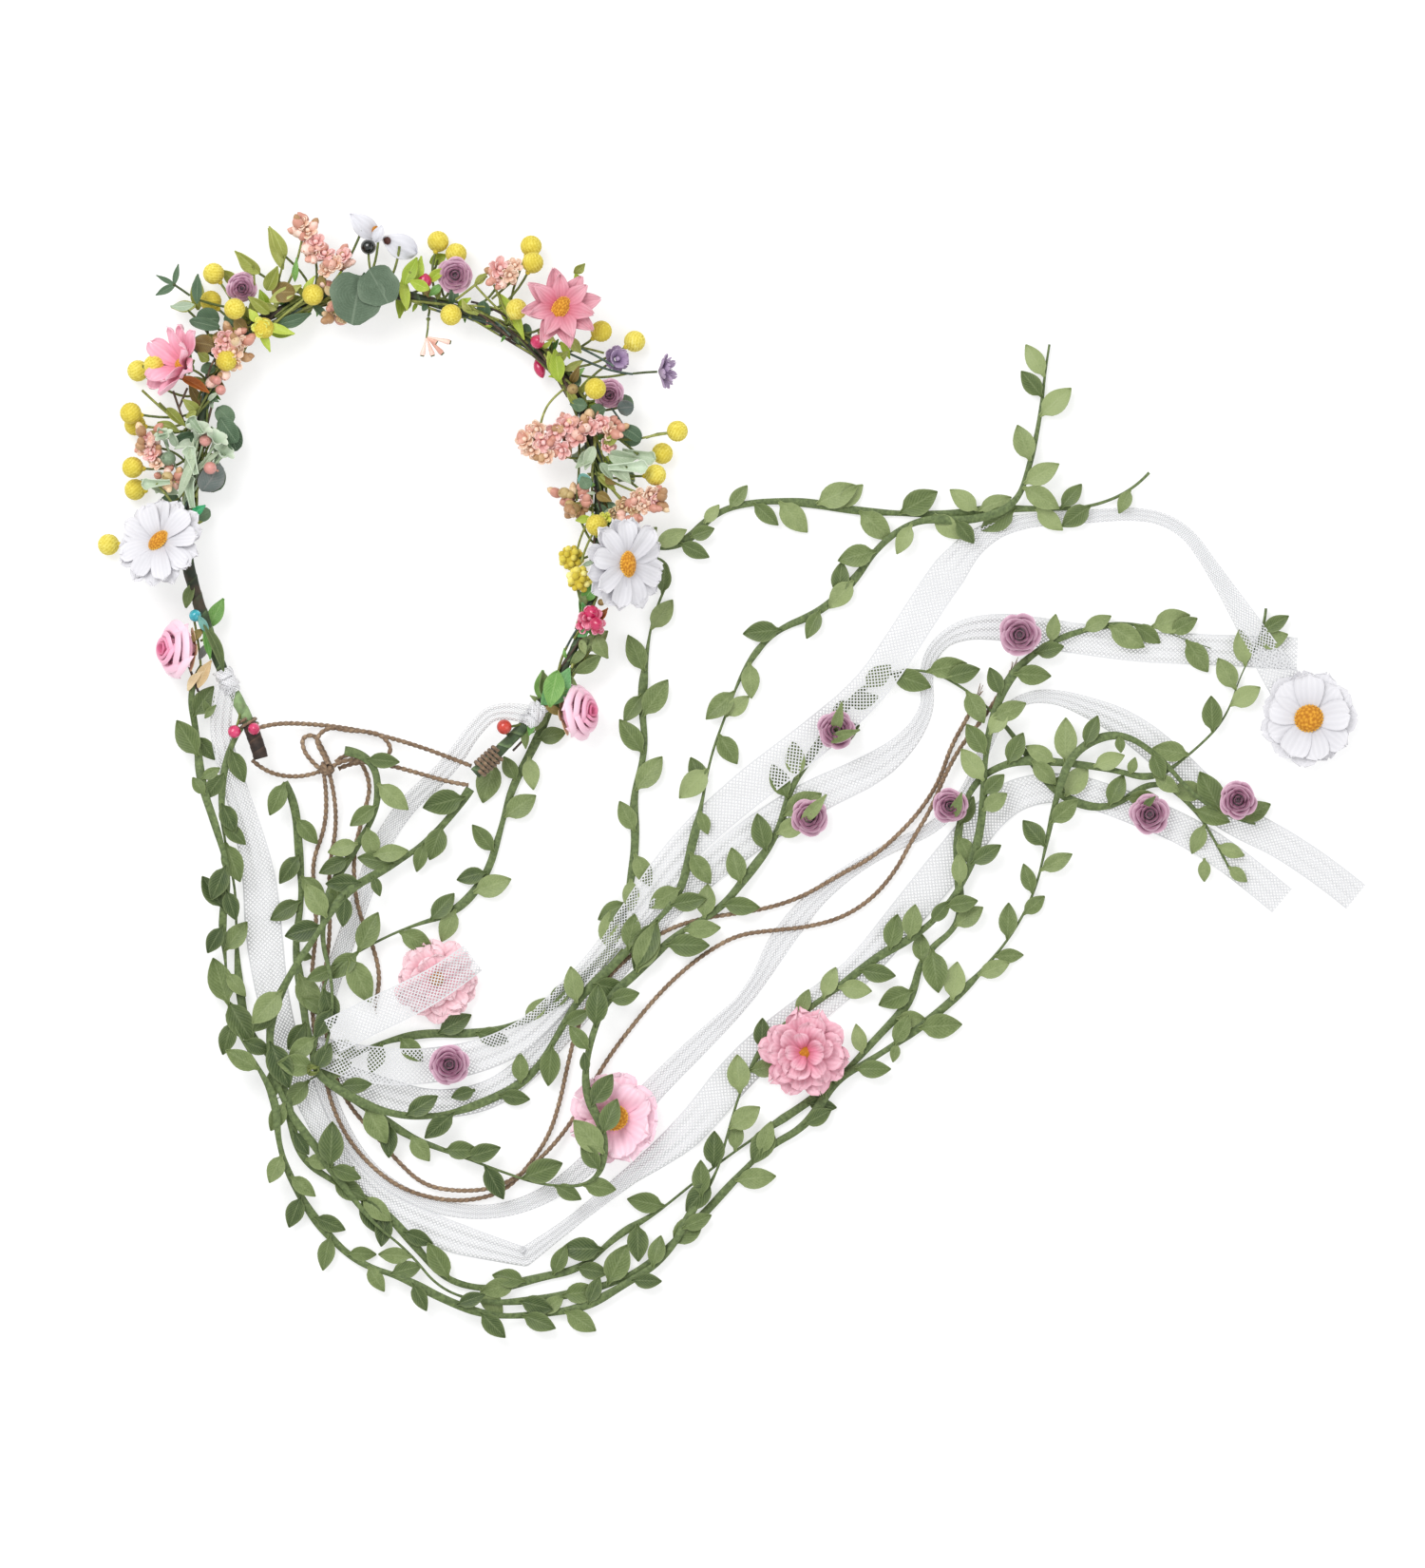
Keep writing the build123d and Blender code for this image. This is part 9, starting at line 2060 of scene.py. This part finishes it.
    (46.4, 102, 17, 42, 106, 18, 3.6, "folded", "olive", 0.5),
    (-34.8, 93.2, 16, -28.8, 88, 16, 3.6, "pointed", "euc_dark", 0.3),
]
# material, radius, points (mm)
DETAIL_STEMS = [
    ("dark_stem", 0.5, [(13.7, 89.1, 12), (13.6, 88.6, 12)]),
    ("olive_stem", 0.55, [(-106.8, 57.6, 14), (-99.6, 50.8, 15), (-91.6, 44, 14)]),
    ("olive_stem", 0.5, [(-99.6, 52.4, 15), (-93.6, 46, 15), (-87.2, 43.6, 14)]),
    ("olive_stem", 0.5, [(-101.2, 38.8, 14), (-93.2, 41.2, 15), (-87.2, 40, 13)]),
    ("olive_stem", 0.55, [(-88.4, 41.2, 15), (-82.8, 49.2, 16), (-75.6, 56, 15)]),
    ("olive_stem", 0.5, [(-74.4, 63.2, 15), (-80.8, 54, 17), (-85.6, 43.6, 16)]),
    ("twig", 0.5, [(-88.8, 42.8, 15), (-91.2, 50, 17), (-93.6, 57.2, 19)]),
    ("twig", 0.5, [(-91.2, 50, 17), (-89.2, 54.8, 19), (-87.6, 58.4, 20)]),
    ("twig", 0.45, [(-79.2, 62.8, 18), (-78.4, 66.8, 19), (-76.4, 70, 20)]),
    ("sage_stem", 0.6, [(-89.6, 8, 14), (-86.8, 22, 18), (-82.4, 39.2, 20)]),
    ("sage_stem", 0.6, [(-89.2, 8, 14), (-84.4, 22.8, 18), (-75.2, 35.6, 20)]),
    ("sage_stem", 0.55, [(-88.8, 9.2, 14), (-82, 21.2, 19), (-71.6, 30.8, 20)]),
    ("sage_stem", 0.5, [(-90, 20, 16), (-94.4, 29.2, 17), (-97.6, 37.2, 18)]),
    ("sage_stem", 0.45, [(-88.4, 15.6, 16), (-82, 30, 19), (-80.8, 36.4, 20)]),
    ("olive_stem", 0.45, [(-59.6, 97.2, 15), (-59.2, 103.6, 17), (-60, 110, 20)]),
    ("olive_stem", 0.45, [(-50.8, 97.2, 15), (-49.2, 104.4, 17), (-46.4, 114, 20)]),
    ("olive_stem", 0.5, [(-52.8, 84, 15), (-45.6, 90.8, 18), (-36.8, 97.2, 19)]),
    ("olive_stem", 0.5, [(-50.4, 86, 15), (-43.6, 92, 16), (-31.6, 98, 16)]),
    ("olive_stem", 0.5, [(-64.8, 72, 15), (-62, 78, 17), (-58.8, 84, 19)]),
    ("olive_stem", 0.55, [(25.2, 95.6, 15), (32, 100.8, 17), (38.4, 105.6, 18)]),
    ("olive_stem", 0.55, [(24.4, 92, 14), (35.2, 94.8, 15), (45.2, 90.8, 14)]),
    ("twig", 0.6, [(21.2, 93.2, 13), (33.2, 91.2, 14), (49.2, 82, 13)]),
    ("olive_stem", 0.6, [(27.6, 93.6, 15), (39.2, 90, 15), (55.6, 77.2, 14)]),
    ("twig", 0.5, [(31.6, 94.8, 14), (41.2, 93.2, 15), (52.4, 84.4, 14)]),
    ("olive_stem", 0.5, [(41.2, 102, 16), (44.4, 94, 16), (49.2, 85.2, 15)]),
    ("olive_stem", 0.5, [(49.2, 103.6, 17), (45.2, 100, 17), (40.4, 96, 15)]),
    ("olive_stem", 0.5, [(33.2, 102, 17), (37.2, 97.2, 16), (43.2, 91.6, 15)]),
    ("dark_stem", 0.5, [(70, 74.4, 15), (82, 68.8, 16), (92.4, 65.2, 15), (99.6, 64.4, 14)]),
    ("dark_stem", 0.5, [(73.2, 77.2, 16), (83.2, 73.2, 17), (91.6, 67.6, 17)]),
    ("olive_stem", 0.5, [(68.4, 77.2, 15), (78, 76, 16), (87.6, 73.2, 16)]),
    ("olive_stem", 0.5, [(71.6, 58.8, 14), (65.2, 54, 15), (61.2, 46, 16), (60.8, 42, 16)]),
    ("dark_stem", 0.45, [(89.2, 52, 15), (94, 46, 16), (97.2, 40, 17)]),
    ("olive_stem", 0.5, [(100.4, 36.8, 15), (109.2, 38.8, 16), (115.6, 39.6, 15)]),
    ("twig", 0.6, [(73.2, 62, 14), (76.8, 54, 14), (82, 46, 13)]),
    ("olive_stem", 0.5, [(84.4, 23.2, 15), (93.2, 17.2, 16), (103.6, 14, 17)]),
    ("olive_stem", 0.5, [(85.2, 22, 15), (91.2, 20, 17), (100.4, 20.4, 18)]),
    ("olive_stem", 0.55, [(84.4, 23.2, 14), (89.2, 17.2, 15), (97.2, 10, 15)]),
    ("olive_stem", 0.5, [(83.6, 22.8, 15), (91.6, 16.4, 15), (98.8, 5.6, 15)]),
    ("twig", 0.45, [(70.8, 14.4, 17), (75.6, 14, 16), (82, 10.8, 14)]),
    ("olive_stem", 0.5, [(82, 4, 17), (78, -2, 17), (76.4, -9.2, 16)]),
    ("olive_stem", 0.5, [(84.4, -0.4, 16), (80.4, -6, 16), (78, -14.8, 16)]),
    ("twig", 0.6, [(84, -34, 12), (76.4, -49.2, 13), (66.8, -64.4, 12)]),
    ("olive_stem", 0.6, [(86, -45.2, 11), (80, -54, 12), (71.6, -66.8, 12)]),
    ("twig", 0.5, [(82, -38.8, 13), (74.4, -54, 14), (66, -62.8, 13)]),
    ("olive_stem", 0.5, [(74.8, -61.2, 13), (71.6, -66.8, 12), (68.4, -72.4, 11)]),
    ("twig", 0.5, [(58.4, -84, 12), (54, -89.2, 12), (49.2, -94, 11)]),
    ("twig", 0.55, [(-88.4, -54.8, 12), (-85.6, -62.8, 13), (-83.2, -69.2, 12)]),
    ("olive_stem", 0.5, [(-85.2, -38, 12), (-82.8, -48.4, 14), (-82, -60, 13)]),
]
# x, y, z, radius (mm), material
DETAIL_BALLS = [
    (-73.6, 57.6, 19, 2.2, "pink_pale"), (-75.2, 61.6, 20, 2, "pink_pale"), (-80, 36.4, 21, 2.6, "pink_pale"),
    (-78, 24.8, 21, 2.7, "pink_pale"), (-95.6, 28.8, 19, 3, "sage_ball"), (-96, 21.2, 19, 2.3, "tan_ball"),
    (59.6, 78.4, 17, 2.6, "pink_bud"), (74.4, 58, 17, 2.4, "tan_ball"), (70.8, 14.4, 18, 2.4, "tan_ball"),
    (73.2, 13.6, 18, 1.8, "tan_ball"), (75.2, 7.6, 18, 2.6, "tan_ball"), (73.2, 9.6, 18, 2, "tan_ball"),
    (86.4, -31.6, 15, 1.5, "tan_ball"), (38.8, 86, 14, 1.1, "pink_pale"), (-8.4, 124.8, 19, 1.7, "gold"),
    (-6.8, 123.2, 19, 1.3, "gold"), (-3.6, 120.4, 17, 1.6, "rust_bud"),
]
# throat x, y, z, mouth x, y, z, mouth radius (mm), material
TRUMPETS = [
    (-84.8, 34, 18, -82.4, 42.4, 23, 5.4, "mint_soft"), (-78, 32.4, 18, -74.4, 38, 23, 4.6, "mint_soft"),
    (-74.8, 28, 18, -71.6, 32.4, 22, 4.6, "mint_soft"), (-95.6, 34, 16, -98, 39.2, 20, 4, "mint_soft"),
]
# small five-petal flowers: x, y, z, radius (mm), material
STARS = [
    (54.4, 36.8, 19, 4.6, "peach_star"), (59.6, 41.2, 20, 4.6, "peach_star"), (62, 35.6, 20, 4.8, "pink_star"),
    (67.2, 40, 21, 4.8, "pink_star"), (72, 43.2, 20, 4.6, "pink_star"), (76, 38, 20, 4.8, "pink_star"),
    (81.2, 42, 20, 4.4, "pink_star"), (86.4, 43.6, 20, 4.2, "pink_star"), (90.4, 40, 19, 4.2, "peach_star"),
    (63.2, 30, 19, 4.4, "peach_star"), (70, 32.4, 20, 4.4, "pink_star"), (57.2, 32.4, 19, 4, "peach_star"),
    (89.2, 34, 18, 3.8, "pink_star"), (43.6, 108.8, 19, 5, "pink_star"), (48, 106, 19, 4.2, "peach_star"),
    (42.8, 104, 18, 3.8, "pink_star"), (50, 110, 18, 3.6, "peach_star"), (-36.8, 124.4, 19, 4.4, "peach_star"),
    (-39.6, 127.6, 19, 3.6, "peach_star"), (-33.6, 119.6, 20, 4.6, "pink_star"), (-30, 114.8, 20, 4.6, "pink_star"),
    (-34.8, 115.6, 19, 4, "peach_star"), (-26, 110.8, 20, 4.4, "peach_star"), (-22, 114, 19, 4, "pink_star"),
    (-29.2, 108, 19, 3.8, "peach_star"), (-24.4, 93.2, 18, 4.2, "tan_star"), (-22.4, 88.8, 18, 3.4, "tan_star"),
    (-71.6, 78.8, 20, 4.6, "pink_star"), (-68, 73.6, 20, 4.2, "peach_star"), (-74, 73.6, 20, 3.8, "pink_star"),
    (-65.6, 77.2, 19, 3.6, "peach_star"), (-67.6, 68.8, 19, 3.4, "peach_star"), (-104, 36.4, 17, 4.2, "pink_star"),
    (-102.8, 30.8, 18, 3.8, "pink_star"), (-100.4, 26.8, 18, 3.4, "peach_star"), (-106, 32.4, 17, 3.2, "peach_star"),
    (102, 12, 18, 4.6, "peach_star"), (106.8, 14, 18, 4.2, "peach_star"), (99.6, 8, 18, 3.8, "tan_star"),
    (104.4, 8.8, 18, 3.8, "peach_star"), (109.2, 11.6, 17, 3.4, "pink_star"), (80, 11.2, 17, 3.2, "pink_star"),
    (95.2, 8.8, 17, 3.6, "tan_star"), (91.6, 6, 16, 3, "tan_star"), (84, 1.6, 19, 4, "lime_star"),
    (88, 3.6, 18, 3, "lime_star"), (-56.4, 84, 21, 4.4, "lime_star"), (81.6, -38, 18, 5.4, "hot_star"),
    (84.4, -41.6, 17, 4.2, "hot_star"), (78.8, -41.2, 16, 3.6, "hot_star"),
]


def detail_leaf(m, base, tip, width, kind, tint):
    base, tip = np.array(base, float), np.array(tip, float)
    d = tip - base
    L = np.linalg.norm(d)
    t = d / L
    side = unit(np.cross((0, 0, 1), t))
    up = np.cross(t, side)
    roll = rng.uniform(-0.35, 0.35)
    side, up = side * math.cos(roll) + up * math.sin(roll), up * math.cos(roll) - side * math.sin(roll)
    nu, nv = 13, 9
    G = np.zeros((nu, nv, 3))
    uv = np.zeros((nu, nv, 2))
    sweep = rng.uniform(-0.10, 0.10) * L
    bend = rng.uniform(-0.02, 0.14) * L
    for i in range(nu):
        u = i / (nu - 1)
        if kind == "round":
            k = max(0.0, 1 - (2 * u - 1) ** 2) ** 0.5
        elif kind == "folded":
            k = (math.sin(math.pi * u ** 0.72) ** 0.8) if 0 < u < 1 else 0
        else:
            k = (math.sin(math.pi * u ** 0.88) ** 0.95) if 0 < u < 1 else 0
        w = max(width / 2 * k, 0.00022)
        for j in range(nv):
            v = j / (nv - 1) * 2 - 1
            crease = abs(v) ** 1.2 * w * {"folded": 0.75, "round": 0.12, "pointed": 0.30}[kind]
            ripple = 0.06 * width * math.sin(u * 8 + v * 2.5) * abs(v)
            G[i, j] = base + t * L * u + side * (w * v * (0.9 if kind == "folded" else 1.0) + sweep * math.sin(math.pi * u) * 0.6) + up * (crease + bend * math.sin(math.pi * u) + ripple)
            uv[i, j] = (u, j / (nv - 1))
    G[..., 2] = np.maximum(G[..., 2], 0.0006)
    m.leaf(G, 0.00032, tint=tint, uv=uv)


DETAIL_SLOT = {"euc_dark": "eucalyptus", "mint": "mint", "olive": "olive", "green": "leaf", "brown_leaf": "olive", "lime": "leaf", "rust": "olive", "sage": "mint",
               "plum_leaf": "eucalyptus", "emerald": "leaf", "emerald2": "leaf", "teal": "eucalyptus", "vine": "vine", "tan": "olive", "olive_stem": "stem",
               "twig": "stem", "sage_stem": "stem", "dark_stem": "stem", "pink_pale": "bud", "sage_ball": "bud", "tan_ball": "bud", "pink_bud": "pink_bud",
               "mint_soft": "mint", "peach_star": "bud", "pink_star": "bud", "tan_star": "bud", "lime_star": "leaf", "hot_star": "pink_bud", "gold": "button", "rust_bud": "bud"}
details = {}
for x0, y0, z0, x1, y1, z1, w, kind, key, tint in DETAIL_LEAVES:
    detail_leaf(details.setdefault(key, Mesh()), (x0 * MM, y0 * MM, z0 * MM), (x1 * MM, y1 * MM, z1 * MM), w * MM, kind, tint)
for key, r, pts in DETAIL_STEMS:
    line = line_of(pts, 8)
    details.setdefault(key, Mesh()).tube(line, r * MM, 8, tint=rng.uniform(0.2, 0.9))
for x, y, z, r, key in DETAIL_BALLS:
    c = np.array([x, y, z]) * MM
    mm_ = details.setdefault(key, Mesh())
    out = unit(unit(c - nearest_ring(c)) + np.array([0, 0, 0.5]))
    mm_.ball(c, (r * MM, r * MM, r * 1.12 * MM), frame_to(out, (0.3, 0.2, 0.9)), 12, 16, tint=rng.uniform(0.3, 0.8))
    mm_.ball(c + out * r * 1.06 * MM, (r * 0.22 * MM,) * 3, None, 5, 7, tint=0.0)


def trumpet(m, a, b, r, tint):
    """A small flared bell with five points, open at the mouth."""
    a, b = np.array(a, float), np.array(b, float)
    F = frame_to(b - a, (0.2, 0.1, 1))
    L = np.linalg.norm(b - a)
    prof = [(0.00, 0.10), (0.25, 0.14), (0.50, 0.22), (0.72, 0.42), (0.88, 0.72), (1.0, 1.0)]
    back = [(0.99, 0.96), (0.86, 0.66), (0.70, 0.36), (0.50, 0.16), (0.35, 0.06)]
    nv = 30
    P = np.zeros((len(prof) + len(back), nv, 3))
    uv = np.zeros((len(prof) + len(back), nv, 2))
    for i, (h, q) in enumerate(prof + back):
        for j in range(nv):
            an = 2 * math.pi * j / nv
            star = 1 + (0.34 * abs(math.cos(2.5 * an)) - 0.20) * q ** 1.5
            rr = r * q * star
            P[i, j] = a + F[2] * (L * h - 0.10 * r * q ** 3 * abs(math.cos(2.5 * an))) + (F[0] * math.cos(an) + F[1] * math.sin(an)) * rr
            uv[i, j] = (q, j / nv)
    base = m.grid(P, uv, closed_v=True, tint=tint, flip=True)
    n = len(P)
    m.faces.append(tuple(base + j for j in range(nv))); m.slots.append(0)
    m.faces.append(tuple(base + (n - 1) * nv + (nv - 1 - j) for j in range(nv))); m.slots.append(0)


for x0, y0, z0, x1, y1, z1, r, key in TRUMPETS:
    trumpet(details.setdefault(key, Mesh()), (x0 * MM, y0 * MM, z0 * MM), (x1 * MM, y1 * MM, z1 * MM), r * MM, rng.uniform(0.3, 0.8))
for x, y, z, r, key in STARS:
    c = np.array([x, y, z]) * MM
    out = unit(unit(c - nearest_ring(c)) * rng.uniform(0.1, 0.9) + np.array([rng.uniform(-0.35, 0.35), rng.uniform(-0.35, 0.35), 1.0]))
    F = frame_to(out, (0.3, 1, 0.1))
    mm_ = details.setdefault(key, Mesh())
    n = 5
    ph = rng.uniform(0, 6)
    for layer, (kk, rise) in enumerate([(1.0, 0.55), (0.66, 0.80)]):
        for i in range(n if layer == 0 else 3):
            petal(mm_, c - F[2] * 0.3 * r * MM, F, 2 * math.pi * i / (n if layer == 0 else 3) + ph + 0.6 * layer, 0.0004, r * kk * rng.uniform(0.88, 1.05) * MM, r * 0.74 * kk * MM, 0.0001,
                  r * rise * rng.uniform(0.8, 1.2) * MM, 0.25 * r * MM, cup=0.20 * r * MM, tint=rng.uniform(0, 1), nu=7, nv=6, widest=0.58, base_w=0.34,
                  thick=0.0004, tip_pow=2.2)
    mm_.ball(c + F[2] * 0.15 * r * MM, (0.26 * r * MM,) * 3, F, 6, 8, tint=0.1)
for key in sorted(details):
    details[key].make("detail_" + key, [M[key]], slot=DETAIL_SLOT[key])


# ------------------------------------------------------------------ floor and light
floor_mesh = Mesh()
floor_mesh.grid([[(-3, -3, -0.0004), (-3, 3, -0.0004)], [(3, -3, -0.0004), (3, 3, -0.0004)]], flip=True)
me = bpy.data.meshes.new("floor")
me.from_pydata(floor_mesh.co, [], floor_mesh.faces)
floor = bpy.data.objects.new("floor", me)
bpy.context.scene.collection.objects.link(floor)
fm = bpy.data.materials.new("floor_white")
fm.use_nodes = True
fb = fm.node_tree.nodes["Principled BSDF"]
fb.inputs["Base Color"].default_value = (0.48, 0.48, 0.48, 1)
fb.inputs["Emission Color"].default_value = (1, 1, 1, 1)
fb.inputs["Emission Strength"].default_value = 0.56
fb.inputs["Roughness"].default_value = 0.9
fb.inputs["Specular IOR Level"].default_value = 0.1
me.materials.append(fm)

bpy.context.scene.view_settings.view_transform = "Standard"
world = bpy.data.worlds.new("studio")
bpy.context.scene.world = world
world.use_nodes = True
bg = world.node_tree.nodes["Background"]
bg.inputs[0].default_value = (1.0, 1.0, 1.0, 1)
bg.inputs[1].default_value = 0.80


def area(name, loc, size, energy, target=(0.13, -0.1, 0)):
    d = bpy.data.lights.new(name, "AREA")
    d.shape = "DISK"
    d.size = size
    d.energy = energy
    o = bpy.data.objects.new(name, d)
    o.location = loc
    o.rotation_euler = (Vector(target) - Vector(loc)).to_track_quat("-Z", "Y").to_euler()
    bpy.context.scene.collection.objects.link(o)
    return o


area("key", (-0.8, 1.0, 1.9), 1.4, 30.0)
area("fill", (1.6, -0.6, 1.7), 1.8, 10.0)
